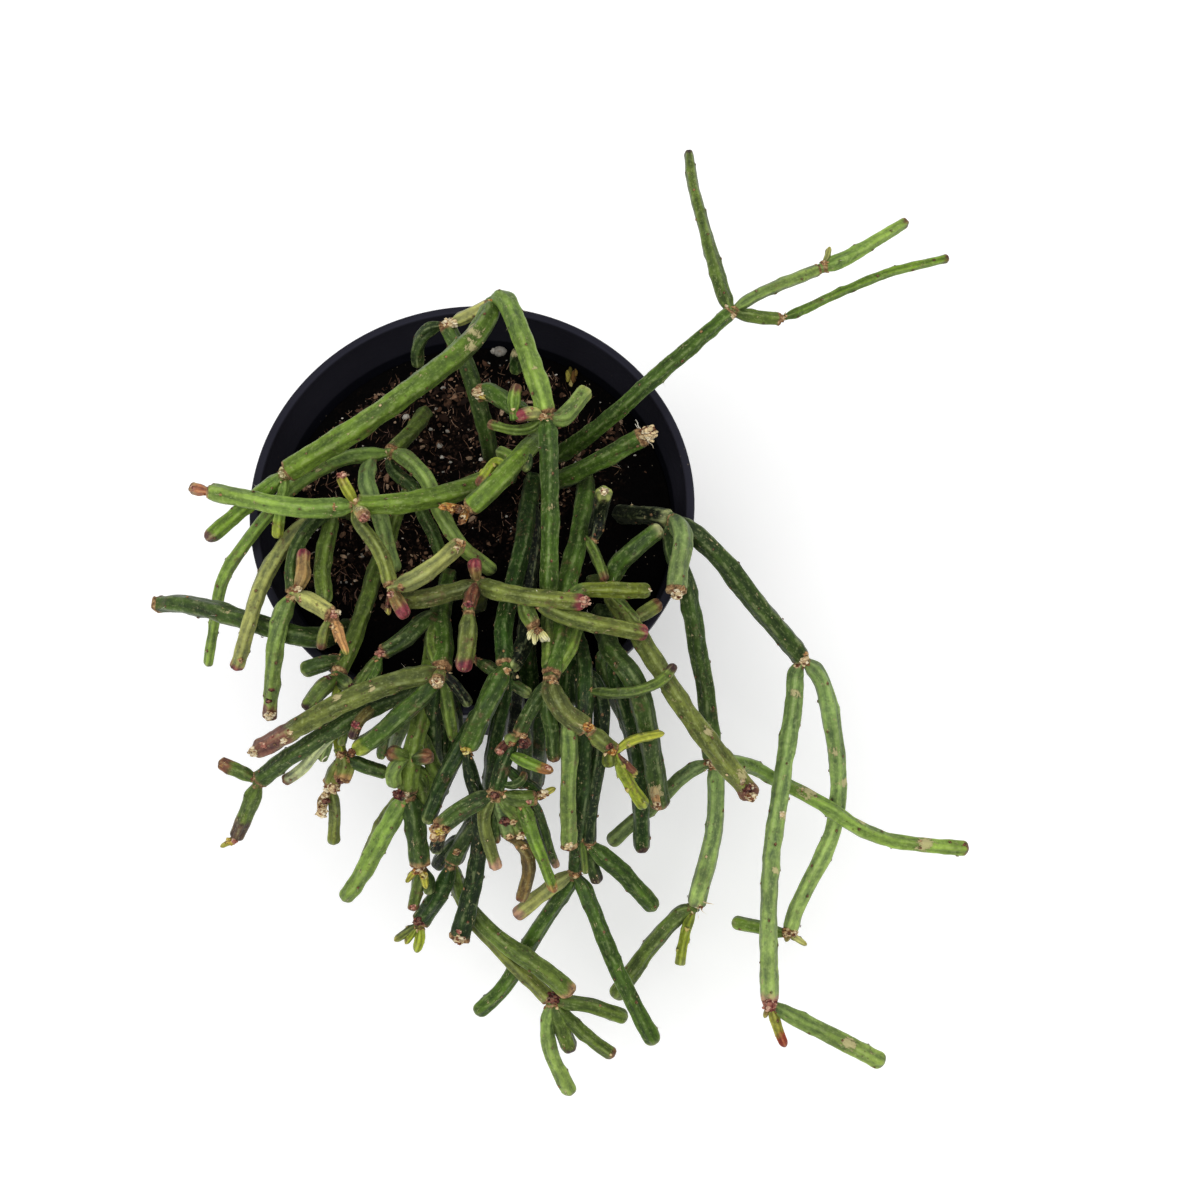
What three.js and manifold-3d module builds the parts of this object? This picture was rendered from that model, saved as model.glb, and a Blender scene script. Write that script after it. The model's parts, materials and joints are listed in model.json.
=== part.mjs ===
// A potted mistletoe cactus: a bush of leafless, jointed green stems in a round plastic nursery pot.
// Millimetres, +Z up. The origin is the middle of the pot's foot, on the surface that the pot stands on.
import * as THREE from "three";
import { mergeVertices } from "three/addons/utils/BufferGeometryUtils.js";
import Module from "manifold-3d";

const wasm = await Module();
wasm.setup();

// The pot.
const POT_HEIGHT = 88;
const RIM_RADIUS = 54;
const RIM_WIDTH = 2.2;
const RIM_BAND = 6;
const RIM_EDGE = 0.6;
const BAND_STEP = 1.2;
const FOOT_RADIUS = 36;
const WALL = 1.2;
const FLOOR = 1.6;
const HEEL = 1.5;
const DRAIN = { count: 8, radius: 3.2, ringRadius: 25 };
const POT_SIDES = 40;

// The soil, and the hole that each foot of the plant stands in.
const SOIL_LEVEL = 75;
const SOIL_RELIEF = 0.7;
const SOIL_RINGS = 5;
const GAP = 0.3;
const FOOT_DEPTH = 18;
const GRAINS = { count: 12, smallest: 1, largest: 1.9, inner: 16, outer: 44, seed: 11 };

// The stems.
const STATION_SPACING = 2.5;
const BEND_TOLERANCE = 0.5;
const SIDES = [{ over: 4.4, sides: 6 }, { over: 2.6, sides: 5 }, { over: 0, sides: 4 }];
const WAIST = 0.26;
const WAIST_LENGTH = 2.4;
const TIP_LENGTH = { round: 0.9, bud: 1.6, joint: 0.3, cut: 0 };
const TIP_GIRTH = { round: 0.66, bud: 0.4 };
const TIP_POINT = { round: 0.02, bud: 0.02, joint: 0.4, cut: 0.02 };
const LAST_RING = 0.25;
const SIDEWAYS = new THREE.Vector3(0.31, 0.89, 0.33);
const SINK = 0.4;
const CLEARANCE = 0.8;
const RIM_CLEARANCE = 0.8;
const ROOT_HOLD = 12;
const SETTLING_ROUNDS = 120;
const FINAL_ROUNDS = 20;
const EVENING = 0.5;
const EVEN_REACH = 4;
const SPREAD_REACH = 9;
const LEAST_SPREAD = 0.01;
const LOWEST_OVER_SOIL = 1.6;

// Where somebody stands who looks down at the plant. Each point of a stem is written as seen from here:
// [right, away, height]. Right and away are where the point is seen against the level of the rim, and height
// is its own height over the surface. Stem widths are as seen on that level too.
const EYE = new THREE.Vector3(31, -147.4, 421.6);

// Every stem: its code, its width at the foot and at the tip, how it ends, and the points that it runs through.
// A code that ends in a letter grows on from the end of the stem named by the code without it. A code that ends
// in a digit starts at its own first point, on a stem of its spray. A first point at SOIL_LEVEL is rooted.
const SPRAYS = {
  left_front_spray: [
    ["U", 4.2, 3.8, "joint", [-20, -13, 75], [-22, -17, 82], [-24.5, -27, 89], [-27.5, -38, 92],
      [-30, -44.5, 94]],
    ["U1", 3.9, 3.7, "round", [-29.5, -40.5, 94], [-34, -41.8, 96], [-38.5, -43.6, 95]],
    ["Ub", 4.4, 3.8, "round", [-31.5, -45.8, 95], [-34, -48.5, 96], [-37, -52.8, 94]],
    ["Uc", 4, 3.6, "round", [-28.5, -46.5, 95], [-26.6, -47.5, 95]],
    ["Ud", 2.3, 2.6, "joint", [-29.9, -49, 93], [-29.6, -55, 92], [-29, -60.5, 90], [-27.9, -64, 89]],
    ["Uda", 3.4, 4, "cut", [-29, -67, 87], [-30, -71, 84]],
    ["Udaa", 2.6, 2.2, "cut", [-31.4, -74, 81], [-31.6, -77.6, 79]],
    ["Udab", 2.8, 2.5, "round", [-28.8, -76, 78], [-28.6, -84, 71]],
    ["Udb", 3.6, 3.2, "round", [-22.5, -66.4, 88], [-17.2, -68, 86]],
  ],
  left_fork_spray: [
    ["P", 4, 3.8, "joint", [-12.5, 23, 75], [-14, 20.5, 83], [-18, 15.3, 91], [-20.5, 12.5, 94]],
    ["Pa", 3.8, 2.3, "round", [-24, 12, 95.5], [-30, 11.5, 97], [-38, 8, 97], [-44, 3, 95.5],
      [-50, -5, 93.5], [-55, -13, 89.5], [-58.5, -20, 84], [-59.5, -28, 77], [-60.3, -42.3, 64]],
    ["P1", 4, 3.6, "round", [-24.5, 11.8, 95.5], [-26.3, 6, 96], [-24.5, 1, 95.5], [-22, -5, 94],
      [-20, -12, 92], [-17.5, -19, 89]],
    ["Pc", 4, 3.4, "round", [-17, 11.3, 95], [-11, 5, 95], [-8, -3, 94], [-5, -8, 93], [-2.5, -12, 91],
      [1, -15, 88], [6, -19, 85]],
    ["Pd", 3, 3.2, "round", [-21, 9.5, 92], [-18, 6, 91], [-14, 3, 91], [-12, -4, 90], [-9, -9, 89],
      [-6.5, -16, 86]],
    ["P2", 3, 2.8, "round", [-15.5, 4, 90.5], [-18, -4, 88], [-19.5, -12, 84]],
  ],
  left_low_stem: [
    ["Q", 5, 4.2, "cut", [-28, -33, 75], [-33, -35, 85], [-39, -35.4, 92.5], [-45, -33.5, 94],
      [-52, -31.3, 94], [-60, -28.8, 91], [-68, -27, 86], [-73.5, -27, 82]],
  ],
  left_hanging_spray: [
    ["O", 4, 3.8, "joint", [-28, -4, 75], [-29.8, -3.2, 86], [-33.5, -2.5, 94]],
    ["Oa", 4, 3.2, "round", [-37.5, -5, 96], [-42, -8, 97], [-46, -14, 97], [-49.5, -22, 97],
      [-51.3, -30, 98], [-52.6, -38, 93], [-53.5, -43, 88]],
    ["Ob", 3.4, 3.4, "joint", [-38, -6, 98], [-41.5, -12, 100], [-42.5, -18, 100], [-41.5, -24.5, 99]],
    ["Oba", 4.4, 3.3, "round", [-43.3, -27, 98], [-44.6, -32, 98], [-45, -40, 95], [-45, -48, 89],
      [-45, -55, 82]],
    ["Obb", 3.6, 3.2, "round", [-40, -22, 101], [-40, -13, 103]],
    ["Obc", 4.2, 4, "joint", [-39, -25.5, 100], [-34, -28.5, 101], [-31.8, -30, 101]],
    ["Obca", 3.5, 1.6, "bud", [-31, -33, 101], [-29.5, -36, 100], [-28, -39.7, 99]],
    ["Obcb", 2.9, 2.4, "round", [-33.6, -32, 100], [-34.3, -38.4, 98]],
    ["Oc", 4.2, 3.8, "round", [-34, -7, 94], [-34.8, -12, 96], [-35.3, -18, 97], [-34, -27, 99]],
  ],
  right_trailing_spray: [
    ["Y", 4.6, 4.5, "joint", [36, -4, 75], [40, -4, 85], [44, -4.2, 92], [48, -5, 95]],
    ["Ya", 4.8, 4.6, "cut", [50.2, -7, 98], [51, -12, 100], [49.8, -17, 100.5], [49, -24, 100]],
    ["Yb", 5, 4.8, "joint", [53, -8.5, 94], [60, -15.5, 90], [68, -27, 82], [75, -36, 75],
      [78.3, -40.8, 71]],
    ["Yba", 3.9, 3.9, "joint", [76.4, -44, 69], [76, -50, 67], [73.7, -62, 64], [71.2, -76, 60],
      [69.5, -85, 57], [68, -100, 51], [67.5, -118.5, 44]],
    ["Ybaa", 2.8, 1.8, "bud", [68.5, -121.5, 43], [69.4, -125, 42], [70.6, -127.6, 41]],
    ["Ybab", 3.4, 3.6, "round", [71.5, -120.8, 43], [76, -123, 42], [83, -126.5, 40], [91.5, -130.8, 38]],
    ["Ybac", 1.6, 1, "bud", [66.3, -121.6, 43]],
    ["Ybb", 4.2, 3.5, "joint", [80.7, -42.7, 70], [83, -48, 67], [84.6, -60, 60], [85, -70, 54],
      [83.5, -80, 49.5], [80, -88, 46], [75, -97, 43], [72.4, -103.6, 41]],
    ["Ybba", 2.8, 3, "round", [70, -103.6, 40.5], [66, -102.4, 40], [59.9, -101.2, 39]],
    ["Ybbb", 1.8, 1, "bud", [74.5, -105.2, 41], [76.2, -106.2, 41]],
    ["Ybbc", 1.6, 1.2, "bud", [71.6, -105.5, 41]],
    ["Yc", 4.4, 4.2, "joint", [48, -9, 93], [48.8, -15, 95], [51, -20, 94], [52.5, -28, 88],
      [53.8, -38, 81], [55.4, -48, 75], [56.4, -58, 71], [56.8, -65.3, 68]],
    ["Yca", 4, 4, "joint", [57.3, -69, 66], [57, -78, 62], [55.5, -86, 58], [53.3, -93, 54],
      [52, -98, 52]],
    ["Ycaa", 3.6, 3.8, "round", [49.5, -98.8, 50], [45, -103, 48], [40, -109, 45], [34, -117.5, 42]],
    ["Ycab", 2.2, 2.3, "cut", [50.4, -101, 50], [49.2, -105, 48], [48.4, -110.5, 46]],
    ["Ycb", 3.2, 3.3, "round", [54, -66, 67], [49, -69.2, 66], [44, -74.5, 64], [38, -79.5, 62],
      [33, -84, 60]],
    ["Ycc", 3.4, 3.2, "round", [60.5, -65.2, 66], [65, -66, 60], [70, -68.8, 54], [76, -72, 54],
      [82, -75.6, 57], [88, -79.9, 56], [95, -83, 52], [104, -84.3, 49], [113, -85, 46]],
  ],
  front_right_arch: [
    ["K", 5, 4.6, "round", [31.5, -29.5, 75], [32.5, -34, 85], [33.8, -39.2, 92.5], [37, -43, 95],
      [40, -49, 94], [42, -58, 88], [43.2, -66, 80], [44.6, -75.6, 71]],
    ["K1", 3.6, 3.8, "round", [33.8, -39.2, 92.5], [35, -47, 91], [37, -54, 87], [39, -62, 80],
      [40, -70, 74], [40.3, -78, 68], [40.3, -85.8, 62]],
  ],
  front_right_spray: [
    ["F", 4.4, 3.4, "joint", [22.5, -29, 75], [26, -37, 88], [27.6, -46, 94], [27.3, -54, 94],
      [27.3, -62, 91], [27, -72, 83], [26, -84, 70], [25.4, -90.3, 64]],
    ["Fa", 3.4, 3.3, "round", [23, -91.5, 64], [20, -93.8, 63], [16, -97, 61], [12.3, -100, 59]],
    ["Fb", 3.8, 3.4, "round", [24, -92.8, 61], [20, -99, 57], [15, -107, 52], [12.5, -111.5, 49],
      [9.6, -116, 46], [4.2, -120.6, 43]],
    ["Fc", 3.4, 3.6, "round", [26.8, -92.8, 63], [30, -100, 61], [34, -110, 58], [38, -118, 55],
      [42.8, -127, 51]],
    ["F1", 1.8, 1.6, "round", [26.6, -82, 73], [27.4, -86, 71], [27.8, -90.6, 67]],
    ["F2", 4, 3.2, "joint", [27.4, -42.5, 92], [31.2, -50, 92], [31.3, -60, 90], [30.3, -67, 86],
      [29, -76, 78], [28.4, -84, 71]],
    ["F2a", 4.2, 4, "round", [31.5, -86.5, 70], [35, -89.5, 67], [40, -94.7, 62], [43.1, -98.4, 58]],
    ["F2b", 3.2, 2.8, "round", [29, -88, 68], [30.5, -92.6, 64]],
    ["F3", 2.6, 2.3, "round", [27.8, -48.5, 95], [36, -49, 98], [41, -48, 98], [45.5, -46, 97],
      [48.4, -42, 96]],
  ],
  right_forked_spray: [
    ["X", 4.4, 4, "joint", [29.5, -21.5, 75], [30.6, -22.3, 84], [32.3, -23.5, 90]],
    ["Xa", 4.4, 4.2, "round", [33.6, -20.5, 92], [35, -17.3, 94], [40, -12.3, 98], [45.8, -7.3, 100]],
    ["Xb", 4, 4.8, "round", [34.7, -27, 93], [38, -31.5, 95], [43, -40, 97], [46.5, -46, 96],
      [50, -52, 92], [55.5, -60, 86], [60, -66, 80], [63, -69.7, 76], [65.3, -73.2, 72]],
    ["Xc", 2.6, 2.4, "round", [36, -27, 95], [40, -31.8, 96]],
    ["X1", 3.6, 3.6, "round", [38, -31.5, 95], [41.5, -29.3, 94.5], [45.3, -26.6, 94]],
  ],
  front_low_spray: [
    ["L", 4, 4.4, "joint", [-7, -28, 75], [-8, -36, 86], [-9, -46, 92.5], [-10.3, -55, 91.5],
      [-12, -64, 88], [-12.5, -72.5, 83]],
    ["La", 4.6, 3.7, "round", [-15, -77, 80], [-18.3, -83.5, 75], [-22, -91, 69], [-25.5, -96.4, 64]],
    ["Lb", 3.4, 2.6, "round", [-16, -76, 79], [-18.8, -81.5, 75], [-21.3, -87.8, 70]],
    ["Lc", 4.8, 4.5, "cut", [-10.9, -77, 80], [-10, -82.5, 76], [-8.7, -89, 71]],
    ["Lca", 1.9, 1, "bud", [-10.6, -90.5, 71], [-12, -92.6, 70]],
    ["Lcb", 2.2, 1.3, "bud", [-8.2, -91.5, 70], [-7.4, -94, 69]],
    ["Lcc", 2.8, 2.7, "round", [-9.4, -93.5, 67], [-10.3, -98.6, 63]],
    ["Ld", 2.4, 2.2, "round", [-14.6, -73.3, 86]],
    ["L1", 4, 3.4, "round", [-12, -64, 88], [-15, -63.7, 91], [-17.6, -62.8, 92]],
    ["L2", 3.8, 3.2, "round", [-12, -64.3, 88], [-9.5, -64.4, 91], [-7.2, -63.8, 92]],
    ["L3", 3.4, 3.4, "round", [-12, -64, 88], [-15.8, -66, 90], [-15.4, -71, 86]],
  ],
  front_left_fan: [
    ["Z", 4, 4.8, "joint", [-5, -20, 75], [-6.5, -30, 88], [-5.5, -38, 95], [-6, -43.5, 99]],
    ["Za", 4.8, 4.6, "round", [-11, -44.7, 101], [-20, -47.3, 103], [-30, -52, 101], [-38, -57, 97],
      [-47.5, -62.8, 90]],
    ["Zb", 4.2, 4.2, "joint", [-12, -47.7, 95], [-20, -51.7, 95], [-27, -55.5, 94], [-34, -60, 91],
      [-40.5, -64.5, 87], [-46.3, -69.7, 82]],
    ["Zba", 3.2, 3.1, "round", [-51, -67.3, 81], [-55.6, -65.4, 80]],
    ["Zbb", 3.8, 3.5, "round", [-48, -75.5, 77], [-50.5, -82.8, 70]],
    ["Zbba", 1.9, 1, "bud", [-52.5, -84, 69], [-53.8, -84.7, 69]],
    ["Zc", 4.8, 4, "round", [-10.5, -50, 98], [-15, -54.2, 99], [-20, -59, 96], [-25, -62.6, 92]],
    ["Z1", 3.4, 2.2, "round", [-20, -51.7, 95], [-24.3, -55, 97], [-25.8, -60, 95]],
    ["Z2", 2.8, 2.4, "round", [-28.5, -56.5, 94], [-33, -61.8, 90], [-37, -67.3, 84], [-40.6, -69.7, 81]],
    ["Zf", 3.6, 3, "round", [-4.8, -48, 95], [-3.2, -56, 91], [-2.3, -60, 87]],
    ["Zg", 2.8, 2.6, "round", [-2.6, -46.8, 97], [1, -52, 94]],
    ["Zh", 3.6, 3.4, "cut", [-6.8, -46.3, 104]],
    ["Z3", 4.2, 3.8, "joint", [-6.5, -30, 88], [-11, -31.7, 93], [-15, -36, 95], [-20.3, -39.2, 95]],
    ["Z3a", 2.4, 2, "round", [-22.5, -42.5, 95], [-25.5, -47.5, 94], [-27, -56, 92], [-28.3, -61.5, 90]],
    ["Z3b", 2.6, 2.4, "round", [-20.6, -42, 95], [-23, -48, 94]],
    ["Z4", 2.6, 2.6, "round", [-6.5, -30, 88], [-8.8, -36, 95], [-7, -42, 98]],
  ],
  front_centre_spray: [
    ["H", 4.4, 4.2, "joint", [14.5, 5, 75], [13.3, -5, 87], [12, -14, 92], [10, -24, 95], [8.3, -33, 98],
      [9, -42.5, 100]],
    ["H1", 3.6, 4.2, "round", [14, 0, 81], [15.2, -7, 86], [14.5, -16, 90], [13.5, -27, 92],
      [13.5, -36, 96], [9.8, -43.5, 100]],
    ["Ha", 5, 4.6, "joint", [6.5, -48.5, 101], [3, -56, 98], [0.6, -62.3, 94]],
    ["Haa", 3.2, 4.4, "cut", [1.3, -67, 91], [3.5, -74, 86], [4.3, -80, 81], [3.8, -87, 75],
      [2.3, -96, 68], [0.5, -104.7, 61]],
    ["H2", 4.2, 3.6, "round", [4.7, -52, 99], [1, -58, 92.5], [-3, -66, 90], [-5.8, -73, 87],
      [-8, -79.5, 84]],
    ["H3", 3.8, 4.2, "joint", [4, -77, 83.5], [1, -82, 77], [-2, -88, 71]],
    ["H3a", 3, 4.2, "round", [0, -94, 64], [3.5, -99.8, 60], [10, -105.7, 58], [16, -109.6, 56],
      [21, -113, 54], [25, -116.6, 52]],
    ["H3b", 3, 3.4, "joint", [0.2, -96, 60], [4.8, -102.6, 57], [10, -108, 54], [15, -112.8, 51],
      [20.5, -117.8, 49]],
    ["H3ba", 3.4, 3.2, "round", [24, -118.3, 49], [29, -119, 47], [33, -120.4, 45], [36.8, -121.6, 43]],
    ["H3bb", 3.2, 3.1, "round", [19.6, -123, 46], [20.6, -129, 41], [23, -133.5, 38], [25, -137, 35]],
    ["H3bc", 3.6, 3.5, "round", [22.4, -122.5, 46], [24.9, -128.4, 41]],
    ["H3bd", 3, 2.9, "round", [25, -122.6, 46], [29, -125.8, 43], [34, -129.3, 40]],
    ["H3c", 4, 4.2, "joint", [-3.4, -93, 68], [-5.7, -97, 64], [-8.5, -101.3, 60]],
    ["H3ca", 2.2, 1.5, "bud", [-11, -103.3, 59], [-14, -105.3, 58]],
    ["H3cb", 1.7, 1.2, "bud", [-10.3, -104, 59], [-11.5, -106, 58]],
    ["H3cc", 2.6, 2.1, "bud", [-8.2, -104.5, 58], [-9.1, -107.8, 56]],
    ["H4", 3.6, 3.4, "round", [1, -82, 77], [-3.2, -85.6, 71], [-5.2, -89, 65]],
    ["H5", 2.8, 2.6, "round", [1.5, -40.7, 95], [8, -44.6, 97], [11.5, -47.3, 97], [15, -49.5, 97]],
  ],
  centre_spray: [
    ["W", 4.6, 4.8, "joint", [27.5, 5, 75], [27.3, -1, 85], [26, -9, 91], [24.5, -16.5, 93],
      [22.8, -24, 94.5], [22.5, -31, 96], [21.3, -38, 98], [19.5, -45, 100]],
    ["W1", 2.8, 3, "round", [22.7, -25, 94.5], [25.5, -30, 95.5], [25.6, -34, 96.5], [23.5, -39.5, 98],
      [20.5, -44, 99.5]],
    ["W2", 3.6, 3.4, "round", [22.6, -26, 95], [19, -29, 95.5], [19.2, -36, 97.5], [19, -43.5, 99.5]],
    ["W3", 2.6, 2.4, "round", [26, -9, 91], [28.8, -12, 92], [30.5, -16, 93], [32.2, -21.2, 93]],
    ["W4", 3.4, 4.2, "cut", [28.8, -12, 92], [30.2, -8, 93], [31, -3, 96], [32, 2, 104]],
    ["Wa", 5.2, 4.8, "joint", [20, -49.5, 101], [23, -53.7, 101], [28, -57.2, 98]],
    ["Waa", 4.2, 3.8, "joint", [31, -60, 94], [34.3, -63, 91]],
    ["Waaa", 2.8, 1.6, "bud", [37, -60.7, 91], [41, -59.4, 91], [45.8, -58.5, 90]],
    ["Waab", 3.2, 2.8, "round", [36, -67, 89], [38.3, -71.5, 86], [41.2, -75.7, 82]],
    ["Waac", 2.4, 1.3, "bud", [37, -66, 90], [39.5, -68.2, 89]],
    ["W5", 3.8, 3.6, "cut", [23.6, -54.3, 100.5], [24, -62, 95], [23.7, -72, 87], [24, -84.5, 76]],
    ["Wc", 3.4, 3.2, "joint", [17, -49.5, 99], [14.3, -54, 98], [12.3, -59.3, 96]],
    ["Wca", 3.2, 2, "round", [9, -61.3, 95], [7.3, -63.2, 94]],
    ["Wcb", 3.2, 2.6, "round", [15, -61.5, 96]],
    ["Wcc", 3.4, 3.6, "joint", [9.8, -63, 93], [8.4, -67.5, 91], [7.4, -72.5, 88]],
    ["W6", 3.2, 2.2, "bud", [9.8, -63, 93], [14, -65.3, 94.5], [20.4, -67.4, 92]],
    ["Wcca", 3.8, 3.6, "joint", [12, -73.8, 88], [16.8, -73.5, 87]],
    ["Wccaa", 2, 1.3, "bud", [19, -72.2, 88], [21, -71.3, 88]],
    ["Wccb", 4.6, 4.2, "cut", [3, -74.2, 88], [-1, -76.8, 87], [-5.2, -80.5, 85]],
    ["Wccc", 3.2, 2.9, "round", [4.8, -77, 86], [6, -83, 81], [8, -89.5, 75]],
    ["Wccd", 3.6, 3.2, "joint", [9.5, -78, 84], [10.8, -82.6, 80]],
    ["Wccda", 3, 3, "round", [13.6, -83.8, 78.5], [15.1, -87, 75.5], [14.9, -91.5, 71], [13.5, -96.5, 66]],
    ["W7", 3.6, 2.2, "bud", [13, -73.8, 88], [14.2, -77, 86], [16.2, -82.5, 81], [18.5, -88, 76],
      [21, -94.8, 70]],
    ["W8", 2.6, 2, "round", [15.6, -73.6, 87], [17.8, -79, 80], [20, -86, 74], [21.4, -89.2, 71]],
    ["Wd", 4, 3, "round", [18.6, -51, 98], [20, -58, 96], [20.6, -65.2, 92]],
  ],
  right_cut_stem: [
    ["C", 4.4, 4.7, "cut", [21, 5, 75], [23.3, 6, 83], [30, 9.6, 90], [36, 13.2, 94], [41.8, 17, 97]],
  ],
  back_right_spray: [
    ["A", 4.6, 3.6, "joint", [21, 12, 75], [24, 14, 82], [33, 21.5, 93], [43, 31.5, 101], [55, 43, 105],
      [64.3, 52, 104]],
    ["Aa", 4.2, 2.4, "round", [62, 59, 103], [60.5, 66, 102], [57.5, 80, 98], [55.5, 90, 95],
      [54.5, 100.7, 91]],
    ["Ab", 3, 3.2, "joint", [70, 56.3, 104], [75, 59, 104], [87.5, 64.6, 101]],
    ["Aba", 4, 2.9, "round", [93, 67, 100], [100, 71.5, 98], [110.8, 78.9, 94]],
    ["Abb", 2, 1.2, "bud", [89.7, 68, 102], [90.5, 71.3, 102]],
    ["Ac", 3.2, 3.1, "joint", [70, 50.6, 102], [77, 50, 100]],
    ["Aca", 2.4, 2.3, "round", [83, 52.7, 98], [90, 56.5, 96], [105, 63.5, 92], [120.8, 67.9, 88]],
  ],
  back_arch_spray: [
    ["B", 4.2, 4.2, "joint", [4, 12, 75], [3, 17.5, 84], [1, 25, 90], [-3, 38, 97], [-8, 48, 99]],
    ["Ba", 3.6, 3, "round", [-12, 47.5, 99], [-15, 42, 96], [-14.5, 36, 92]],
    ["Bb", 3, 3.4, "joint", [-3, 50.7, 101], [3.3, 54.4, 104]],
    ["Bba", 5.4, 5.6, "joint", [2.6, 50.5, 107], [-2.5, 42.5, 111], [-14.5, 31.3, 115], [-30, 18.5, 114],
      [-45.7, 7, 107]],
    ["Bbaa", 3, 2.7, "round", [-46, 1, 103], [-46.5, -5, 101], [-46.5, -10.3, 99]],
    ["Bbab", 4, 3.7, "round", [-50.5, 2.5, 104], [-57, -4, 101], [-63.6, -10.6, 97]],
    ["Bbb", 5.2, 5, "joint", [6.5, 56, 107], [9.5, 49.5, 110], [13.5, 38, 112], [16, 30, 112],
      [17.5, 22.7, 110]],
    ["Bbba", 4.6, 4.2, "round", [18.2, 15, 110], [18.7, 6, 109], [19, -5, 106.5], [19, -14, 103.5],
      [19, -24.5, 99.5]],
    ["Bbbb", 3.8, 3.2, "round", [13.3, 23.4, 112], [9.9, 21.9, 113]],
    ["Bbbba", 3.4, 2.8, "round", [9.4, 26.5, 114], [10.5, 31.4, 115]],
    ["Bbbd", 2.8, 2.2, "round", [14, 19, 108], [9, 18.7, 108], [3.2, 20.4, 108]],
    ["Bbbe", 4.4, 4.4, "cut", [21, 21, 108], [24.5, 25.5, 108], [27.5, 29.8, 107]],
    ["B1", 4.4, 4.4, "cut", [13.3, 23.4, 112], [8.5, 25.5, 107], [4.5, 29, 105.5], [0.7, 29, 105]],
    ["B2", 3.4, 3, "round", [12.3, 41, 111.5], [9.8, 39.5, 106], [10, 34.3, 101]],
  ],
  inner_joint_spray: [
    ["R", 4.6, 4.6, "joint", [2, -27, 75], [1.8, -25, 87], [2, -21.6, 98]],
    ["Ra", 4.2, 4.2, "round", [6, -23.6, 102], [12, -25, 104], [20, -26, 105], [27.6, -26.5, 104]],
    ["R1", 4.2, 3.9, "round", [15.5, -26.2, 104], [20, -29, 103], [27, -31.5, 102], [35, -33, 101],
      [42.2, -34.5, 99]],
    ["R2", 3.4, 3.8, "round", [22.5, -25.7, 104.5], [25.5, -23.7, 104.5], [32, -23.4, 104],
      [43, -23.6, 102]],
    ["R3", 4.2, 3.6, "joint", [12.5, -25.2, 103.5], [14, -30, 102.5], [15.8, -33, 102.5]],
    ["R3a", 1.9, 1.2, "bud", [13.9, -35, 102]],
    ["R3b", 1.9, 1.2, "bud", [16, -36.6, 102]],
    ["R3c", 1.9, 1.2, "bud", [18.5, -36.3, 103]],
    ["Rb", 4.2, 4.2, "round", [-3, -23.8, 99.5], [-10, -25.7, 100.5], [-16.5, -26.3, 98]],
    ["Rc", 3.6, 3.2, "round", [1.2, -18.5, 101], [1.1, -15.5, 103]],
    ["Rd", 3.4, 3.2, "joint", [0.4, -25, 101], [0, -28.3, 102]],
    ["Rda", 4.6, 4.2, "round", [0, -33, 102], [-0.3, -39, 102], [-1, -43.8, 101.5]],
  ],
  left_bright_spray: [
    ["M", 4.8, 5, "joint", [8.5, 6.5, 75], [7, 6.5, 87], [3.5, 5, 97], [-3, 2.5, 103], [-12, -0.3, 106],
      [-22, -1.5, 107], [-28, -1.6, 106]],
    ["Ma", 4.8, 4.4, "joint", [-34, -2.2, 106], [-40, -2.5, 106], [-52, -0.6, 105], [-63.8, 2, 101]],
    ["Maa", 3.4, 2.9, "round", [-68.5, 3, 99]],
    ["Mb", 3.8, 3.3, "round", [-27, -3.5, 108.5], [-25.6, -5, 110]],
    ["Mc", 3.2, 2.6, "round", [-30, 2, 109], [-31.5, 4.5, 110], [-32.4, 6.4, 110]],
    ["Md", 3.2, 3.6, "joint", [-27.8, -5.5, 106], [-25, -9, 105.5], [-21, -15, 105], [-18.5, -22.8, 104]],
    ["Mda", 1.9, 1.3, "bud", [-19, -26, 103.5], [-18.8, -29.8, 103]],
    ["Mdb", 3.8, 3.2, "round", [-16.8, -27, 105], [-14.6, -30.4, 105]],
    ["Mdc", 4.4, 3.9, "round", [-15.5, -22.2, 106], [-10, -18.5, 107], [-5, -14, 106], [-2.4, -11.5, 104]],
  ],
  top_bright_stem: [
    ["N", 4.4, 4.8, "joint", [17, 20, 75], [17, 18.2, 88], [15.3, 15.8, 100], [10, 9.5, 109],
      [4, 2.5, 112], [-1, -2.5, 110]],
    ["Na", 2.8, 1.6, "bud", [-2.7, -6.6, 108]],
    ["Nb", 2.6, 1.6, "bud", [-4.5, -2.6, 111], [-7.5, -1.4, 112]],
    ["N1", 2.6, 2.5, "round", [9, 8.3, 109.5], [5.3, 10.5, 109], [3.4, 7, 110], [1.2, 3.5, 110]],
    ["N2", 3, 2.8, "round", [10.7, 10.3, 108.5], [8, 12.2, 106], [5.8, 13, 105]],
    ["N3", 3.2, 2.4, "round", [13, 13, 105], [13.5, 9.6, 108], [12.4, 7.4, 107]],
  ],
};

const STEM_COLOURS = {
  left_front_spray: 0x5f7040,
  left_fork_spray: 0x7d9467,
  left_low_stem: 0x35523a,
  left_hanging_spray: 0x6f7f45,
  right_trailing_spray: 0x6f9150,
  front_right_arch: 0x2f4a2f,
  front_right_spray: 0x46693a,
  right_forked_spray: 0x6d7d47,
  front_low_spray: 0x5d7d42,
  front_left_fan: 0x5c6f3e,
  front_centre_spray: 0x3f6436,
  centre_spray: 0x66783f,
  right_cut_stem: 0x6a9445,
  back_right_spray: 0x4d7345,
  back_arch_spray: 0x7fa94c,
  inner_joint_spray: 0x7f8a52,
  left_bright_spray: 0x86ad4f,
  top_bright_stem: 0x8ab24c,
};
const SOIL_COLOUR = 0x2a1d14;
const POT_COLOUR = 0x18181c;

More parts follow.
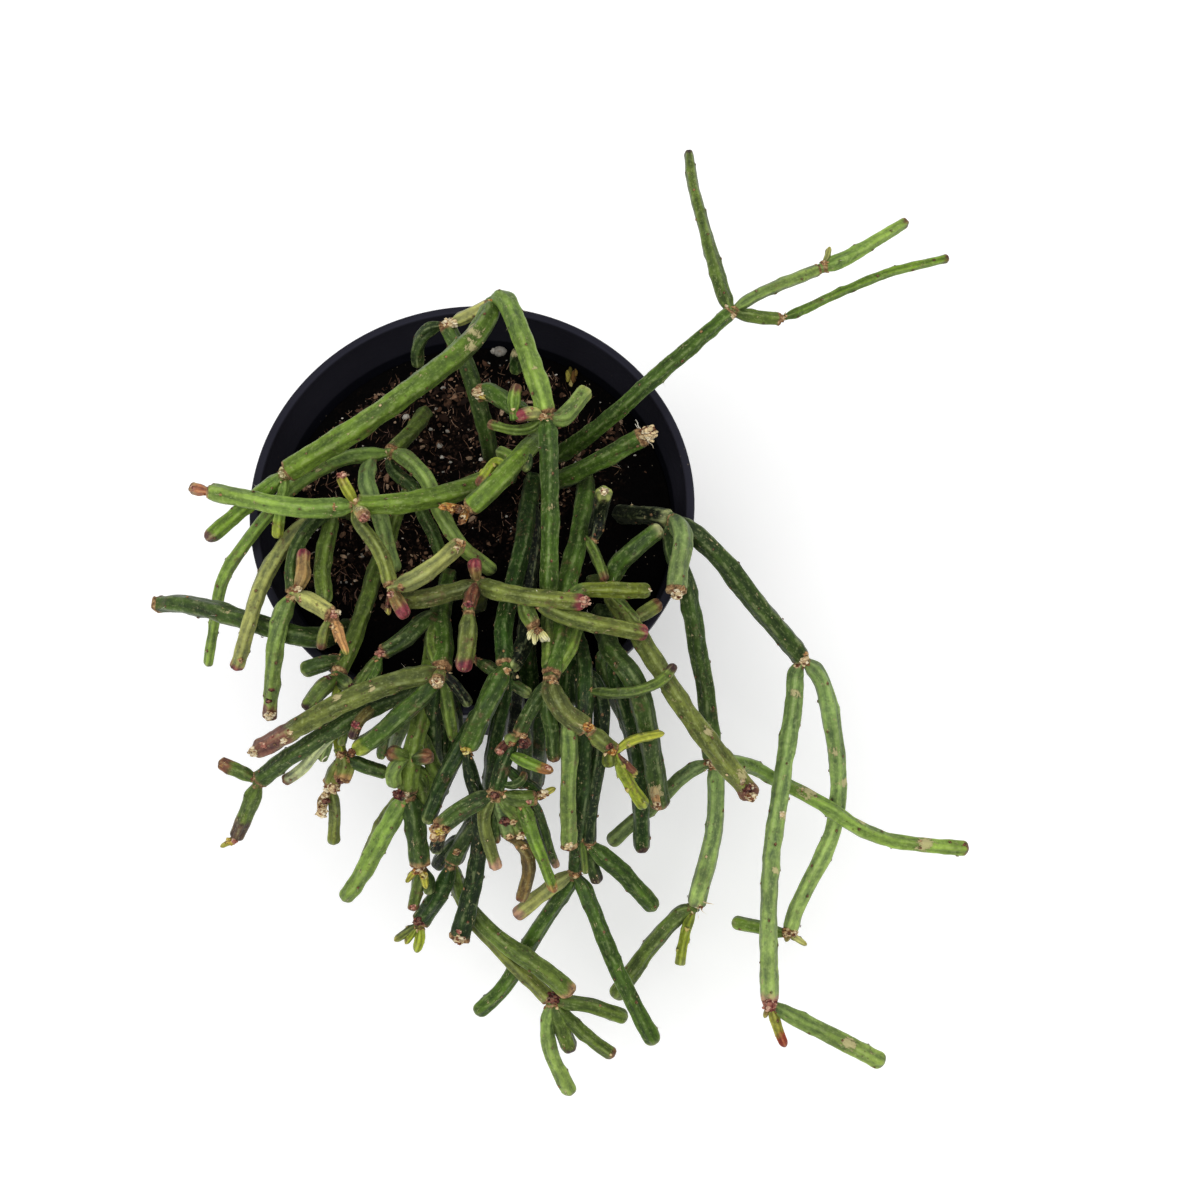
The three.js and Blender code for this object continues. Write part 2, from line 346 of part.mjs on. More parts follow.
function colouredMesh(name, geometry, color, roughness) {
  const mesh = new THREE.Mesh(geometry, new THREE.MeshStandardMaterial({ color, roughness, metalness: 0 }));
  mesh.name = name;
  return mesh;
}

function solidOf(geometry) {
  geometry.deleteAttribute("normal");
  geometry.deleteAttribute("uv");
  const merged = mergeVertices(geometry, 1e-4);
  const vertProperties = merged.attributes.position.array;
  return new wasm.Manifold(new wasm.Mesh({ numProp: 3, vertProperties, triVerts: merged.index.array }));
}

function geometryOf(solid) {
  const { vertProperties, triVerts } = solid.getMesh();
  const geometry = new THREE.BufferGeometry();
  geometry.setAttribute("position", new THREE.BufferAttribute(vertProperties, 3));
  geometry.setIndex(new THREE.BufferAttribute(triVerts, 1));
  return geometry;
}

const joined = (solids) => solids.reduce((whole, piece) => whole.add(piece));

// The outer skin alone: joined limbs can shut in a speck of air between them.
function withoutVoids(solid) {
  return solid.decompose().reduce((most, one) => (one.volume() > most.volume() ? one : most));
}

// A turned shape from [radius, height] points that run from the axis, round the outside, back to the axis.
function turned(profile) {
  const points = profile.map(([radius, height]) => new THREE.Vector2(radius, height));
  return new THREE.LatheGeometry(points, POT_SIDES).rotateX(Math.PI / 2);
}

const BAND_BOTTOM = POT_HEIGHT - RIM_BAND;
const MOUTH_RADIUS = RIM_RADIUS - RIM_WIDTH;
const WALL_TOP_RADIUS = MOUTH_RADIUS + RIM_WIDTH - BAND_STEP;

// Inner radius of the pot's wall at a height.
function boreRadius(height) {
  const outer = FOOT_RADIUS + ((WALL_TOP_RADIUS - FOOT_RADIUS) * height) / POT_HEIGHT;
  return Math.min(outer - WALL, MOUTH_RADIUS);
}

function potSolid() {
  const shell = solidOf(
    turned([
      [0, 0],
      [FOOT_RADIUS - HEEL, 0],
      [FOOT_RADIUS, HEEL],
      [boreRadius(BAND_BOTTOM) + WALL, BAND_BOTTOM],
      [RIM_RADIUS - RIM_EDGE, BAND_BOTTOM + RIM_EDGE],
      [RIM_RADIUS, POT_HEIGHT - RIM_EDGE],
      [RIM_RADIUS - RIM_EDGE, POT_HEIGHT],
      [MOUTH_RADIUS, POT_HEIGHT],
      [boreRadius(BAND_BOTTOM), BAND_BOTTOM],
      [boreRadius(FLOOR), FLOOR],
      [0, FLOOR],
    ]),
  );
  const drains = Array.from({ length: DRAIN.count }, (_, k) => {
    const turn = ((k + 0.5) * 2 * Math.PI) / DRAIN.count;
    const hole = new THREE.CylinderGeometry(DRAIN.radius, DRAIN.radius, 4 * FLOOR, 8).rotateX(Math.PI / 2);
    return solidOf(hole.translate(DRAIN.ringRadius * Math.cos(turn), DRAIN.ringRadius * Math.sin(turn), 0));
  });
  return shell.subtract(joined(drains));
}

// Height of the soil's surface over its mean level: two crossed waves, one of them bent.
function soilRelief(x, y) {
  const bent = Math.sin(x / 5.1 + 1.3 * Math.sin(y / 7.3));
  const slanting = Math.sin(y / 4.3 + x / 9.7);
  return (SOIL_RELIEF * (bent + slanting)) / 2;
}

// A small generator of seeded random numbers from 0 to 1.
function seeded(seed) {
  let state = seed;
  return () => {
    state = (state * 16807) % 2147483647;
    return state / 2147483647;
  };
}

function soilGrain(random) {
  const turn = 2 * Math.PI * random();
  const out = GRAINS.inner + (GRAINS.outer - GRAINS.inner) * random();
  const size = GRAINS.smallest + (GRAINS.largest - GRAINS.smallest) * random();
  const [x, y] = [out * Math.cos(turn), out * Math.sin(turn)];
  const grain = new THREE.IcosahedronGeometry(size, 0).scale(1.2, 0.9, 0.75).rotateZ(turn);
  return solidOf(grain.translate(x, y, SOIL_LEVEL + soilRelief(x, y)));
}

function soilSolid(holes) {
  const bottom = FLOOR + GAP;
  const edge = boreRadius(SOIL_LEVEL) - GAP;
  const top = Array.from({ length: SOIL_RINGS + 1 }, (_, k) => [edge * (1 - k / SOIL_RINGS), SOIL_LEVEL]);
  const body = turned([[0, bottom], [boreRadius(bottom) - GAP, bottom], ...top]);
  const at = body.attributes.position;
  for (let i = 0; i < at.count; i++) {
    const [x, y] = [at.getX(i), at.getY(i)];
    const onTop = at.getZ(i) > bottom + 1 && Math.hypot(x, y) < edge - 1;
    if (onTop) at.setZ(i, SOIL_LEVEL + soilRelief(x, y));
  }
  const random = seeded(GRAINS.seed);
  const grains = Array.from({ length: GRAINS.count }, () => soilGrain(random));
  return joined([solidOf(body), ...grains]).subtract(joined(holes));
}

// How much wider a thing at a height is than it looks against the level of the rim.
const widening = (height) => (EYE.z - height) / (EYE.z - POT_HEIGHT);

function placed(spot) {
  const wider = widening(spot.z);
  return new THREE.Vector3(EYE.x + (spot.x - EYE.x) * wider, EYE.y + (spot.y - EYE.y) * wider, spot.z);
}

function between(a, slopeA, b, slopeB, length, t) {
  const s = 1 - t;
  const spot = a.clone().multiplyScalar(s * s * (1 + 2 * t));
  spot.addScaledVector(b, t * t * (1 + 2 * s));
  return spot.addScaledVector(slopeA, length * t * s * s).addScaledVector(slopeB, -length * s * t * t);
}

// The smooth way through a row of points: at each point it runs as the line between the point's neighbours.
function smoothWay(points) {
  const slopes = points.map((at, i) => {
    const before = points[Math.max(i - 1, 0)];
    const after = points[Math.min(i + 1, points.length - 1)];
    return after.clone().sub(before).divideScalar(after.distanceTo(at) + at.distanceTo(before));
  });
  const way = [points[0].clone()];
  for (let i = 1; i < points.length; i++) {
    const length = points[i - 1].distanceTo(points[i]);
    const steps = Math.max(1, Math.round(length / STATION_SPACING));
    for (let k = 1; k <= steps; k++)
      way.push(between(points[i - 1], slopes[i - 1], points[i], slopes[i], length, k / steps));
  }
  return way;
}

function laidOutStems() {
  const stems = [];
  for (const [spray, rows] of Object.entries(SPRAYS)) {
    const ends = new Map();
    for (const [code, footWidth, tipWidth, tip, ...route] of rows) {
      const points = route.map((point) => new THREE.Vector3(...point));
      const rooted = points[0].z === SOIL_LEVEL;
      const growsOn = /[a-z]$/.test(code);
      if (growsOn) points.unshift(ends.get(code.slice(0, -1)));
      ends.set(code, points.at(-1));
      stems.push({ spray, code, footWidth, tipWidth, tip, rooted, way: smoothWay(points) });
    }
  }
  return stems;
}

// The heights over and under a spot, at a distance in view, at which another stem is clear of it.
function clearHeights(spot, other) {
  const reach = spot.half + other.half + CLEARANCE;
  const [x, y] = [spot.at.x - other.at.x, spot.at.y - other.at.y];
  const slantX = (EYE.x - spot.at.x) / (EYE.z - POT_HEIGHT);
  const slantY = (EYE.y - spot.at.y) / (EYE.z - POT_HEIGHT);
  const a = 1 + slantX * slantX + slantY * slantY;
  const b = x * slantX + y * slantY;
  const root = Math.sqrt(b * b - a * (x * x + y * y - reach * reach));
  return root > 0 ? { over: (root - b) / a, under: (-root - b) / a } : null;
}

// Every two spots of different sprays that are seen closer than their widths, and which stem passes over.
function crossings(spots) {
  const pairs = [];
  const lead = new Map();
  spots.forEach((one, i) => {
    for (const two of spots.slice(i + 1)) {
      const clear = one.spray !== two.spray && clearHeights(one, two);
      if (!clear) continue;
      const stems = `${one.code}/${two.code}`;
      lead.set(stems, (lead.get(stems) ?? 0) + one.at.z - two.at.z);
      pairs.push({ one, two, stems, clear });
    }
  });
  return pairs.map((pair) => ({ ...pair, over: lead.get(pair.stems) >= 0 }));
}

// Lowest height of a stem's middle at a spot: over the soil inside the pot, over the rim at the rim.
function lowestAt({ at, half }) {
  const spot = placed(at);
  const out = Math.hypot(spot.x, spot.y);
  const reach = half + RIM_CLEARANCE;
  if (Math.abs(out - RIM_RADIUS + RIM_WIDTH / 2) < RIM_WIDTH / 2 + reach) return POT_HEIGHT + reach;
  return out < RIM_RADIUS ? SOIL_LEVEL + half + LOWEST_OVER_SOIL : 0;
}

// Every spot's own push up or down, away from what it would touch. The two sides of a crossing share the way.
function findPushes(spots, pairs) {
  for (const spot of spots) spot.push = 0;
  for (const { one, two, over, clear } of pairs) {
    const gap = one.at.z - two.at.z;
    const lack = over ? clear.over - gap : gap - clear.under;
    const side = over ? 1 : -1;
    const loose = one.loose + two.loose;
    if (lack <= 0 || loose === 0) continue;
    for (const [spot, by] of [[one, side * lack], [two, -side * lack]]) {
      const push = (by * spot.loose) / loose;
      if (Math.abs(push) > Math.abs(spot.push)) spot.push = push;
    }
  }
  for (const spot of spots) {
    const lift = lowestAt(spot) - spot.at.z;
    if (spot.loose === 1 && lift > 0) spot.push = Math.max(spot.push, lift);
  }
}

// A stem's spots, each with the foot's hold on it.
function spotsOf({ spray, code, footWidth, tipWidth, way }, foot) {
  return way.map((at, k) => {
    const width = footWidth + ((tipWidth - footWidth) * k) / (way.length - 1);
    const loose = Math.min(1, at.distanceTo(foot) / ROOT_HOLD);
    return { at, spray, code, loose, first: at.z, push: 0, half: (width / 2) * widening(at.z) };
  });
}

// The spots of a spray, each with the ones near it and how closely they move together.
function tied(own) {
  for (const spot of own) {
    const near = own.map((other) => {
      const far = Math.hypot(spot.at.x - other.at.x, spot.at.y - other.at.y);
      const [spread, even] = [SPREAD_REACH, EVEN_REACH].map((reach) => Math.exp(-((far / reach) ** 2)));
      return { other, spread, even };
    });
    spot.near = near.filter(({ spread }) => spread > LEAST_SPREAD);
    spot.nearness = spot.near.reduce((sum, { even }) => sum + even, 0);
  }
  return own;
}

// Stems of different sprays bend clear of each other along the lines of sight, so that the view of them stays.
// A push also moves what is near it in its spray, less and less with the distance. Feet stay where they are.
function settle(stems) {
  const sprays = Object.keys(SPRAYS).map((name) => {
    const own = stems.filter(({ spray }) => spray === name);
    const foot = own[0].way[0].clone();
    return tied(own.flatMap((stem) => spotsOf(stem, foot)));
  });
  const spots = sprays.flat();
  const pairs = crossings(spots);
  for (let round = 0; round < SETTLING_ROUNDS; round++) {
    findPushes(spots, pairs);
    for (const own of sprays) {
      const moves = own.map(({ near, loose }) => {
        const pulls = near.map(({ other, spread }) => other.push * spread);
        return loose * pulls.reduce((most, pull) => (Math.abs(pull) > Math.abs(most) ? pull : most), 0);
      });
      own.forEach((spot, k) => (spot.at.z += moves[k]));
      if (round >= SETTLING_ROUNDS - FINAL_ROUNDS) continue;
      const evened = own.map(({ near, nearness }) =>
        near.reduce((sum, { other, even }) => sum + even * (other.at.z - other.first), 0) / nearness,
      );
      own.forEach((spot, k) => (spot.at.z += EVENING * spot.loose * (evened[k] - spot.at.z + spot.first)));
    }
  }
}

// The line without the points that lie, within the tolerance, on the way between the ones that stay.
function thinned(line) {
  const chord = new THREE.Line3(line[0], line.at(-1));
  const nearest = new THREE.Vector3();
  const off = line.map((point) => chord.closestPointToPoint(point, true, nearest).distanceTo(point));
  const worst = off.indexOf(Math.max(...off));
  if (off[worst] < BEND_TOLERANCE) return [line[0], line.at(-1)];
  return [...thinned(line.slice(0, worst + 1)), ...thinned(line.slice(worst)).slice(1)];
}

// Splits the first and the last stretch of a line for the waist at a joint and the rounding of the tip.
function withEnds(line, waisted, tip, tipHalf) {
  const points = [...line];
  const first = points[0].distanceTo(points[1]);
  const neck = points[0].clone().lerp(points[1], WAIST_LENGTH / first);
  if (waisted && first > 2 * WAIST_LENGTH) points.splice(1, 0, neck);
  const [before, end] = points.slice(-2);
  const last = before.distanceTo(end);
  const cap = Math.min(TIP_LENGTH[tip] * tipHalf, last / 2);
  points[points.length - 1] = end.clone().lerp(before, cap / last);
  if (tip in TIP_GIRTH) points.push(end.clone().lerp(before, (LAST_RING * cap) / last));
  return { points, end };
}

// Directions of the middle line at its points.
function tangentsOf(points) {
  return points.map((_, i) => {
    const before = points[Math.max(i - 1, 0)];
    const after = points[Math.min(i + 1, points.length - 1)];
    return after.clone().sub(before).normalize();
  });
}

// The closed tube of a stem, wider by an extra all round, with a flat or pointed cap at each end. Where a stem
// grows out of a joint it has a waist.
function limbSolid(stem, extra) {
  const { tip, rooted, footWidth, tipWidth, way } = stem;
  const footHalf = (footWidth / 2) * widening(way[0].z);
  const tipHalf = (tipWidth / 2) * widening(way.at(-1).z);
  const { points, end } = withEnds(thinned(lineOf(stem)), !rooted, tip, tipHalf);
  const tangents = tangentsOf(points);
  points[0] = points[0].clone().addScaledVector(tangents[0], -extra);
  const sides = SIDES.find(({ over }) => footHalf + tipHalf > over).sides;
  const vertices = [points[0]];
  let across = SIDEWAYS.clone().cross(tangents[0]).normalize();
  points.forEach((middle, ring) => {
    const tangent = tangents[ring];
    across = across.clone().addScaledVector(tangent, -across.dot(tangent)).normalize();
    const third = tangent.clone().cross(across);
    const share = ring / (points.length - 1);
    const waist = !rooted && ring === 0 ? WAIST : 0;
    const girth = share === 1 ? (TIP_GIRTH[tip] ?? 1) : 1 - waist;
    const half = (footHalf + (tipHalf - footHalf) * share) * girth + extra;
    for (let k = 0; k < sides; k++) {
      const turn = (2 * Math.PI * k) / sides;
      const corner = middle.clone().addScaledVector(across, half * Math.cos(turn));
      vertices.push(corner.addScaledVector(third, half * Math.sin(turn)));
    }
  });
  vertices.push(end.clone().addScaledVector(tangents.at(-1), TIP_POINT[tip] * tipHalf + extra));
  const apex = vertices.length - 1;
  const corner = (ring, k) => 1 + ring * sides + (k % sides);
  const faces = [];
  for (let k = 0; k < sides; k++) {
    faces.push(0, corner(0, k + 1), corner(0, k));
    faces.push(apex, corner(points.length - 1, k), corner(points.length - 1, k + 1));
    for (let ring = 1; ring < points.length; ring++) {
      faces.push(corner(ring - 1, k), corner(ring - 1, k + 1), corner(ring, k + 1));
      faces.push(corner(ring - 1, k), corner(ring, k + 1), corner(ring, k));
    }
  }
  const geometry = new THREE.BufferGeometry().setFromPoints(vertices);
  return solidOf(geometry.setIndex(faces));
}

// The line of a stem in space: a rooted one goes straight down in the soil, a branch starts inside its parent.
function lineOf({ way, rooted }) {
  const line = way.map(placed);
  if (rooted) {
    const foot = line[0].clone().setZ(SOIL_LEVEL - FOOT_DEPTH);
    return [foot, line[0].clone().setZ(SOIL_LEVEL - FOOT_DEPTH / 2), ...line];
  }
  const back = line[0].clone().sub(line[1]).setLength(SINK);
  return [line[0].clone().add(back), ...line];
}

const stems = laidOutStems();
settle(stems);

const root = new THREE.Group();
root.name = "potted_mistletoe_cactus";
root.add(colouredMesh("pot", geometryOf(potSolid()), POT_COLOUR, 0.45));
const holes = stems.filter(({ rooted }) => rooted).map((stem) => limbSolid(stem, GAP));
root.add(colouredMesh("soil", geometryOf(soilSolid(holes)), SOIL_COLOUR, 0.95));
for (const [name, colour] of Object.entries(STEM_COLOURS)) {
  const limbs = stems.filter(({ spray }) => spray === name).map((stem) => limbSolid(stem, 0));
  root.add(colouredMesh(name, geometryOf(withoutVoids(joined(limbs))), colour, 0.5));
}

export default root;
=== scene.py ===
"""A mistletoe cactus in a black nursery pot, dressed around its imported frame.

The plant is laid out in millimetres, by the same points and the same settling as its solids, and then gets
its fine skin. Meshes are made in metres, +Z up, with the origin in the middle of the pot's foot.
"""

import json
import logging
import math
from collections.abc import Sequence
from dataclasses import dataclass, field
from enum import Enum
from typing import Any

import bpy
import numpy as np
from numpy.typing import NDArray
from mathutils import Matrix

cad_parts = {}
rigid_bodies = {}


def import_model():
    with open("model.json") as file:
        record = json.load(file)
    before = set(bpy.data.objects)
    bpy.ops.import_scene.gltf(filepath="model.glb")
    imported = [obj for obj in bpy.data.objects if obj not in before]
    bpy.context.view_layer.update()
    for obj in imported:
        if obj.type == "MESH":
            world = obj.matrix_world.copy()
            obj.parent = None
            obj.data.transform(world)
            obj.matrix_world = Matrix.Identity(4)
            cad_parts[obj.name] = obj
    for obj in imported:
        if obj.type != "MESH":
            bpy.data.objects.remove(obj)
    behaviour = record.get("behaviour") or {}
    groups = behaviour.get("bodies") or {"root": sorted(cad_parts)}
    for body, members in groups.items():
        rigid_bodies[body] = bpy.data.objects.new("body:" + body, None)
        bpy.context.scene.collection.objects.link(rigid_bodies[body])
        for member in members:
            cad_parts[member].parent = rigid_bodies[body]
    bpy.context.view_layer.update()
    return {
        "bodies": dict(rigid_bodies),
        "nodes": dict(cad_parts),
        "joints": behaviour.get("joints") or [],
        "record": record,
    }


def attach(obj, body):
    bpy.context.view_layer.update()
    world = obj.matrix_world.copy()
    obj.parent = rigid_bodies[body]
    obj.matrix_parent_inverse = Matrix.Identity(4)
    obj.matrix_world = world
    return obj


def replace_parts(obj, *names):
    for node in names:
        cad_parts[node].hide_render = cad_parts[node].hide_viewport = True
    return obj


LOG = logging.getLogger("potted_cactus")
MM = 0.001
LOOKS = 4  # How many values of a stem's row say how it looks, between its code and its points.

Floats = NDArray[np.float64]
Ints = NDArray[np.int64]
Colour = tuple[float, float, float]
Layers = tuple[tuple[float, float, int], ...]
Palette = tuple[tuple[float, Colour], ...]

# Every stem: its code, its width at the foot and at the tip, how it ends, its colour, and the points that it
# runs through as [right, away, height], seen from the viewpoint against the level of the rim. A stem whose
# code ends in a small letter grows on from the end of the stem named by the code without it. Where the code
# ends in a digit, it starts at its own first point, on a stem of its spray. A first point at the soil's level
# is rooted.
SPRAYS: dict[str, list[tuple]] = {
    "left_front_spray": [
        ("U", 4.2, 3.8, "joint", "mid", [-20, -13, 75], [-22, -17, 82], [-24.5, -27, 89], [-27.5, -38, 92],
         [-30, -44.5, 94]),
        ("U1", 3.9, 3.7, "round", "dark", [-29.5, -40.5, 94], [-34, -41.8, 96], [-38.5, -43.6, 95]),
        ("Ub", 4.4, 3.8, "purple", "mid", [-31.5, -45.8, 95], [-34, -48.5, 96], [-37, -52.8, 94]),
        ("Uc", 4, 3.6, "round", "dark", [-28.5, -46.5, 95], [-26.6, -47.5, 95]),
        ("Ud", 2.3, 2.6, "joint", "lime", [-29.9, -49, 93], [-29.6, -55, 92], [-29, -60.5, 90],
         [-27.9, -64, 89]),
        ("Uda", 3.4, 4, "cork", "olive", [-29, -67, 87], [-30, -71, 84]),
        ("Udaa", 2.6, 2.2, "cork", "pink", [-31.4, -74, 81], [-31.6, -77.6, 79]),
        ("Udab", 2.8, 2.5, "round", "olive", [-28.8, -76, 78], [-28.6, -84, 71]),
        ("Udb", 3.6, 3.2, "round", "dark", [-22.5, -66.4, 88], [-17.2, -68, 86]),
    ],
    "left_fork_spray": [
        ("P", 4, 3.8, "joint", "mid", [-12.5, 23, 75], [-14, 20.5, 83], [-18, 15.3, 91], [-20.5, 12.5, 94]),
        ("Pa", 3.8, 2.3, "round", "bright", [-24, 12, 95.5], [-30, 11.5, 97], [-38, 8, 97], [-44, 3, 95.5],
         [-50, -5, 93.5], [-55, -13, 89.5], [-58.5, -20, 84], [-59.5, -28, 77], [-60.3, -42.3, 64]),
        ("P1", 4, 3.6, "round", "mist", [-24.5, 11.8, 95.5], [-26.3, 6, 96], [-24.5, 1, 95.5],
         [-22, -5, 94], [-20, -12, 92], [-17.5, -19, 89]),
        ("Pc", 4, 3.4, "round", "grey", [-17, 11.3, 95], [-11, 5, 95], [-8, -3, 94], [-5, -8, 93],
         [-2.5, -12, 91], [1, -15, 88], [6, -19, 85]),
        ("Pd", 3, 3.2, "round", "dark", [-21, 9.5, 92], [-18, 6, 91], [-14, 3, 91], [-12, -4, 90],
         [-9, -9, 89], [-6.5, -16, 86]),
        ("P2", 3, 2.8, "round", "mid", [-15.5, 4, 90.5], [-18, -4, 88], [-19.5, -12, 84]),
    ],
    "left_low_stem": [
        ("Q", 5, 4.2, "cut", "dark", [-28, -33, 75], [-33, -35, 85], [-39, -35.4, 92.5], [-45, -33.5, 94],
         [-52, -31.3, 94], [-60, -28.8, 91], [-68, -27, 86], [-73.5, -27, 82]),
    ],
    "left_hanging_spray": [
        ("O", 4, 3.8, "joint", "mid", [-28, -4, 75], [-29.8, -3.2, 86], [-33.5, -2.5, 94]),
        ("Oa", 4, 3.2, "magenta", "straw", [-37.5, -5, 96], [-42, -8, 97], [-46, -14, 97], [-49.5, -22, 97],
         [-51.3, -30, 98], [-52.6, -38, 93], [-53.5, -43, 88]),
        ("Ob", 3.4, 3.4, "joint", "dark", [-38, -6, 98], [-41.5, -12, 100], [-42.5, -18, 100],
         [-41.5, -24.5, 99]),
        ("Oba", 4.4, 3.3, "rust", "grey", [-43.3, -27, 98], [-44.6, -32, 98], [-45, -40, 95],
         [-45, -48, 89], [-45, -55, 82]),
        ("Obb", 3.6, 3.2, "magenta", "pink", [-40, -22, 101], [-40, -13, 103]),
        ("Obc", 4.2, 4, "joint", "pale", [-39, -25.5, 100], [-34, -28.5, 101], [-31.8, -30, 101]),
        ("Obca", 3.5, 1.6, "bud", "flake", [-31, -33, 101], [-29.5, -36, 100], [-28, -39.7, 99]),
        ("Obcb", 2.9, 2.4, "brown", "olive", [-33.6, -32, 100], [-34.3, -38.4, 98]),
        ("Oc", 4.2, 3.8, "round", "mid", [-34, -7, 94], [-34.8, -12, 96], [-35.3, -18, 97], [-34, -27, 99]),
    ],
    "right_trailing_spray": [
        ("Y", 4.6, 4.5, "ashen", "shadow", [36, -4, 75], [40, -4, 85], [44, -4.2, 92], [48, -5, 95]),
        ("Ya", 4.8, 4.6, "cut", "sage", [50.2, -7, 98], [51, -12, 100], [49.8, -17, 100.5], [49, -24, 100]),
        ("Yb", 5, 4.8, "joint", "dark", [53, -8.5, 94], [60, -15.5, 90], [68, -27, 82], [75, -36, 75],
         [78.3, -40.8, 71]),
        ("Yba", 3.9, 3.9, "papery", "mist", [76.4, -44, 69], [76, -50, 67], [73.7, -62, 64],
         [71.2, -76, 60], [69.5, -85, 57], [68, -100, 51], [67.5, -118.5, 44]),
        ("Ybaa", 2.8, 1.8, "ruby", "yellow", [68.5, -121.5, 43], [69.4, -125, 42], [70.6, -127.6, 41]),
        ("Ybab", 3.4, 3.6, "round", "grey", [71.5, -120.8, 43], [76, -123, 42], [83, -126.5, 40],
         [91.5, -130.8, 38]),
        ("Ybac", 1.6, 1, "bud", "brown", [66.3, -121.6, 43]),
        ("Ybb", 4.2, 3.5, "joint", "mist", [80.7, -42.7, 70], [83, -48, 67], [84.6, -60, 60], [85, -70, 54],
         [83.5, -80, 49.5], [80, -88, 46], [75, -97, 43], [72.4, -103.6, 41]),
        ("Ybba", 2.8, 3, "round", "fresh", [70, -103.6, 40.5], [66, -102.4, 40], [59.9, -101.2, 39]),
        ("Ybbb", 1.8, 1, "bud", "pale", [74.5, -105.2, 41], [76.2, -106.2, 41]),
        ("Ybbc", 1.6, 1.2, "bud", "brown", [71.6, -105.5, 41]),
        ("Yc", 4.4, 4.2, "joint", "dark", [48, -9, 93], [48.8, -15, 95], [51, -20, 94], [52.5, -28, 88],
         [53.8, -38, 81], [55.4, -48, 75], [56.4, -58, 71], [56.8, -65.3, 68]),
        ("Yca", 4, 4, "ashen", "mist", [57.3, -69, 66], [57, -78, 62], [55.5, -86, 58], [53.3, -93, 54],
         [52, -98, 52]),
        ("Ycaa", 3.6, 3.8, "round", "mid", [49.5, -98.8, 50], [45, -103, 48], [40, -109, 45],
         [34, -117.5, 42]),
        ("Ycab", 2.2, 2.3, "blunt", "lime", [50.4, -101, 50], [49.2, -105, 48], [48.4, -110.5, 46]),
        ("Ycb", 3.2, 3.3, "round", "sage", [54, -66, 67], [49, -69.2, 66], [44, -74.5, 64], [38, -79.5, 62],
         [33, -84, 60]),
        ("Ycc", 3.4, 3.2, "brown", "bright", [60.5, -65.2, 66], [65, -66, 60], [70, -68.8, 54],
         [76, -72, 54], [82, -75.6, 57], [88, -79.9, 56], [95, -83, 52], [104, -84.3, 49], [113, -85, 46]),
    ],
    "front_right_arch": [
        ("K", 5, 4.6, "brown", "dark", [31.5, -29.5, 75], [32.5, -34, 85], [33.8, -39.2, 92.5],
         [37, -43, 95], [40, -49, 94], [42, -58, 88], [43.2, -66, 80], [44.6, -75.6, 71]),
        ("K1", 3.6, 3.8, "purple", "deep", [33.8, -39.2, 92.5], [35, -47, 91], [37, -54, 87], [39, -62, 80],
         [40, -70, 74], [40.3, -78, 68], [40.3, -85.8, 62]),
    ],
    "front_right_spray": [
        ("F", 4.4, 3.4, "joint", "deep", [22.5, -29, 75], [26, -37, 88], [27.6, -46, 94], [27.3, -54, 94],
         [27.3, -62, 91], [27, -72, 83], [26, -84, 70], [25.4, -90.3, 64]),
        ("Fa", 3.4, 3.3, "blush", "straw", [23, -91.5, 64], [20, -93.8, 63], [16, -97, 61],
         [12.3, -100, 59]),
        ("Fb", 3.8, 3.4, "round", "green", [24, -92.8, 61], [20, -99, 57], [15, -107, 52],
         [12.5, -111.5, 49], [9.6, -116, 46], [4.2, -120.6, 43]),
        ("Fc", 3.4, 3.6, "round", "green", [26.8, -92.8, 63], [30, -100, 61], [34, -110, 58],
         [38, -118, 55], [42.8, -127, 51]),
        ("F1", 1.8, 1.6, "round", "mid", [26.6, -82, 73], [27.4, -86, 71], [27.8, -90.6, 67]),
        ("F2", 4, 3.2, "joint", "night", [27.4, -42.5, 92], [31.2, -50, 92], [31.3, -60, 90],
         [30.3, -67, 86], [29, -76, 78], [28.4, -84, 71]),
        ("F2a", 4.2, 4, "round", "green", [31.5, -86.5, 70], [35, -89.5, 67], [40, -94.7, 62],
         [43.1, -98.4, 58]),
        ("F2b", 3.2, 2.8, "purple", "dark", [29, -88, 68], [30.5, -92.6, 64]),
        ("F3", 2.6, 2.3, "purple", "mid", [27.8, -48.5, 95], [36, -49, 98], [41, -48, 98], [45.5, -46, 97],
         [48.4, -42, 96]),
    ],
    "right_forked_spray": [
        ("X", 4.4, 4, "joint", "mid", [29.5, -21.5, 75], [30.6, -22.3, 84], [32.3, -23.5, 90]),
        ("Xa", 4.4, 4.2, "sallow", "green", [33.6, -20.5, 92], [35, -17.3, 94], [40, -12.3, 98],
         [45.8, -7.3, 100]),
        ("Xb", 4, 4.8, "rust", "olive", [34.7, -27, 93], [38, -31.5, 95], [43, -40, 97], [46.5, -46, 96],
         [50, -52, 92], [55.5, -60, 86], [60, -66, 80], [63, -69.7, 76], [65.3, -73.2, 72]),
        ("Xc", 2.6, 2.4, "round", "mid", [36, -27, 95], [40, -31.8, 96]),
        ("X1", 3.6, 3.6, "brown", "olive", [38, -31.5, 95], [41.5, -29.3, 94.5], [45.3, -26.6, 94]),
    ],
    "front_low_spray": [
        ("L", 4, 4.4, "joint", "mid", [-7, -28, 75], [-8, -36, 86], [-9, -46, 92.5], [-10.3, -55, 91.5],
         [-12, -64, 88], [-12.5, -72.5, 83]),
        ("La", 4.6, 3.7, "round", "bright", [-15, -77, 80], [-18.3, -83.5, 75], [-22, -91, 69],
         [-25.5, -96.4, 64]),
        ("Lb", 3.4, 2.6, "brown", "olive", [-16, -76, 79], [-18.8, -81.5, 75], [-21.3, -87.8, 70]),
        ("Lc", 4.8, 4.5, "cork", "dark", [-10.9, -77, 80], [-10, -82.5, 76], [-8.7, -89, 71]),
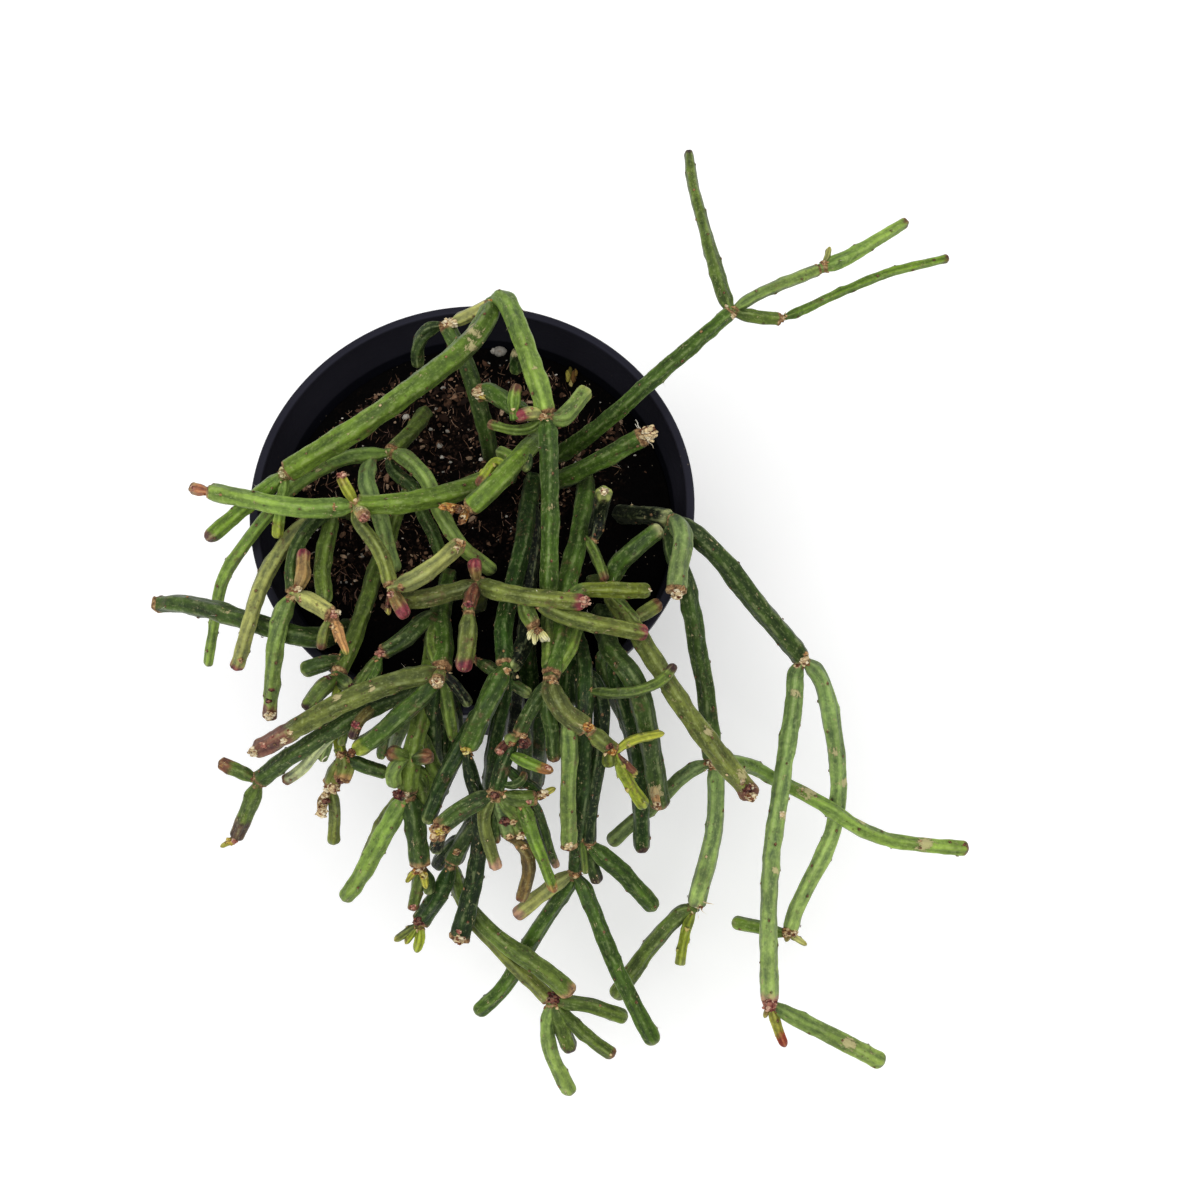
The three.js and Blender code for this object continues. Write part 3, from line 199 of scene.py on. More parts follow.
        ("Lca", 1.9, 1, "bud", "yellow", [-10.6, -90.5, 71], [-12, -92.6, 70]),
        ("Lcb", 2.2, 1.3, "bud", "yellow", [-8.2, -91.5, 70], [-7.4, -94, 69]),
        ("Lcc", 2.8, 2.7, "brown", "mid", [-9.4, -93.5, 67], [-10.3, -98.6, 63]),
        ("Ld", 2.4, 2.2, "purple", "dark", [-14.6, -73.3, 86]),
        ("L1", 4, 3.4, "brown", "mid", [-12, -64, 88], [-15, -63.7, 91], [-17.6, -62.8, 92]),
        ("L2", 3.8, 3.2, "brown", "dark", [-12, -64.3, 88], [-9.5, -64.4, 91], [-7.2, -63.8, 92]),
        ("L3", 3.4, 3.4, "round", "grey", [-12, -64, 88], [-15.8, -66, 90], [-15.4, -71, 86]),
    ],
    "front_left_fan": [
        ("Z", 4, 4.8, "joint", "green", [-5, -20, 75], [-6.5, -30, 88], [-5.5, -38, 95], [-6, -43.5, 99]),
        ("Za", 4.8, 4.6, "plum", "olive", [-11, -44.7, 101], [-20, -47.3, 103], [-30, -52, 101],
         [-38, -57, 97], [-47.5, -62.8, 90]),
        ("Zb", 4.2, 4.2, "joint", "dark", [-12, -47.7, 95], [-20, -51.7, 95], [-27, -55.5, 94],
         [-34, -60, 91], [-40.5, -64.5, 87], [-46.3, -69.7, 82]),
        ("Zba", 3.2, 3.1, "rust", "mid", [-51, -67.3, 81], [-55.6, -65.4, 80]),
        ("Zbb", 3.8, 3.5, "dusk", "mid", [-48, -75.5, 77], [-50.5, -82.8, 70]),
        ("Zbba", 1.9, 1, "bud", "yellow", [-52.5, -84, 69], [-53.8, -84.7, 69]),
        ("Zc", 4.8, 4, "lime", "green", [-10.5, -50, 98], [-15, -54.2, 99], [-20, -59, 96],
         [-25, -62.6, 92]),
        ("Z1", 3.4, 2.2, "purple", "dusk", [-20, -51.7, 95], [-24.3, -55, 97], [-25.8, -60, 95]),
        ("Z2", 2.8, 2.4, "brown", "silver", [-28.5, -56.5, 94], [-33, -61.8, 90], [-37, -67.3, 84],
         [-40.6, -69.7, 81]),
        ("Zf", 3.6, 3, "round", "mid", [-4.8, -48, 95], [-3.2, -56, 91], [-2.3, -60, 87]),
        ("Zg", 2.8, 2.6, "round", "shadow", [-2.6, -46.8, 97], [1, -52, 94]),
        ("Zh", 3.6, 3.4, "cut", "olive", [-6.8, -46.3, 104]),
        ("Z3", 4.2, 3.8, "joint", "dark", [-6.5, -30, 88], [-11, -31.7, 93], [-15, -36, 95],
         [-20.3, -39.2, 95]),
        ("Z3a", 2.4, 2, "round", "mid", [-22.5, -42.5, 95], [-25.5, -47.5, 94], [-27, -56, 92],
         [-28.3, -61.5, 90]),
        ("Z3b", 2.6, 2.4, "round", "green", [-20.6, -42, 95], [-23, -48, 94]),
        ("Z4", 2.6, 2.6, "round", "mid", [-6.5, -30, 88], [-8.8, -36, 95], [-7, -42, 98]),
    ],
    "front_centre_spray": [
        ("H", 4.4, 4.2, "joint", "deep", [14.5, 5, 75], [13.3, -5, 87], [12, -14, 92], [10, -24, 95],
         [8.3, -33, 98], [9, -42.5, 100]),
        ("H1", 3.6, 4.2, "round", "shadow", [14, 0, 81], [15.2, -7, 86], [14.5, -16, 90], [13.5, -27, 92],
         [13.5, -36, 96], [9.8, -43.5, 100]),
        ("Ha", 5, 4.6, "joint", "green", [6.5, -48.5, 101], [3, -56, 98], [0.6, -62.3, 94]),
        ("Haa", 3.2, 4.4, "cut", "night", [1.3, -67, 91], [3.5, -74, 86], [4.3, -80, 81], [3.8, -87, 75],
         [2.3, -96, 68], [0.5, -104.7, 61]),
        ("H2", 4.2, 3.6, "round", "deep", [4.7, -52, 99], [1, -58, 92.5], [-3, -66, 90], [-5.8, -73, 87],
         [-8, -79.5, 84]),
        ("H3", 3.8, 4.2, "joint", "dark", [4, -77, 83.5], [1, -82, 77], [-2, -88, 71]),
        ("H3a", 3, 4.2, "tan", "mid", [0, -94, 64], [3.5, -99.8, 60], [10, -105.7, 58], [16, -109.6, 56],
         [21, -113, 54], [25, -116.6, 52]),
        ("H3b", 3, 3.4, "joint", "olive", [0.2, -96, 60], [4.8, -102.6, 57], [10, -108, 54],
         [15, -112.8, 51], [20.5, -117.8, 49]),
        ("H3ba", 3.4, 3.2, "round", "mid", [24, -118.3, 49], [29, -119, 47], [33, -120.4, 45],
         [36.8, -121.6, 43]),
        ("H3bb", 3.2, 3.1, "round", "grey", [19.6, -123, 46], [20.6, -129, 41], [23, -133.5, 38],
         [25, -137, 35]),
        ("H3bc", 3.6, 3.5, "purple", "mid", [22.4, -122.5, 46], [24.9, -128.4, 41]),
        ("H3bd", 3, 2.9, "brown", "mid", [25, -122.6, 46], [29, -125.8, 43], [34, -129.3, 40]),
        ("H3c", 4, 4.2, "joint", "deep", [-3.4, -93, 68], [-5.7, -97, 64], [-8.5, -101.3, 60]),
        ("H3ca", 2.2, 1.5, "bud", "olive", [-11, -103.3, 59], [-14, -105.3, 58]),
        ("H3cb", 1.7, 1.2, "bud", "lime", [-10.3, -104, 59], [-11.5, -106, 58]),
        ("H3cc", 2.6, 2.1, "bud", "lime", [-8.2, -104.5, 58], [-9.1, -107.8, 56]),
        ("H4", 3.6, 3.4, "round", "night", [1, -82, 77], [-3.2, -85.6, 71], [-5.2, -89, 65]),
        ("H5", 2.8, 2.6, "round", "dark", [1.5, -40.7, 95], [8, -44.6, 97], [11.5, -47.3, 97],
         [15, -49.5, 97]),
    ],
    "centre_spray": [
        ("W", 4.6, 4.8, "joint", "green", [27.5, 5, 75], [27.3, -1, 85], [26, -9, 91], [24.5, -16.5, 93],
         [22.8, -24, 94.5], [22.5, -31, 96], [21.3, -38, 98], [19.5, -45, 100]),
        ("W1", 2.8, 3, "round", "mid", [22.7, -25, 94.5], [25.5, -30, 95.5], [25.6, -34, 96.5],
         [23.5, -39.5, 98], [20.5, -44, 99.5]),
        ("W2", 3.6, 3.4, "round", "mid", [22.6, -26, 95], [19, -29, 95.5], [19.2, -36, 97.5],
         [19, -43.5, 99.5]),
        ("W3", 2.6, 2.4, "brown", "mid", [26, -9, 91], [28.8, -12, 92], [30.5, -16, 93], [32.2, -21.2, 93]),
        ("W4", 3.4, 4.2, "blunt", "shadow", [28.8, -12, 92], [30.2, -8, 93], [31, -3, 96], [32, 2, 104]),
        ("Wa", 5.2, 4.8, "joint", "moss", [20, -49.5, 101], [23, -53.7, 101], [28, -57.2, 98]),
        ("Waa", 4.2, 3.8, "joint", "olive", [31, -60, 94], [34.3, -63, 91]),
        ("Waaa", 2.8, 1.6, "bud", "zest", [37, -60.7, 91], [41, -59.4, 91], [45.8, -58.5, 90]),
        ("Waab", 3.2, 2.8, "round", "lime", [36, -67, 89], [38.3, -71.5, 86], [41.2, -75.7, 82]),
        ("Waac", 2.4, 1.3, "bud", "red", [37, -66, 90], [39.5, -68.2, 89]),
        ("W5", 3.8, 3.6, "cut", "grey", [23.6, -54.3, 100.5], [24, -62, 95], [23.7, -72, 87],
         [24, -84.5, 76]),
        ("Wc", 3.4, 3.2, "joint", "dark", [17, -49.5, 99], [14.3, -54, 98], [12.3, -59.3, 96]),
        ("Wca", 3.2, 2, "brown", "wine", [9, -61.3, 95], [7.3, -63.2, 94]),
        ("Wcb", 3.2, 2.6, "brown", "wine", [15, -61.5, 96]),
        ("Wcc", 3.4, 3.6, "joint", "deep", [9.8, -63, 93], [8.4, -67.5, 91], [7.4, -72.5, 88]),
        ("W6", 3.2, 2.2, "ember", "fresh", [9.8, -63, 93], [14, -65.3, 94.5], [20.4, -67.4, 92]),
        ("Wcca", 3.8, 3.6, "joint", "mid", [12, -73.8, 88], [16.8, -73.5, 87]),
        ("Wccaa", 2, 1.3, "bud", "yellow", [19, -72.2, 88], [21, -71.3, 88]),
        ("Wccb", 4.6, 4.2, "cork", "dark", [3, -74.2, 88], [-1, -76.8, 87], [-5.2, -80.5, 85]),
        ("Wccc", 3.2, 2.9, "blush", "olive", [4.8, -77, 86], [6, -83, 81], [8, -89.5, 75]),
        ("Wccd", 3.6, 3.2, "joint", "sage", [9.5, -78, 84], [10.8, -82.6, 80]),
        ("Wccda", 3, 3, "brown", "umber", [13.6, -83.8, 78.5], [15.1, -87, 75.5], [14.9, -91.5, 71],
         [13.5, -96.5, 66]),
        ("W7", 3.6, 2.2, "ember", "fresh", [13, -73.8, 88], [14.2, -77, 86], [16.2, -82.5, 81],
         [18.5, -88, 76], [21, -94.8, 70]),
        ("W8", 2.6, 2, "blush", "dark", [15.6, -73.6, 87], [17.8, -79, 80], [20, -86, 74],
         [21.4, -89.2, 71]),
        ("Wd", 4, 3, "brown", "dark", [18.6, -51, 98], [20, -58, 96], [20.6, -65.2, 92]),
    ],
    "right_cut_stem": [
        ("C", 4.4, 4.7, "cut", "green", [21, 5, 75], [23.3, 6, 83], [30, 9.6, 90], [36, 13.2, 94],
         [41.8, 17, 97]),
    ],
    "back_right_spray": [
        ("A", 4.6, 3.6, "joint", "green", [21, 12, 75], [24, 14, 82], [33, 21.5, 93], [43, 31.5, 101],
         [55, 43, 105], [64.3, 52, 104]),
        ("Aa", 4.2, 2.4, "purple", "mid", [62, 59, 103], [60.5, 66, 102], [57.5, 80, 98], [55.5, 90, 95],
         [54.5, 100.7, 91]),
        ("Ab", 3, 3.2, "joint", "grey", [70, 56.3, 104], [75, 59, 104], [87.5, 64.6, 101]),
        ("Aba", 4, 2.9, "brown", "bright", [93, 67, 100], [100, 71.5, 98], [110.8, 78.9, 94]),
        ("Abb", 2, 1.2, "bud", "straw", [89.7, 68, 102], [90.5, 71.3, 102]),
        ("Ac", 3.2, 3.1, "joint", "mid", [70, 50.6, 102], [77, 50, 100]),
        ("Aca", 2.4, 2.3, "brown", "fresh", [83, 52.7, 98], [90, 56.5, 96], [105, 63.5, 92],
         [120.8, 67.9, 88]),
    ],
    "back_arch_spray": [
        ("B", 4.2, 4.2, "joint", "dark", [4, 12, 75], [3, 17.5, 84], [1, 25, 90], [-3, 38, 97],
         [-8, 48, 99]),
        ("Ba", 3.6, 3, "round", "dark", [-12, 47.5, 99], [-15, 42, 96], [-14.5, 36, 92]),
        ("Bb", 3, 3.4, "joint", "pale", [-3, 50.7, 101], [3.3, 54.4, 104]),
        ("Bba", 5.4, 5.6, "joint", "leaf", [2.6, 50.5, 107], [-2.5, 42.5, 111], [-14.5, 31.3, 115],
         [-30, 18.5, 114], [-45.7, 7, 107]),
        ("Bbaa", 3, 2.7, "lime", "bright", [-46, 1, 103], [-46.5, -5, 101], [-46.5, -10.3, 99]),
        ("Bbab", 4, 3.7, "mauve", "fresh", [-50.5, 2.5, 104], [-57, -4, 101], [-63.6, -10.6, 97]),
        ("Bbb", 5.2, 5, "joint", "bright", [6.5, 56, 107], [9.5, 49.5, 110], [13.5, 38, 112], [16, 30, 112],
         [17.5, 22.7, 110]),
        ("Bbba", 4.6, 4.2, "round", "green", [18.2, 15, 110], [18.7, 6, 109], [19, -5, 106.5],
         [19, -14, 103.5], [19, -24.5, 99.5]),
        ("Bbbb", 3.8, 3.2, "magenta", "pale", [13.3, 23.4, 112], [9.9, 21.9, 113]),
        ("Bbbba", 3.4, 2.8, "brown", "fresh", [9.4, 26.5, 114], [10.5, 31.4, 115]),
        ("Bbbd", 2.8, 2.2, "brown", "mid", [14, 19, 108], [9, 18.7, 108], [3.2, 20.4, 108]),
        ("Bbbe", 4.4, 4.4, "blunt", "grey", [21, 21, 108], [24.5, 25.5, 108], [27.5, 29.8, 107]),
        ("B1", 4.4, 4.4, "cut", "green", [13.3, 23.4, 112], [8.5, 25.5, 107], [4.5, 29, 105.5],
         [0.7, 29, 105]),
        ("B2", 3.4, 3, "round", "deep", [12.3, 41, 111.5], [9.8, 39.5, 106], [10, 34.3, 101]),
    ],
    "inner_joint_spray": [
        ("R", 4.6, 4.6, "joint", "olive", [2, -27, 75], [1.8, -25, 87], [2, -21.6, 98]),
        ("Ra", 4.2, 4.2, "magenta", "olive", [6, -23.6, 102], [12, -25, 104], [20, -26, 105],
         [27.6, -26.5, 104]),
        ("R1", 4.2, 3.9, "magenta", "olive", [15.5, -26.2, 104], [20, -29, 103], [27, -31.5, 102],
         [35, -33, 101], [42.2, -34.5, 99]),
        ("R2", 3.4, 3.8, "gold", "mid", [22.5, -25.7, 104.5], [25.5, -23.7, 104.5], [32, -23.4, 104],
         [43, -23.6, 102]),
        ("R3", 4.2, 3.6, "joint", "mid", [12.5, -25.2, 103.5], [14, -30, 102.5], [15.8, -33, 102.5]),
        ("R3a", 1.9, 1.2, "cream", "primrose", [13.9, -35, 102]),
        ("R3b", 1.9, 1.2, "cream", "primrose", [16, -36.6, 102]),
        ("R3c", 1.9, 1.2, "cream", "primrose", [18.5, -36.3, 103]),
        ("Rb", 4.2, 4.2, "round", "moss", [-3, -23.8, 99.5], [-10, -25.7, 100.5], [-16.5, -26.3, 98]),
        ("Rc", 3.6, 3.2, "magenta", "brown", [1.2, -18.5, 101], [1.1, -15.5, 103]),
        ("Rd", 3.4, 3.2, "joint", "red", [0.4, -25, 101], [0, -28.3, 102]),
        ("Rda", 4.6, 4.2, "magenta", "olive", [0, -33, 102], [-0.3, -39, 102], [-1, -43.8, 101.5]),
    ],
    "left_bright_spray": [
        ("M", 4.8, 5, "joint", "leaf", [8.5, 6.5, 75], [7, 6.5, 87], [3.5, 5, 97], [-3, 2.5, 103],
         [-12, -0.3, 106], [-22, -1.5, 107], [-28, -1.6, 106]),
        ("Ma", 4.8, 4.4, "joint", "bright", [-34, -2.2, 106], [-40, -2.5, 106], [-52, -0.6, 105],
         [-63.8, 2, 101]),
        ("Maa", 3.4, 2.9, "tan", "salmon", [-68.5, 3, 99]),
        ("Mb", 3.8, 3.3, "tan", "pale", [-27, -3.5, 108.5], [-25.6, -5, 110]),
        ("Mc", 3.2, 2.6, "brown", "zest", [-30, 2, 109], [-31.5, 4.5, 110], [-32.4, 6.4, 110]),
        ("Md", 3.2, 3.6, "joint", "olive", [-27.8, -5.5, 106], [-25, -9, 105.5], [-21, -15, 105],
         [-18.5, -22.8, 104]),
        ("Mda", 1.9, 1.3, "bud", "red", [-19, -26, 103.5], [-18.8, -29.8, 103]),
        ("Mdb", 3.8, 3.2, "magenta", "brown", [-16.8, -27, 105], [-14.6, -30.4, 105]),
        ("Mdc", 4.4, 3.9, "tan", "straw", [-15.5, -22.2, 106], [-10, -18.5, 107], [-5, -14, 106],
         [-2.4, -11.5, 104]),
    ],
    "top_bright_stem": [
        ("N", 4.4, 4.8, "joint", "fresh", [17, 20, 75], [17, 18.2, 88], [15.3, 15.8, 100], [10, 9.5, 109],
         [4, 2.5, 112], [-1, -2.5, 110]),
        ("Na", 2.8, 1.6, "bud", "orange", [-2.7, -6.6, 108]),
        ("Nb", 2.6, 1.6, "bud", "orange", [-4.5, -2.6, 111], [-7.5, -1.4, 112]),
        ("N1", 2.6, 2.5, "brown", "lime", [9, 8.3, 109.5], [5.3, 10.5, 109], [3.4, 7, 110],
         [1.2, 3.5, 110]),
        ("N2", 3, 2.8, "round", "mid", [10.7, 10.3, 108.5], [8, 12.2, 106], [5.8, 13, 105]),
        ("N3", 3.2, 2.4, "round", "deep", [13, 13, 105], [13.5, 9.6, 108], [12.4, 7.4, 107]),
    ],
}

# Thin stems deep in the bush and pale young teeth, as above but without a code, and with heights over the
# settled stem that each one grows on.
INNER: dict[str, list[tuple]] = {
    "front_centre_spray": [
        (3.6, 3.3, "round", "deep", (9, -44, 0), (8.7, -51, -6), (7.2, -59, -12), (6.2, -67, -20),
         (5.8, -74, -30)),
        (3.8, 3.4, "round", "shadow", (10.5, -43, 0), (11.8, -49, -8), (11.4, -55, -14),
         (10.6, -61, -22)),
        (4.4, 4.0, "round", "deep", (13.6, -33, 0), (13.9, -39, -6), (14.6, -46, -12),
         (14.8, -53, -18)),
    ],
    "front_left_fan": [
        (3.6, 3.2, "round", "deep", (-5, -44.5, 0), (-3.2, -51, -8), (-1.8, -57, -14),
         (-2.4, -64, -22)),
        (4.0, 3.5, "round", "deep", (-7.5, -46, 0), (-7.8, -54, -9), (-7.2, -61, -16),
         (-6, -68, -25)),
        (3.6, 3.0, "round", "sage", (-10, -48, 0), (-13, -54, -8), (-15.2, -59, -14),
         (-16.6, -63, -21)),
        (3.6, 3.4, "round", "deep", (-6.2, -50, -3), (-5.6, -56, -10), (-5, -62, -16),
         (-5.4, -68, -22)),
        (2.7, 2.4, "round", "dark", (-17.6, -57, -1), (-18.5, -60.5, -5), (-19, -64.4, -9)),
        (2.6, 2.3, "round", "sage", (-30.4, -58, -1), (-31.4, -61.6, -3), (-32.4, -65, -6)),
    ],
    "centre_spray": [
        (4.2, 3.4, "brown", "deep", (18.5, -47, 0), (17.4, -54, -8), (17, -60, -14), (17, -66, -24),
         (16.4, -71, -32)),
        (3.0, 2.6, "rust", "dark", (22.4, -53, -2), (22.2, -58, -9), (21.2, -64, -15)),
        (3.6, 3.2, "brown", "dark", (14.2, -57, -2), (14, -61, -8), (13.8, -66, -14),
         (13.4, -71, -20)),
        (3.2, 2.8, "round", "mid", (12.8, -58, 0), (11.2, -59.4, 0.8), (9.4, -60.8, 0.8)),
        (4.0, 3.6, "round", "deep", (21.7, -35, 0), (23.8, -41, -6), (23.2, -46, -9),
         (24.2, -52, -13)),
        (2.5, 2.2, "brown", "dark", (7.2, -74.6, -1), (7.3, -78, -4), (7.8, -83.8, -8)),
        (3.4, 3.2, "gold", "olive", (32.4, -61.4, 0), (33, -64, -0.6), (33, -66.6, -1.4)),
        (2.4, 1.6, "tan", "flake", (-5.4, -79.8, -0.2), (-6, -81.8, -0.6), (-6.4, -83.5, -1.4)),
        (2.2, 1.5, "tan", "flake", (-4.6, -79.8, 0), (-4.4, -81.6, -0.4), (-4.6, -83.5, -1.2)),
        (3.2, 3.0, "round", "shadow", (-4, -79, -3), (-5, -82.4, -5), (-5.8, -86, -8)),
        (4.4, 3.8, "brown", "mid", (8, -73, 0), (12, -77.5, -4), (13, -82, -9)),
        (2.4, 2.2, "brown", "deep", (8.8, -66, 0), (12, -69.2, -3), (15.5, -70.6, -5),
         (18, -73.5, -9)),
        (2.2, 1.8, "brown", "dark", (7.8, -70, 0), (11, -71.4, 0), (13.5, -69.6, 1), (14, -67.6, 0)),
    ],
    "front_low_spray": [
        (3.8, 3.4, "round", "mid", (-11, -58, 0), (-8.5, -63, -5), (-6, -68, -8), (-4.6, -73, -14)),
        (3.6, 3.2, "brown", "mid", (-12, -66, 0), (-9, -68.5, -4), (-6.8, -73, -8)),
        (2.9, 2.5, "round", "dark", (-8, -87.8, -1), (-7.3, -91.5, -3), (-6.8, -95.2, -5)),
        (4.0, 3.6, "round", "mid", (-11, -66, -1), (-9.8, -70, -4), (-9, -76.4, -9)),
    ],
    "inner_joint_spray": [
        (1.7, 0.8, "cream", "primrose", (15, -32.6, 0), (14.3, -34.4, 0.6), (14.2, -36, 0.2)),
        (1.7, 0.8, "cream", "primrose", (16.2, -33, 0), (17.2, -34.6, 0.8), (17.6, -36.6, 0.2)),
        (1.7, 0.8, "cream", "primrose", (15.6, -33, 0), (15.4, -35, 0.7), (15.7, -37.2, 0)),
        (1.6, 0.8, "cream", "primrose", (16.8, -33, 0), (18.2, -34.4, 0.6), (19.2, -36.4, 0)),
    ],
    "left_front_spray": [
        (4.2, 4.0, "cork", "olive", (-27.6, -62.4, -1), (-26.8, -66.2, -1.5), (-27.6, -70, -2.5)),
    ],
    "front_right_arch": [
        (4.0, 3.5, "round", "dark", (33, -36.5, 0), (31.6, -42, -3), (33.4, -48, -6),
         (36.6, -54, -11), (38.8, -60, -18)),
        (2.4, 1.5, "tan", "flake", (42.8, -69.6, 1.2), (43, -71.6, 1.5), (43.5, -74, 1.4),
         (44.4, -76.4, 1.0)),
    ],
}

# Where old joints, buds and wounds have healed into corky lumps: (right, away, width, colour), seen as above.
CALLUSES = [
    (-45, -54.2, 2.2, "cream"), (-45.2, -48.6, 1.2, "maroon"), (-46, -52, 1.1, "maroon"),
    (-45.4, -55.6, 1.4, "cream"), (43, 17.6, 4.3, "cream"), (63, 53.5, 1.7, "cream"),
    (65.5, 51, 1.6, "cream"), (-9.2, 48.8, 2.7, "cream"), (-6.9, 48.3, 2.5, "cream"),
    (3.5, 54.5, 2.2, "orange"), (0.4, 29, 3.1, "cream"), (1.2, 27.4, 1.6, "yellow"),
    (-18.8, -24.4, 2, "pink"), (-19, -28.4, 1.6, "maroon"), (-32, -29.6, 2.2, "pink"),
    (-30.6, -28.8, 1.7, "cream"), (-32.4, -34, 1.7, "tan"), (-31.8, -36, 1.5, "tan"),
    (-32, -43.6, 1.7, "maroon"), (-20.8, -39.4, 2.1, "pink"), (-25.6, -57.2, 2.2, "wine"),
    (-26.4, -47.4, 1.5, "maroon"), (-53, -83.9, 2, "yellow"), (-51.2, -84.6, 1.2, "pink"),
    (9.6, -79.2, 2.4, "maroon"), (11.2, -80, 1.5, "tan"), (-10.2, -98.4, 1.2, "pink"),
    (65.2, -73.2, 2.6, "cream"), (64.4, -71.4, 2.3, "maroon"), (63.2, -69.8, 1.6, "cream"),
    (-47.4, 6.2, 2.4, "straw"), (-45.4, 5.6, 2.4, "straw"), (-46.6, 7.8, 1.7, "straw"),
    (-46, -61.4, 1.7, "pink"), (-42.2, -61.6, 1.6, "cream"), (-40, -58.2, 1.8, "cream"),
    (-48, -62.8, 2.6, "cream"), (-44.4, -59.4, 1.5, "pink"), (-29.2, -72, 2.6, "cream"),
    (-32, -72.6, 2.3, "cream"), (-31.6, -77.4, 2.6, "cream"), (-30.8, -75.6, 1.9, "maroon"),
    (-32.4, -75.8, 1.6, "cream"), (-26.4, -63.6, 2, "brown"), (-27.4, -67.4, 1.2, "maroon"),
    (-28.8, -66.8, 1.2, "brown"), (-28.4, -70.6, 1.6, "maroon"), (-52.8, -41, 1.3, "tan"),
    (-55, -65.6, 1.4, "tan"), (-2.5, -11.6, 2.5, "tan"), (-3.4, -12.9, 1.8, "cream"),
    (20.4, -66.6, 1.4, "pink"), (-68.2, 2.8, 1.7, "pink"), (-61, 2, 1.3, "rust"), (-52.5, 1.2, 1.2, "rust"),
    (-32.4, -74.6, 1.7, "cream"), (-30, -73.4, 1.5, "maroon"), (-14.6, -72.8, 2.4, "maroon"),
    (-10.9, -72.2, 1.6, "cream"), (-10.6, -91, 1.8, "orange"), (-9.2, -90.4, 1.8, "cream"),
    (-8, -92, 1.7, "yellow"), (0.5, -62.5, 2.3, "yellow"), (-5.8, -82, 3, "tan"),
    (-5, -81.2, 1.9, "yellow"), (-6.8, -80.4, 1.7, "tan"), (-3.8, -80.6, 1.9, "brown"),
    (-6.2, -83.2, 1.7, "cream"), (-1, -85.8, 1.8, "tan"), (17, -73, 2.2, "cream"),
    (15.6, -74.6, 1.5, "pink"), (13.5, -83, 2, "cream"), (14.5, -85, 1.5, "tan"), (24, -84.5, 1.9, "cream"),
    (-8.7, -101, 2.4, "maroon"), (0.1, -105, 2.4, "cream"), (-0.6, -104.2, 1.3, "pink"),
    (28, -57, 2.6, "orange"), (34.5, -63, 2.4, "orange"), (33.4, -61.8, 1.7, "maroon"),
    (44.3, -76, 1.6, "cream"), (-26, -4.8, 2, "pink"), (-32, 6.4, 2, "pink"), (-31, 7, 1.4, "cream"),
    (-32.6, 5.8, 1, "brown"), (112.4, -84.4, 1.3, "maroon"), (102.6, -83.4, 1.1, "tan"),
    (67.2, -119.6, 1.6, "tan"), (57, -66, 2.6, "tan"), (55.8, -66.6, 1.5, "cream"),
    (66, -71.4, 1.5, "cream"), (21, -117.5, 2.8, "maroon"), (78.5, -41, 2.4, "cream"),
    (79.6, -39.8, 1.5, "tan"), (76.2, -42.6, 1.6, "cream"), (72.3, -78, 1.5, "cream"),
    (67.5, -118.8, 3, "pink"), (66.2, -119.8, 1.4, "cream"), (71.6, -103.8, 2, "tan"),
    (73.6, -103.9, 1.6, "cream"), (77, -72, 1.3, "cream"), (103, -84, 1.2, "cream"),
    (27.3, -26.3, 2.8, "pink"), (-6.8, -46.5, 2.6, "cream"), (-27.4, -2.6, 2, "straw"),
    (32, 2, 1.9, "cream"), (-2, -3, 2, "brown"), (-3, -6.5, 1.8, "brown"), (-3.8, -2.6, 1.5, "orange"),
    (-41, -24, 2, "cream"), (-40.4, -25.8, 1.5, "tan"), (-33.4, -2.2, 1.8, "tan"),
    (49.2, -24.6, 2.8, "cream"), (50.6, -23.6, 1.4, "tan"), (42.9, -23.4, 1.2, "cream"),
    (15.8, -32.6, 2, "brown"), (9.6, -29, 1.3, "cream"), (0.1, -27.2, 2, "wine"),
    (-27.9, -64.2, 1.8, "tan"), (9.4, -43.6, 2, "tan"), (20.1, -46.2, 2.3, "tan"),
    (-16.8, -23.4, 1.7, "tan"), (17.2, 21.6, 2, "tan"), (14.4, -61.6, 2.6, "maroon"),
    (13.6, -59.4, 1.6, "tan"), (12.4, -62.4, 1.4, "brown"), (7.6, -64.4, 1.6, "pink"),
    (7.2, -73.4, 2, "maroon"), (10.8, -83.4, 1.6, "tan"), (53.2, -99.2, 1.3, "cream"),
    (25.6, -91.2, 1.8, "tan"), (-6, -42.2, 1.8, "tan"), (88.4, 65.2, 1.8, "tan"), (78.4, 50.4, 1.7, "tan"),
    (29.6, -85.2, 1.6, "tan"), (-3.6, -4.6, 2, "orange"), (-7, -2, 1.4, "orange"), (-1.4, -2.6, 1.4, "tan"),
    (-2.4, -5.6, 1.3, "cream"),
]

# Pale scars on the skin: (right, away, reach), seen as above.
SCARS = [
    (-1, 46, 3.4), (-1.6, 42, 2.4), (78, -72, 3.4), (103.5, -84, 3.2), (86.4, -70, 1.8), (90, -78.6, 1.8),
    (43.3, -72, 2.6), (76, -49, 2), (72.6, -77.6, 2), (84, -126.8, 2.4), (63.2, -68.2, 2.2), (28, -57, 2),
    (84.5, -63, 1.7), (-30, -50, 1.6), (9, 40, 1.7), (14.5, 36, 1.5), (56, -58, 1.6), (-22, -48, 1.5),
    (70, -90, 1.4), (-38, 8, 1.4), (19, -2, 1.5),
]

# Fine dry threads that hang on wounds: (right, away, turn from the right in degrees, length), seen as above.
THREADS = [
    (41.2, 19.4, 118, 3.2), (41, 19, 128, 2.2), (43.4, 15.8, 285, 2.8), (53.6, -98.8, 300, 3.0),
    (54.2, -97.6, 330, 3.4), (52.6, -99.6, 280, 2.4), (16.8, -25, 130, 2.2), (-29.6, -64.8, 250, 2.4),
]


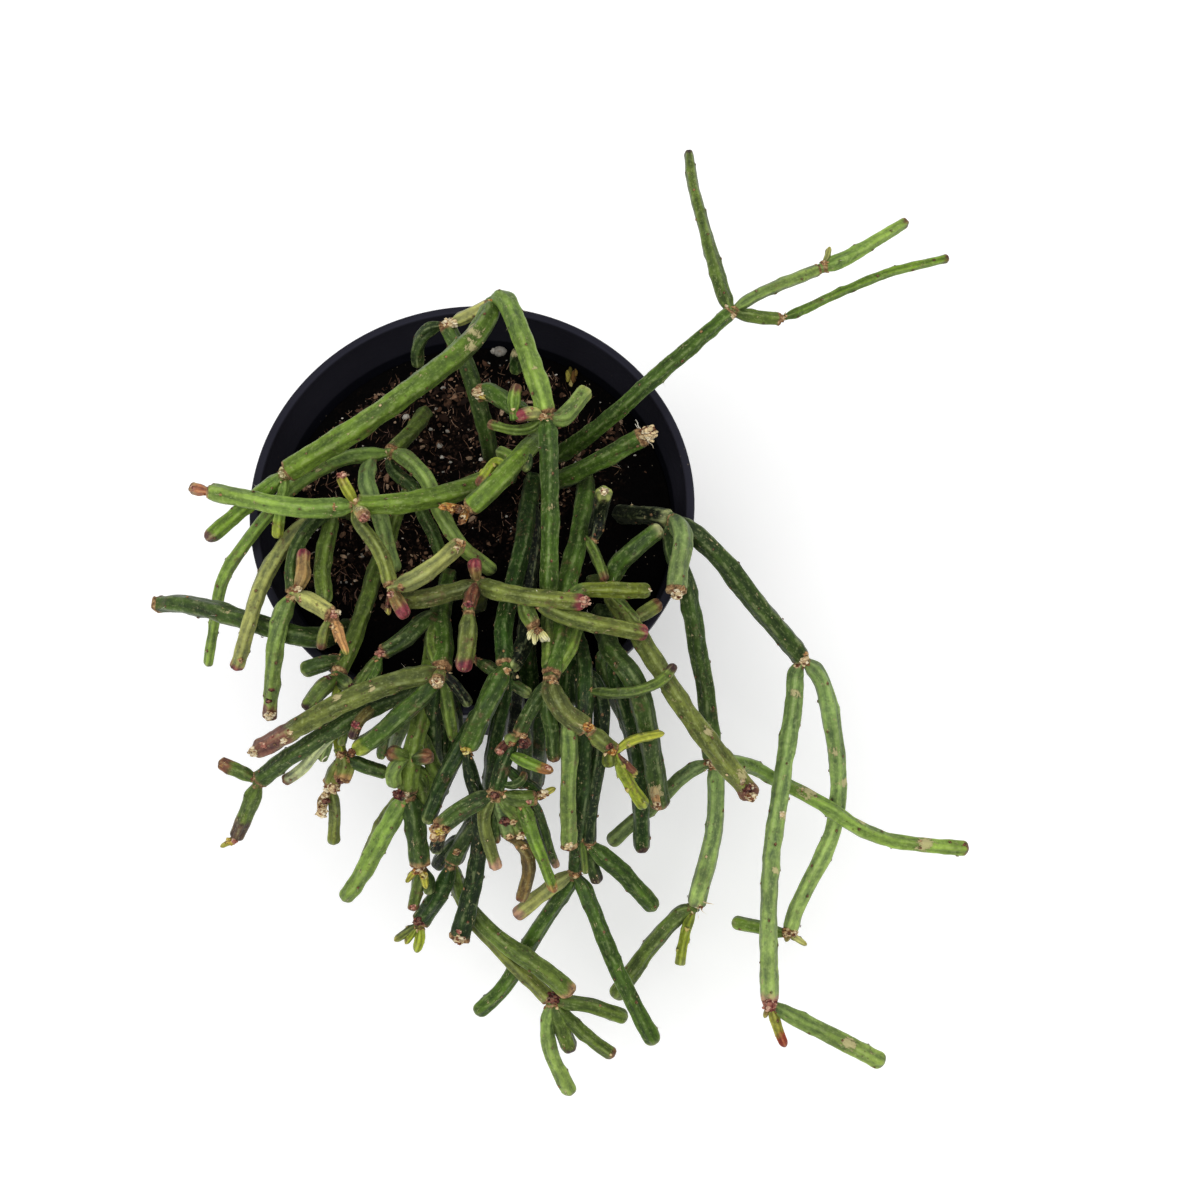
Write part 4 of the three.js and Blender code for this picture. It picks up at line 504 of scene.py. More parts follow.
class Tone(Enum):
    """Skin colours of the stems, as red, green and blue on a screen."""

    BRIGHT = (117, 146, 64)
    FRESH = (99, 129, 42)
    GREEN = (62, 89, 28)
    MID = (87, 108, 43)
    DARK = (53, 74, 29)
    DEEP = (34, 58, 17)
    # Painted shade: SHADOW and NIGHT are darkened for stems deep in the bush, where shade falls on them.
    SHADOW = (10, 19, 7)
    NIGHT = (23, 42, 12)
    MOSS = (84, 92, 44)
    UMBER = (108, 90, 48)
    ZEST = (164, 172, 58)
    PRIMROSE = (206, 202, 132)
    LEAF = (86, 111, 38)
    SILVER = (168, 180, 132)
    SALMON = (178, 112, 80)
    WINE = (84, 44, 34)
    STRAW = (144, 150, 86)
    MIST = (123, 149, 82)
    SAGE = (103, 124, 72)
    OLIVE = (100, 111, 50)
    GREY = (115, 139, 68)
    LIME = (138, 154, 44)
    PALE = (164, 167, 98)
    YELLOW = (146, 146, 54)
    ORANGE = (160, 106, 46)
    FLAKE = (198, 148, 94)
    RED = (106, 64, 48)
    BROWN = (130, 108, 62)
    DUSK = (84, 76, 38)
    PINK = (150, 122, 76)


@dataclass(frozen=True)
class Ending:
    """How a stem ends: the length of its rounding in half widths, how sharp it is, its tint and its cork."""

    cap: float
    sharpness: float
    tint: Colour | None = None
    tint_length: float = 0.0
    cork: float = 0.0


class Tip(Enum):
    """The kinds of ends that the stems have."""

    ROUND = Ending(0.95, 0.85, (122, 134, 74), 1.2)
    JOINT = Ending(0.55, 0.6, (126, 98, 66), 1.0, 0.9)
    CUT = Ending(0.0, 0.0, (196, 168, 124), 0.9, 1.0)
    BLUNT = Ending(0.5, 0.5, (140, 148, 76), 1.5)
    CORK = Ending(0.5, 0.55, (160, 124, 80), 2.0, 1.0)
    BUD = Ending(1.7, 1.15, (168, 160, 78), 1.0)
    PURPLE = Ending(0.9, 0.8, (66, 42, 42), 2.6)
    BROWN = Ending(0.8, 0.75, (112, 70, 50), 1.8, 0.4)
    MAGENTA = Ending(0.85, 0.8, (134, 58, 66), 2.6)
    ASHEN = Ending(0.55, 0.6, (132, 138, 88), 1.5, 0.2)
    PAPERY = Ending(0.55, 0.6, (170, 134, 112), 3.4, 0.7)
    RUBY = Ending(1.7, 1.15, (150, 62, 40), 4.0)
    EMBER = Ending(1.7, 1.15, (158, 106, 58), 3.0)
    TAN = Ending(0.75, 0.7, (168, 132, 92), 2.2, 0.7)
    MAUVE = Ending(1.4, 0.95, (112, 78, 68), 3.2)
    BLUSH = Ending(0.8, 0.75, (168, 130, 106), 3.2, 0.3)
    SALLOW = Ending(0.8, 0.75, (150, 152, 104), 1.4)
    PLUM = Ending(0.75, 0.7, (112, 74, 62), 9.5, 0.8)
    RUST = Ending(0.75, 0.7, (116, 74, 56), 4.8, 0.7)
    DUSK = Ending(0.8, 0.75, (82, 62, 46), 7.5, 0.35)
    LIME = Ending(0.95, 0.85, (146, 158, 54), 3.5)
    GOLD = Ending(0.95, 0.85, (94, 104, 30), 12.5)
    CREAM = Ending(1.7, 1.15, (234, 228, 176), 1.4)


@dataclass(frozen=True)
class Cork:
    """Colours of a corky lump: most of it, its lighter flakes and its dark pits, as seen on a screen."""

    main: Colour
    flakes: Colour
    pits: Colour


class Lump(Enum):
    """The kinds of corky lumps."""

    CREAM = Cork((222, 198, 152), (238, 224, 190), (124, 78, 54))
    TAN = Cork((178, 134, 88), (216, 188, 142), (92, 56, 42))
    ORANGE = Cork((182, 120, 56), (212, 172, 104), (104, 58, 38))
    YELLOW = Cork((200, 176, 78), (228, 214, 140), (122, 92, 38))
    PINK = Cork((184, 122, 104), (214, 172, 146), (116, 58, 54))
    WINE = Cork((132, 56, 64), (176, 104, 96), (84, 34, 44))
    MAROON = Cork((84, 42, 40), (134, 84, 70), (44, 24, 26))
    STRAW = Cork((190, 180, 128), (222, 212, 168), (116, 104, 62))
    RUST = Cork((150, 92, 62), (178, 128, 88), (100, 56, 42))
    BROWN = Cork((112, 72, 46), (160, 116, 78), (58, 36, 26))


def linear(colour: Sequence[float]) -> Floats:
    """Turns a screen colour into linear light: ((c + 0.055) / 1.055) to the power 2.4.

    Args:
        colour: Red, green and blue from 0 to 255, along the last axis.

    Returns:
        The same colours in linear light, from 0 to 1.
    """
    return ((np.asarray(colour, float) / 255 + 0.055) / 1.055) ** 2.4


def unit(vectors: Floats) -> Floats:
    """Each vector divided by its own length."""
    return vectors / np.maximum(np.linalg.norm(vectors, axis=-1, keepdims=True), 1e-9)


def eased(values: Floats, low: float, high: float) -> Floats:
    """Share t of the way from low to high, kept from 0 to 1 and eased as t * t * (3 - 2 * t)."""
    share = np.clip((values - low) / (high - low), 0, 1)
    return share * share * (3 - 2 * share)


def picked(random: np.random.Generator, count: int, palette: Palette) -> Floats:
    """Draws a colour for each of many things.

    Args:
        random: The seeded generator.
        count: How many are drawn.
        palette: Pairs of a share and a screen colour. The shares add up to 1.

    Returns:
        Linear colours, one in each row.
    """
    shares, colours = zip(*palette)
    return linear(colours)[random.choice(len(colours), count, p=shares)]


def slopes_at(points: Floats, steps: Floats) -> Floats:
    """Slope of a line at each of its points: (next point - last point) / the way between them."""
    reach = np.r_[0, steps] + np.r_[steps, 0]
    return (np.r_[points[1:], points[-1:]] - np.r_[points[:1], points[:-1]]) / reach[:, None]


def curved(points: Floats, slopes: Floats, span: Any, size: Any, t: Floats) -> Floats:
    """Points on cubic spans: p s s (1 + 2 t) + q t t (1 + 2 s) + size (slope at p t s s - slope at q s t t).

    Args:
        points: The line's points. A span runs from one, p, to the next, q.
        slopes: The line's slopes at them.
        span: Number of the span.
        size: Its length.
        t: Share of the way over it. The rest of the way is s.

    Returns:
        The points.
    """
    s = 1 - t
    ends = points[span] * s * s * (1 + 2 * t) + points[span + 1] * t * t * (1 + 2 * s)
    return ends + slopes[span] * size * t * s * s - slopes[span + 1] * size * s * t * t


def axes(side: Floats, way: Floats, width: Any, thickness: Any, length: Any) -> Floats:
    """Columns of a copy's frame: side times width, way x side times thickness, and way times length."""
    return np.stack([side * width, np.cross(way, side) * thickness, way * length], -1)


def ripples(points: Floats, size: float, seed: int, waves: int = 9) -> Floats:
    """Smooth random relief: the mean of crossed sine waves of seeded directions, lengths and phases.

    Args:
        points: Places, one in each row.
        size: Mean length of the waves, in the points' unit.
        seed: Seed of the waves.
        waves: How many waves are crossed.

    Returns:
        A value for each point, mostly from -1 to 1.
    """
    random = np.random.default_rng(seed)
    ways = unit(random.normal(size=(points.shape[-1], waves)).T).T
    pace = 2 * math.pi / (size * random.uniform(0.6, 1.7, waves))
    phase = random.uniform(0, 2 * math.pi, waves)
    return np.sin(points @ (ways * pace) + phase).sum(-1) / math.sqrt(waves)


@dataclass
class Shape:
    """Points with quads and triangles over them, and a value or colour at each point for the finish.

    Attributes:
        points: Places, one in each row, in millimetres.
        quads: Rows of four point numbers.
        triangles: Rows of three point numbers.
        paint: Values at the points by the attribute's name: one, or three, for each point.
    """

    points: Floats
    quads: Ints
    triangles: Ints
    paint: dict[str, Floats] = field(default_factory=dict)

    @staticmethod
    def joined(shapes: Sequence["Shape"]) -> "Shape":
        """Puts shapes with the same paints into one.

        Args:
            shapes: The shapes.

        Returns:
            One shape with all their points and faces.
        """
        starts = np.cumsum([0] + [len(shape.points) for shape in shapes[:-1]])
        return Shape(
            np.concatenate([shape.points for shape in shapes]),
            np.concatenate([shape.quads + start for shape, start in zip(shapes, starts)]),
            np.concatenate([shape.triangles + start for shape, start in zip(shapes, starts)]),
            {name: np.concatenate([shape.paint[name] for shape in shapes]) for name in shapes[0].paint},
        )

    def copies(self, places: Floats, frames: Floats, paint: dict[str, Floats]) -> "Shape":
        """Scatters copies of this shape: each point is place + frame times the point.

        Args:
            places: Where each copy goes.
            frames: Three scaled axes for each copy, as the columns of a 3 x 3 matrix.
            paint: Values of each copy, given to all its points.

        Returns:
            All the copies in one shape.
        """
        size = len(self.points)
        points = places[:, None, :] + np.einsum("nij,pj->npi", frames, self.points)
        starts = (np.arange(len(places)) * size)[:, None, None]
        painted = {name: np.repeat(values, size, axis=0) for name, values in paint.items()}
        quads = (self.quads[None] + starts).reshape(-1, 4)
        triangles = (self.triangles[None] + starts).reshape(-1, 3)
        return Shape(points.reshape(-1, 3), quads, triangles, painted)

    def shaken(self, by: float | Floats, size: float, seed: int, waves: int = 9) -> "Shape":
        """Shifts the points by smooth random relief, of three seeds in a row for the three axes.

        Args:
            by: Height of the relief, or one for each axis.
            size: Mean length of its waves.
            seed: Seed of the first axis.
            waves: How many waves are crossed.

        Returns:
            This shape.
        """
        shifts = [ripples(self.points, size, seed + axis, waves) for axis in range(3)]
        self.points += by * np.stack(shifts, -1)
        return self

    def piece(self, name: str, material: bpy.types.Material, slot: str) -> bpy.types.Object:
        """Makes the shape a Blender object in metres that rides on the part.

        Args:
            name: The object's name.
            material: Its finish.
            slot: The record's slot that the finish belongs to. It is not used.

        Returns:
            The new object, smooth shaded.
        """
        mesh = bpy.data.meshes.new(name)
        corners = np.concatenate([self.quads.ravel(), self.triangles.ravel()])
        sizes = np.repeat([4, 3], [len(self.quads), len(self.triangles)])
        mesh.vertices.add(len(self.points))
        mesh.loops.add(len(corners))
        mesh.polygons.add(len(sizes))
        mesh.vertices.foreach_set("co", (self.points * MM).astype(np.float32).ravel())
        mesh.loops.foreach_set("vertex_index", corners.astype(np.int32))
        mesh.polygons.foreach_set("loop_start", (np.cumsum(sizes) - sizes).astype(np.int32))
        mesh.polygons.foreach_set("use_smooth", np.ones(len(sizes), bool))
        mesh.update(calc_edges=True)
        for label, values in self.paint.items():
            self._paint(mesh, label, values)
        mesh.materials.append(material)
        made = bpy.data.objects.new(name, mesh)
        bpy.context.scene.collection.objects.link(made)
        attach(made, "root")
        LOG.info("%s: %d points, %d faces", name, len(self.points), len(sizes))
        return made

    @staticmethod
    def _paint(mesh: bpy.types.Mesh, label: str, values: Floats) -> None:
        """Writes one paint as a point attribute: single values as floats, threes as vectors.

        Args:
            mesh: The mesh that gets the attribute.
            label: The attribute's name.
            values: A value or three for each point.
        """
        kind, key = ("FLOAT", "value") if values.ndim == 1 else ("FLOAT_VECTOR", "vector")
        attribute = mesh.attributes.new(label, kind, "POINT")
        attribute.data.foreach_set(key, values.astype(np.float32).ravel())


def grid_faces(rings: int, sides: int) -> tuple[Ints, Ints]:
    """Faces over a grid of rings that is closed round each ring and by a pole at both ends.

    Point 0 is the first pole, then come the rings, and the last point is the other pole.

    Args:
        rings: Number of rings.
        sides: Points in each ring.

    Returns:
        The quads between the rings, and the triangles at the poles, facing out of a tube whose rings turn
        to the left seen along its way.
    """
    ring, side = np.meshgrid(np.arange(rings - 1), np.arange(sides), indexing="ij")
    after = (side + 1) % sides
    here = 1 + ring * sides
    quads = np.stack([here + side, here + after, here + sides + after, here + sides + side], -1)
    turn = np.arange(sides)
    following = (turn + 1) % sides
    last = 1 + (rings - 1) * sides
    first_pole = np.stack([np.zeros(sides, int), 1 + following, 1 + turn], -1)
    last_pole = np.stack([np.full(sides, last + sides), last + turn, last + following], -1)
    return quads.reshape(-1, 4), np.concatenate([first_pole, last_pole])


def turned(profile: Sequence[Sequence[float]], sides: int) -> Shape:
    """Turns a profile about Z: each [radius, height] becomes a ring of (radius cos a, radius sin a, height).

    Args:
        profile: Points from the axis below, round the outside, to the axis above, so that the last is a pole.
        sides: Points in each ring.

    Returns:
        The closed shape.
    """
    outline = np.asarray(profile, float)
    angle = np.arange(sides) * 2 * math.pi / sides
    around = np.stack([np.cos(angle), np.sin(angle)], -1)
    rings = outline[1:-1]
    flat = rings[:, None, :1] * around[None]
    heights = np.broadcast_to(rings[:, None, 1:], (len(rings), sides, 1))
    body = np.concatenate([flat, heights], -1).reshape(-1, 3)
    poles = [[[0, 0, outline[0, 1]]], [[0, 0, outline[-1, 1]]]]
    quads, triangles = grid_faces(len(rings), sides)
    return Shape(np.concatenate([poles[0], body, poles[1]]), quads, triangles)


def arc(centre: tuple[float, float], radius: float, start: float, end: float, count: int) -> list:
    """Points on a round corner: centre + radius (cos a, sin a), with a from start to end in degrees."""
    angles = np.radians(np.linspace(start, end, count))
    return [[centre[0] + radius * math.cos(a), centre[1] + radius * math.sin(a)] for a in angles]


def ball(rings: int, sides: int) -> Shape:
    """A unit ball, turned from a half circle with this many rings between its poles."""
    angles = np.linspace(-math.pi / 2, math.pi / 2, rings + 2)
    return turned(np.stack([np.cos(angles), np.sin(angles)], -1), sides)


def random_frames(random: np.random.Generator, count: int) -> Floats:
    """Unit axes turned at random, one 3 x 3 matrix for each.

    Args:
        random: The seeded generator.
        count: How many are made.

    Returns:
        The matrices, with the axes as columns.
    """
    first = unit(random.normal(size=(count, 3)))
    second = unit(np.cross(first, random.normal(size=(count, 3))))
    return np.stack([first, second, np.cross(first, second)], -1)


@dataclass(frozen=True)
class Viewpoint:
    """Where the plant is laid out from, and where the camera stands.

    Attributes:
        place: The eye, in millimetres.
        target: The point that it looks at.
        level: Height of the rim, on which the points of the stems are seen.
        lens: Focal length of the camera.
        sensor: Width of its picture, in the same unit.
    """

    place: tuple[float, float, float] = (31, -147.4, 421.6)
    target: tuple[float, float, float] = (31, -26, 88)
    level: float = 88
    lens: float = 45
    sensor: float = 36

    def widening(self, heights: Floats) -> Floats:
        """How much wider things at these heights are than they look on the rim's level."""
        return (self.place[2] - heights) / (self.place[2] - self.level)

    def placed(self, spots: Floats) -> Floats:
        """Puts seen spots in space, on their sight lines: eye + (spot - eye) times the widening.

        Args:
            spots: Rows of right, away and height.

        Returns:
            Rows of x, y and z.
        """
        eye = np.array(self.place[:2])
        flat = eye + (spots[:, :2] - eye) * self.widening(spots[:, 2:])
        return np.concatenate([flat, spots[:, 2:]], -1)

    def seen(self, points: Floats) -> Floats:
        """Where points are seen against the rim's level: eye + (point - eye) over the widening."""
        eye = np.array(self.place[:2])
        return eye + (points[..., :2] - eye) / self.widening(points[..., 2:])

    def camera(self) -> None:
        """Sets up the scene's camera here, with its horizon level."""
        data = bpy.data.cameras.new("camera")
        data.lens = self.lens
        data.sensor_width = self.sensor
        stand = bpy.data.objects.new("camera", data)
        away = np.subtract(self.target, self.place)
        stand.location = [axis * MM for axis in self.place]
        stand.rotation_euler = (math.pi / 2 + math.atan2(away[2], math.hypot(away[0], away[1])), 0, 0)
        bpy.context.scene.collection.objects.link(stand)
        bpy.context.scene.camera = stand


@dataclass
class Stem:
    """One stem of the plant.

    Attributes:
        spray: The node that it belongs to.
        widths: Seen width at the foot and at the tip.
        tip: How it ends.
        tone: Its colour.
        rooted: Whether it stands in the soil.
        way: The smooth row of seen spots along it.
    """

    spray: str
    widths: tuple[float, float]
    tip: Tip
    tone: Tone
    rooted: bool
    way: Floats


@dataclass(frozen=True)
class Layout:
    """Lays the stems out and bends them clear of each other, as the plant's solids are.

    Attributes:
        view: The viewpoint that the spots are seen from.
        spacing: Distance between spots along a stem.
        soil_level: Height of the soil.
        rim_radius: Outer radius of the pot's rim.
        rim_width: Width of the rim.
        clearance: Air between two stems.
        rim_clearance: Air between a stem and the rim.
        over_soil: Air between a stem and the soil.
        root_hold: Distance over which a foot is held.
        rounds: How often the stems are pushed apart.
        final_rounds: How many of them come without evening.
        evening: Share of its neighbours' mean shift that a spot takes on.
        even_reach: Distance over which shifts are evened.
        spread_reach: Distance over which a push takes along what is near.
        least_spread: Share under which a push doesn't reach.
        crossing: Two spots may cross where the square of their distance is under this many times that of
            their reach.
    """

    view: Viewpoint
    spacing: float = 2.5
    soil_level: float = 75
    rim_radius: float = 54
    rim_width: float = 2.2
    clearance: float = 0.8
    rim_clearance: float = 0.8
    over_soil: float = 1.6
    root_hold: float = 12
    rounds: int = 120
    final_rounds: int = 20
    evening: float = 0.5
    even_reach: float = 4
    spread_reach: float = 9
    least_spread: float = 0.01
    crossing: float = 2.5

    def smooth_way(self, points: Floats) -> Floats:
        """Runs a smooth way through points: cubic spans whose slopes are those of the points' neighbours.

        Args:
            points: The points.

        Returns:
            Spots along the way, about the spacing apart.
        """
        steps = np.linalg.norm(np.diff(points, axis=0), axis=1)
        slopes = slopes_at(points, steps)
        way = [points[:1]]
        for span, length in enumerate(steps):
            count = max(1, math.floor(length / self.spacing + 0.5))
            t = (np.arange(1, count + 1) / count)[:, None]
            way.append(curved(points, slopes, span, length, t))
        return np.concatenate(way)

    def stems(self) -> list[Stem]:
        """Reads the table of stems and settles them.

        Returns:
            All the stems, with the shapes that they keep.
        """
        made = []
        for spray, rows in SPRAYS.items():
            ends: dict[str, list[float]] = {}
            for code, *looks_and_points in rows:
                points = looks_and_points[LOOKS:]
                rooted = points[0][2] == self.soil_level
                if code[-1].islower():
                    points.insert(0, ends[code[:-1]])
                ends[code] = points[-1]
                made.append(self.stem(spray, looks_and_points[:LOOKS], np.array(points, float), rooted))
        self.settle(made)
        return made + self.inner(made)

    def inner(self, stems: list[Stem]) -> list[Stem]:
        """Reads the table of inner stems, each from the nearest spot of its own spray.

        Args:
            stems: The settled stems.

        Returns:
            The inner stems.
        """
        made = []
        for spray, rows in INNER.items():
            spots = np.concatenate([stem.way for stem in stems if stem.spray == spray])
            for row in rows:
                points = np.array(row[LOOKS:], float)
                foot = spots[np.linalg.norm(spots[:, :2] - points[0, :2], axis=1).argmin()]
                points = np.concatenate([foot[None], points[1:] + [0, 0, foot[2]]])
                made.append(self.stem(spray, row[:LOOKS], points, False))
        return made

    def stem(self, spray: str, looks: Sequence[Any], points: Floats, rooted: bool) -> Stem:
        """Makes one stem from its row in a table.

        Args:
            spray: The node that it belongs to.
            looks: Its width at the foot and at the tip, how it ends and its colour.
            points: The seen points that it runs through.
            rooted: Whether it stands in the soil.

        Returns:
            The stem, with its smooth way.
        """
        foot_width, tip_width, tip, tone = looks
        ending, colour = Tip[tip.upper()], Tone[tone.upper()]
        return Stem(spray, (foot_width, tip_width), ending, colour, rooted, self.smooth_way(points))

    def settle(self, stems: list[Stem]) -> None:
        """Bends stems of different sprays clear of each other along the lines of sight.

        Each round finds every spot's strongest push, spreads it to what is near in the same spray as
        exp(-(distance / reach) squared), and evens the shifts in the same way over a shorter reach.

        Args:
            stems: The stems, whose ways are changed.
        """
        at = np.concatenate([stem.way for stem in stems])
        first = at[:, 2].copy()
        counts = [len(stem.way) for stem in stems]
        number = np.repeat(np.arange(len(stems)), counts)
        names = list(SPRAYS)
        sprays = np.array([names.index(stem.spray) for stem in stems])[number]
        share = np.concatenate([np.linspace(0, 1, count) for count in counts])
        foot_width, tip_width = np.array([stem.widths for stem in stems])[number].T
        half = (foot_width + (tip_width - foot_width) * share) / 2 * self.view.widening(first)
        feet = np.stack([at[np.argmax(sprays == spray)] for spray in range(len(names))])
        loose = np.minimum(1, np.linalg.norm(at - feet[sprays], axis=1) / self.root_hold)
        pairs = self._crossings(at, half, sprays, number)
        groups = [self._tied(at, np.flatnonzero(sprays == spray)) for spray in range(len(names))]
        for turn in range(self.rounds):
            push = self._pushes(at, half, loose, pairs)
            for own, spread, even in groups:
                pulls = spread * push[own]
                strongest = np.abs(pulls).argmax(1)
                at[own, 2] += loose[own] * pulls[np.arange(len(own)), strongest]
                if turn < self.rounds - self.final_rounds:
                    shift = at[own, 2] - first[own]
                    at[own, 2] += self.evening * loose[own] * (even @ shift - shift)
        for stem, way in zip(stems, np.split(at, np.cumsum(counts)[:-1])):
            stem.way = way

    def _tied(self, at: Floats, own: Ints) -> tuple[Ints, Floats, Floats]:
        """How closely the spots of a spray move together.

        Args:
            at: All spots.
            own: Numbers of the spray's spots.

        Returns:
            The numbers, the share of a push that each spot takes from each other, and the weights of evening.
        """
        far = np.linalg.norm(at[own, None, :2] - at[None, own, :2], axis=-1)
        spread = np.exp(-((far / self.spread_reach) ** 2))
        near = spread > self.least_spread
        even = np.exp(-((far / self.even_reach) ** 2)) * near
        return own, spread * near, even / even.sum(1, keepdims=True)

    def _crossings(self, at: Floats, half: Floats, sprays: Ints, number: Ints) -> tuple[Any, ...]:
        """Finds the spots of different sprays that are seen closer than their widths.

        Along the sight line of one, two balls of the summed radii meet at the roots of a quadratic.

        Args:
            at: All spots.
            half: Half widths there.
            sprays: Number of each spot's spray.
            number: Number of each spot's stem.

        Returns:
            Both spots' numbers, the clear heights over and under, and whether the first passes over.
        """
        reach = half[:, None] + half[None] + self.clearance
        apart = at[:, None, :2] - at[None, :, :2]
        close = (apart**2).sum(-1) < self.crossing * reach**2
        one, two = np.nonzero(np.triu(close & (sprays[:, None] != sprays[None]), 1))
        x, y = apart[one, two].T
        eye = self.view.place
        slant_x, slant_y = ((np.array(eye[:2]) - at[one, :2]) / (eye[2] - self.view.level)).T
        a = 1 + slant_x**2 + slant_y**2
        b = x * slant_x + y * slant_y
        inside = b * b - a * (x * x + y * y - reach[one, two] ** 2)
        keep = inside > 0
        one, two, a, b, root = one[keep], two[keep], a[keep], b[keep], np.sqrt(inside[keep])
        stems = number[one] * (number.max() + 1) + number[two]
        lead = np.bincount(stems, at[one, 2] - at[two, 2])
        return one, two, (root - b) / a, (-root - b) / a, lead[stems] >= 0

    def _pushes(self, at: Floats, half: Floats, loose: Floats, pairs: tuple[Any, ...]) -> Floats:
        """Every spot's strongest push up or down, away from what it would touch.

        Args:
            at: All spots, at their present heights.
            half: Half widths there.
            loose: How freely each spot moves.
            pairs: The crossings.

        Returns:
            The pushes, in millimetres.
        """
        one, two, over_by, under_by, over = pairs
        gap = at[one, 2] - at[two, 2]
        lack = np.where(over, over_by - gap, gap - under_by)
        total = loose[one] + loose[two]
        active = (lack > 0) & (total > 0)
        size = np.where(over, 1, -1) * np.where(active, lack, 0) / np.maximum(total, 1e-9)
        up, down = np.zeros(len(at)), np.zeros(len(at))
        for spots, pushes in ((one, size * loose[one]), (two, -size * loose[two])):
            np.maximum.at(up, spots, pushes)
            np.minimum.at(down, spots, pushes)
        push = np.where(up >= -down, up, down)
        lift = self._lowest(at, half) - at[:, 2]
        lifted = (loose == 1) & (lift > 0)
        return np.where(lifted, np.maximum(push, lift), push)

    def _lowest(self, at: Floats, half: Floats) -> Floats:
        """Lowest height of a stem's middle: over the soil inside the pot, over the rim at the rim.

        Args:
            at: Points as seen, with heights.
            half: Half widths there.

        Returns:
            The lowest heights.
        """
        out = np.hypot(*self.view.placed(at)[:, :2].T)
        reach = half + self.rim_clearance
        at_rim = np.abs(out - self.rim_radius + self.rim_width / 2) < self.rim_width / 2 + reach
        inside = np.where(out < self.rim_radius, self.soil_level + half + self.over_soil, 0)
        return np.where(at_rim, self.view.level + reach, inside)


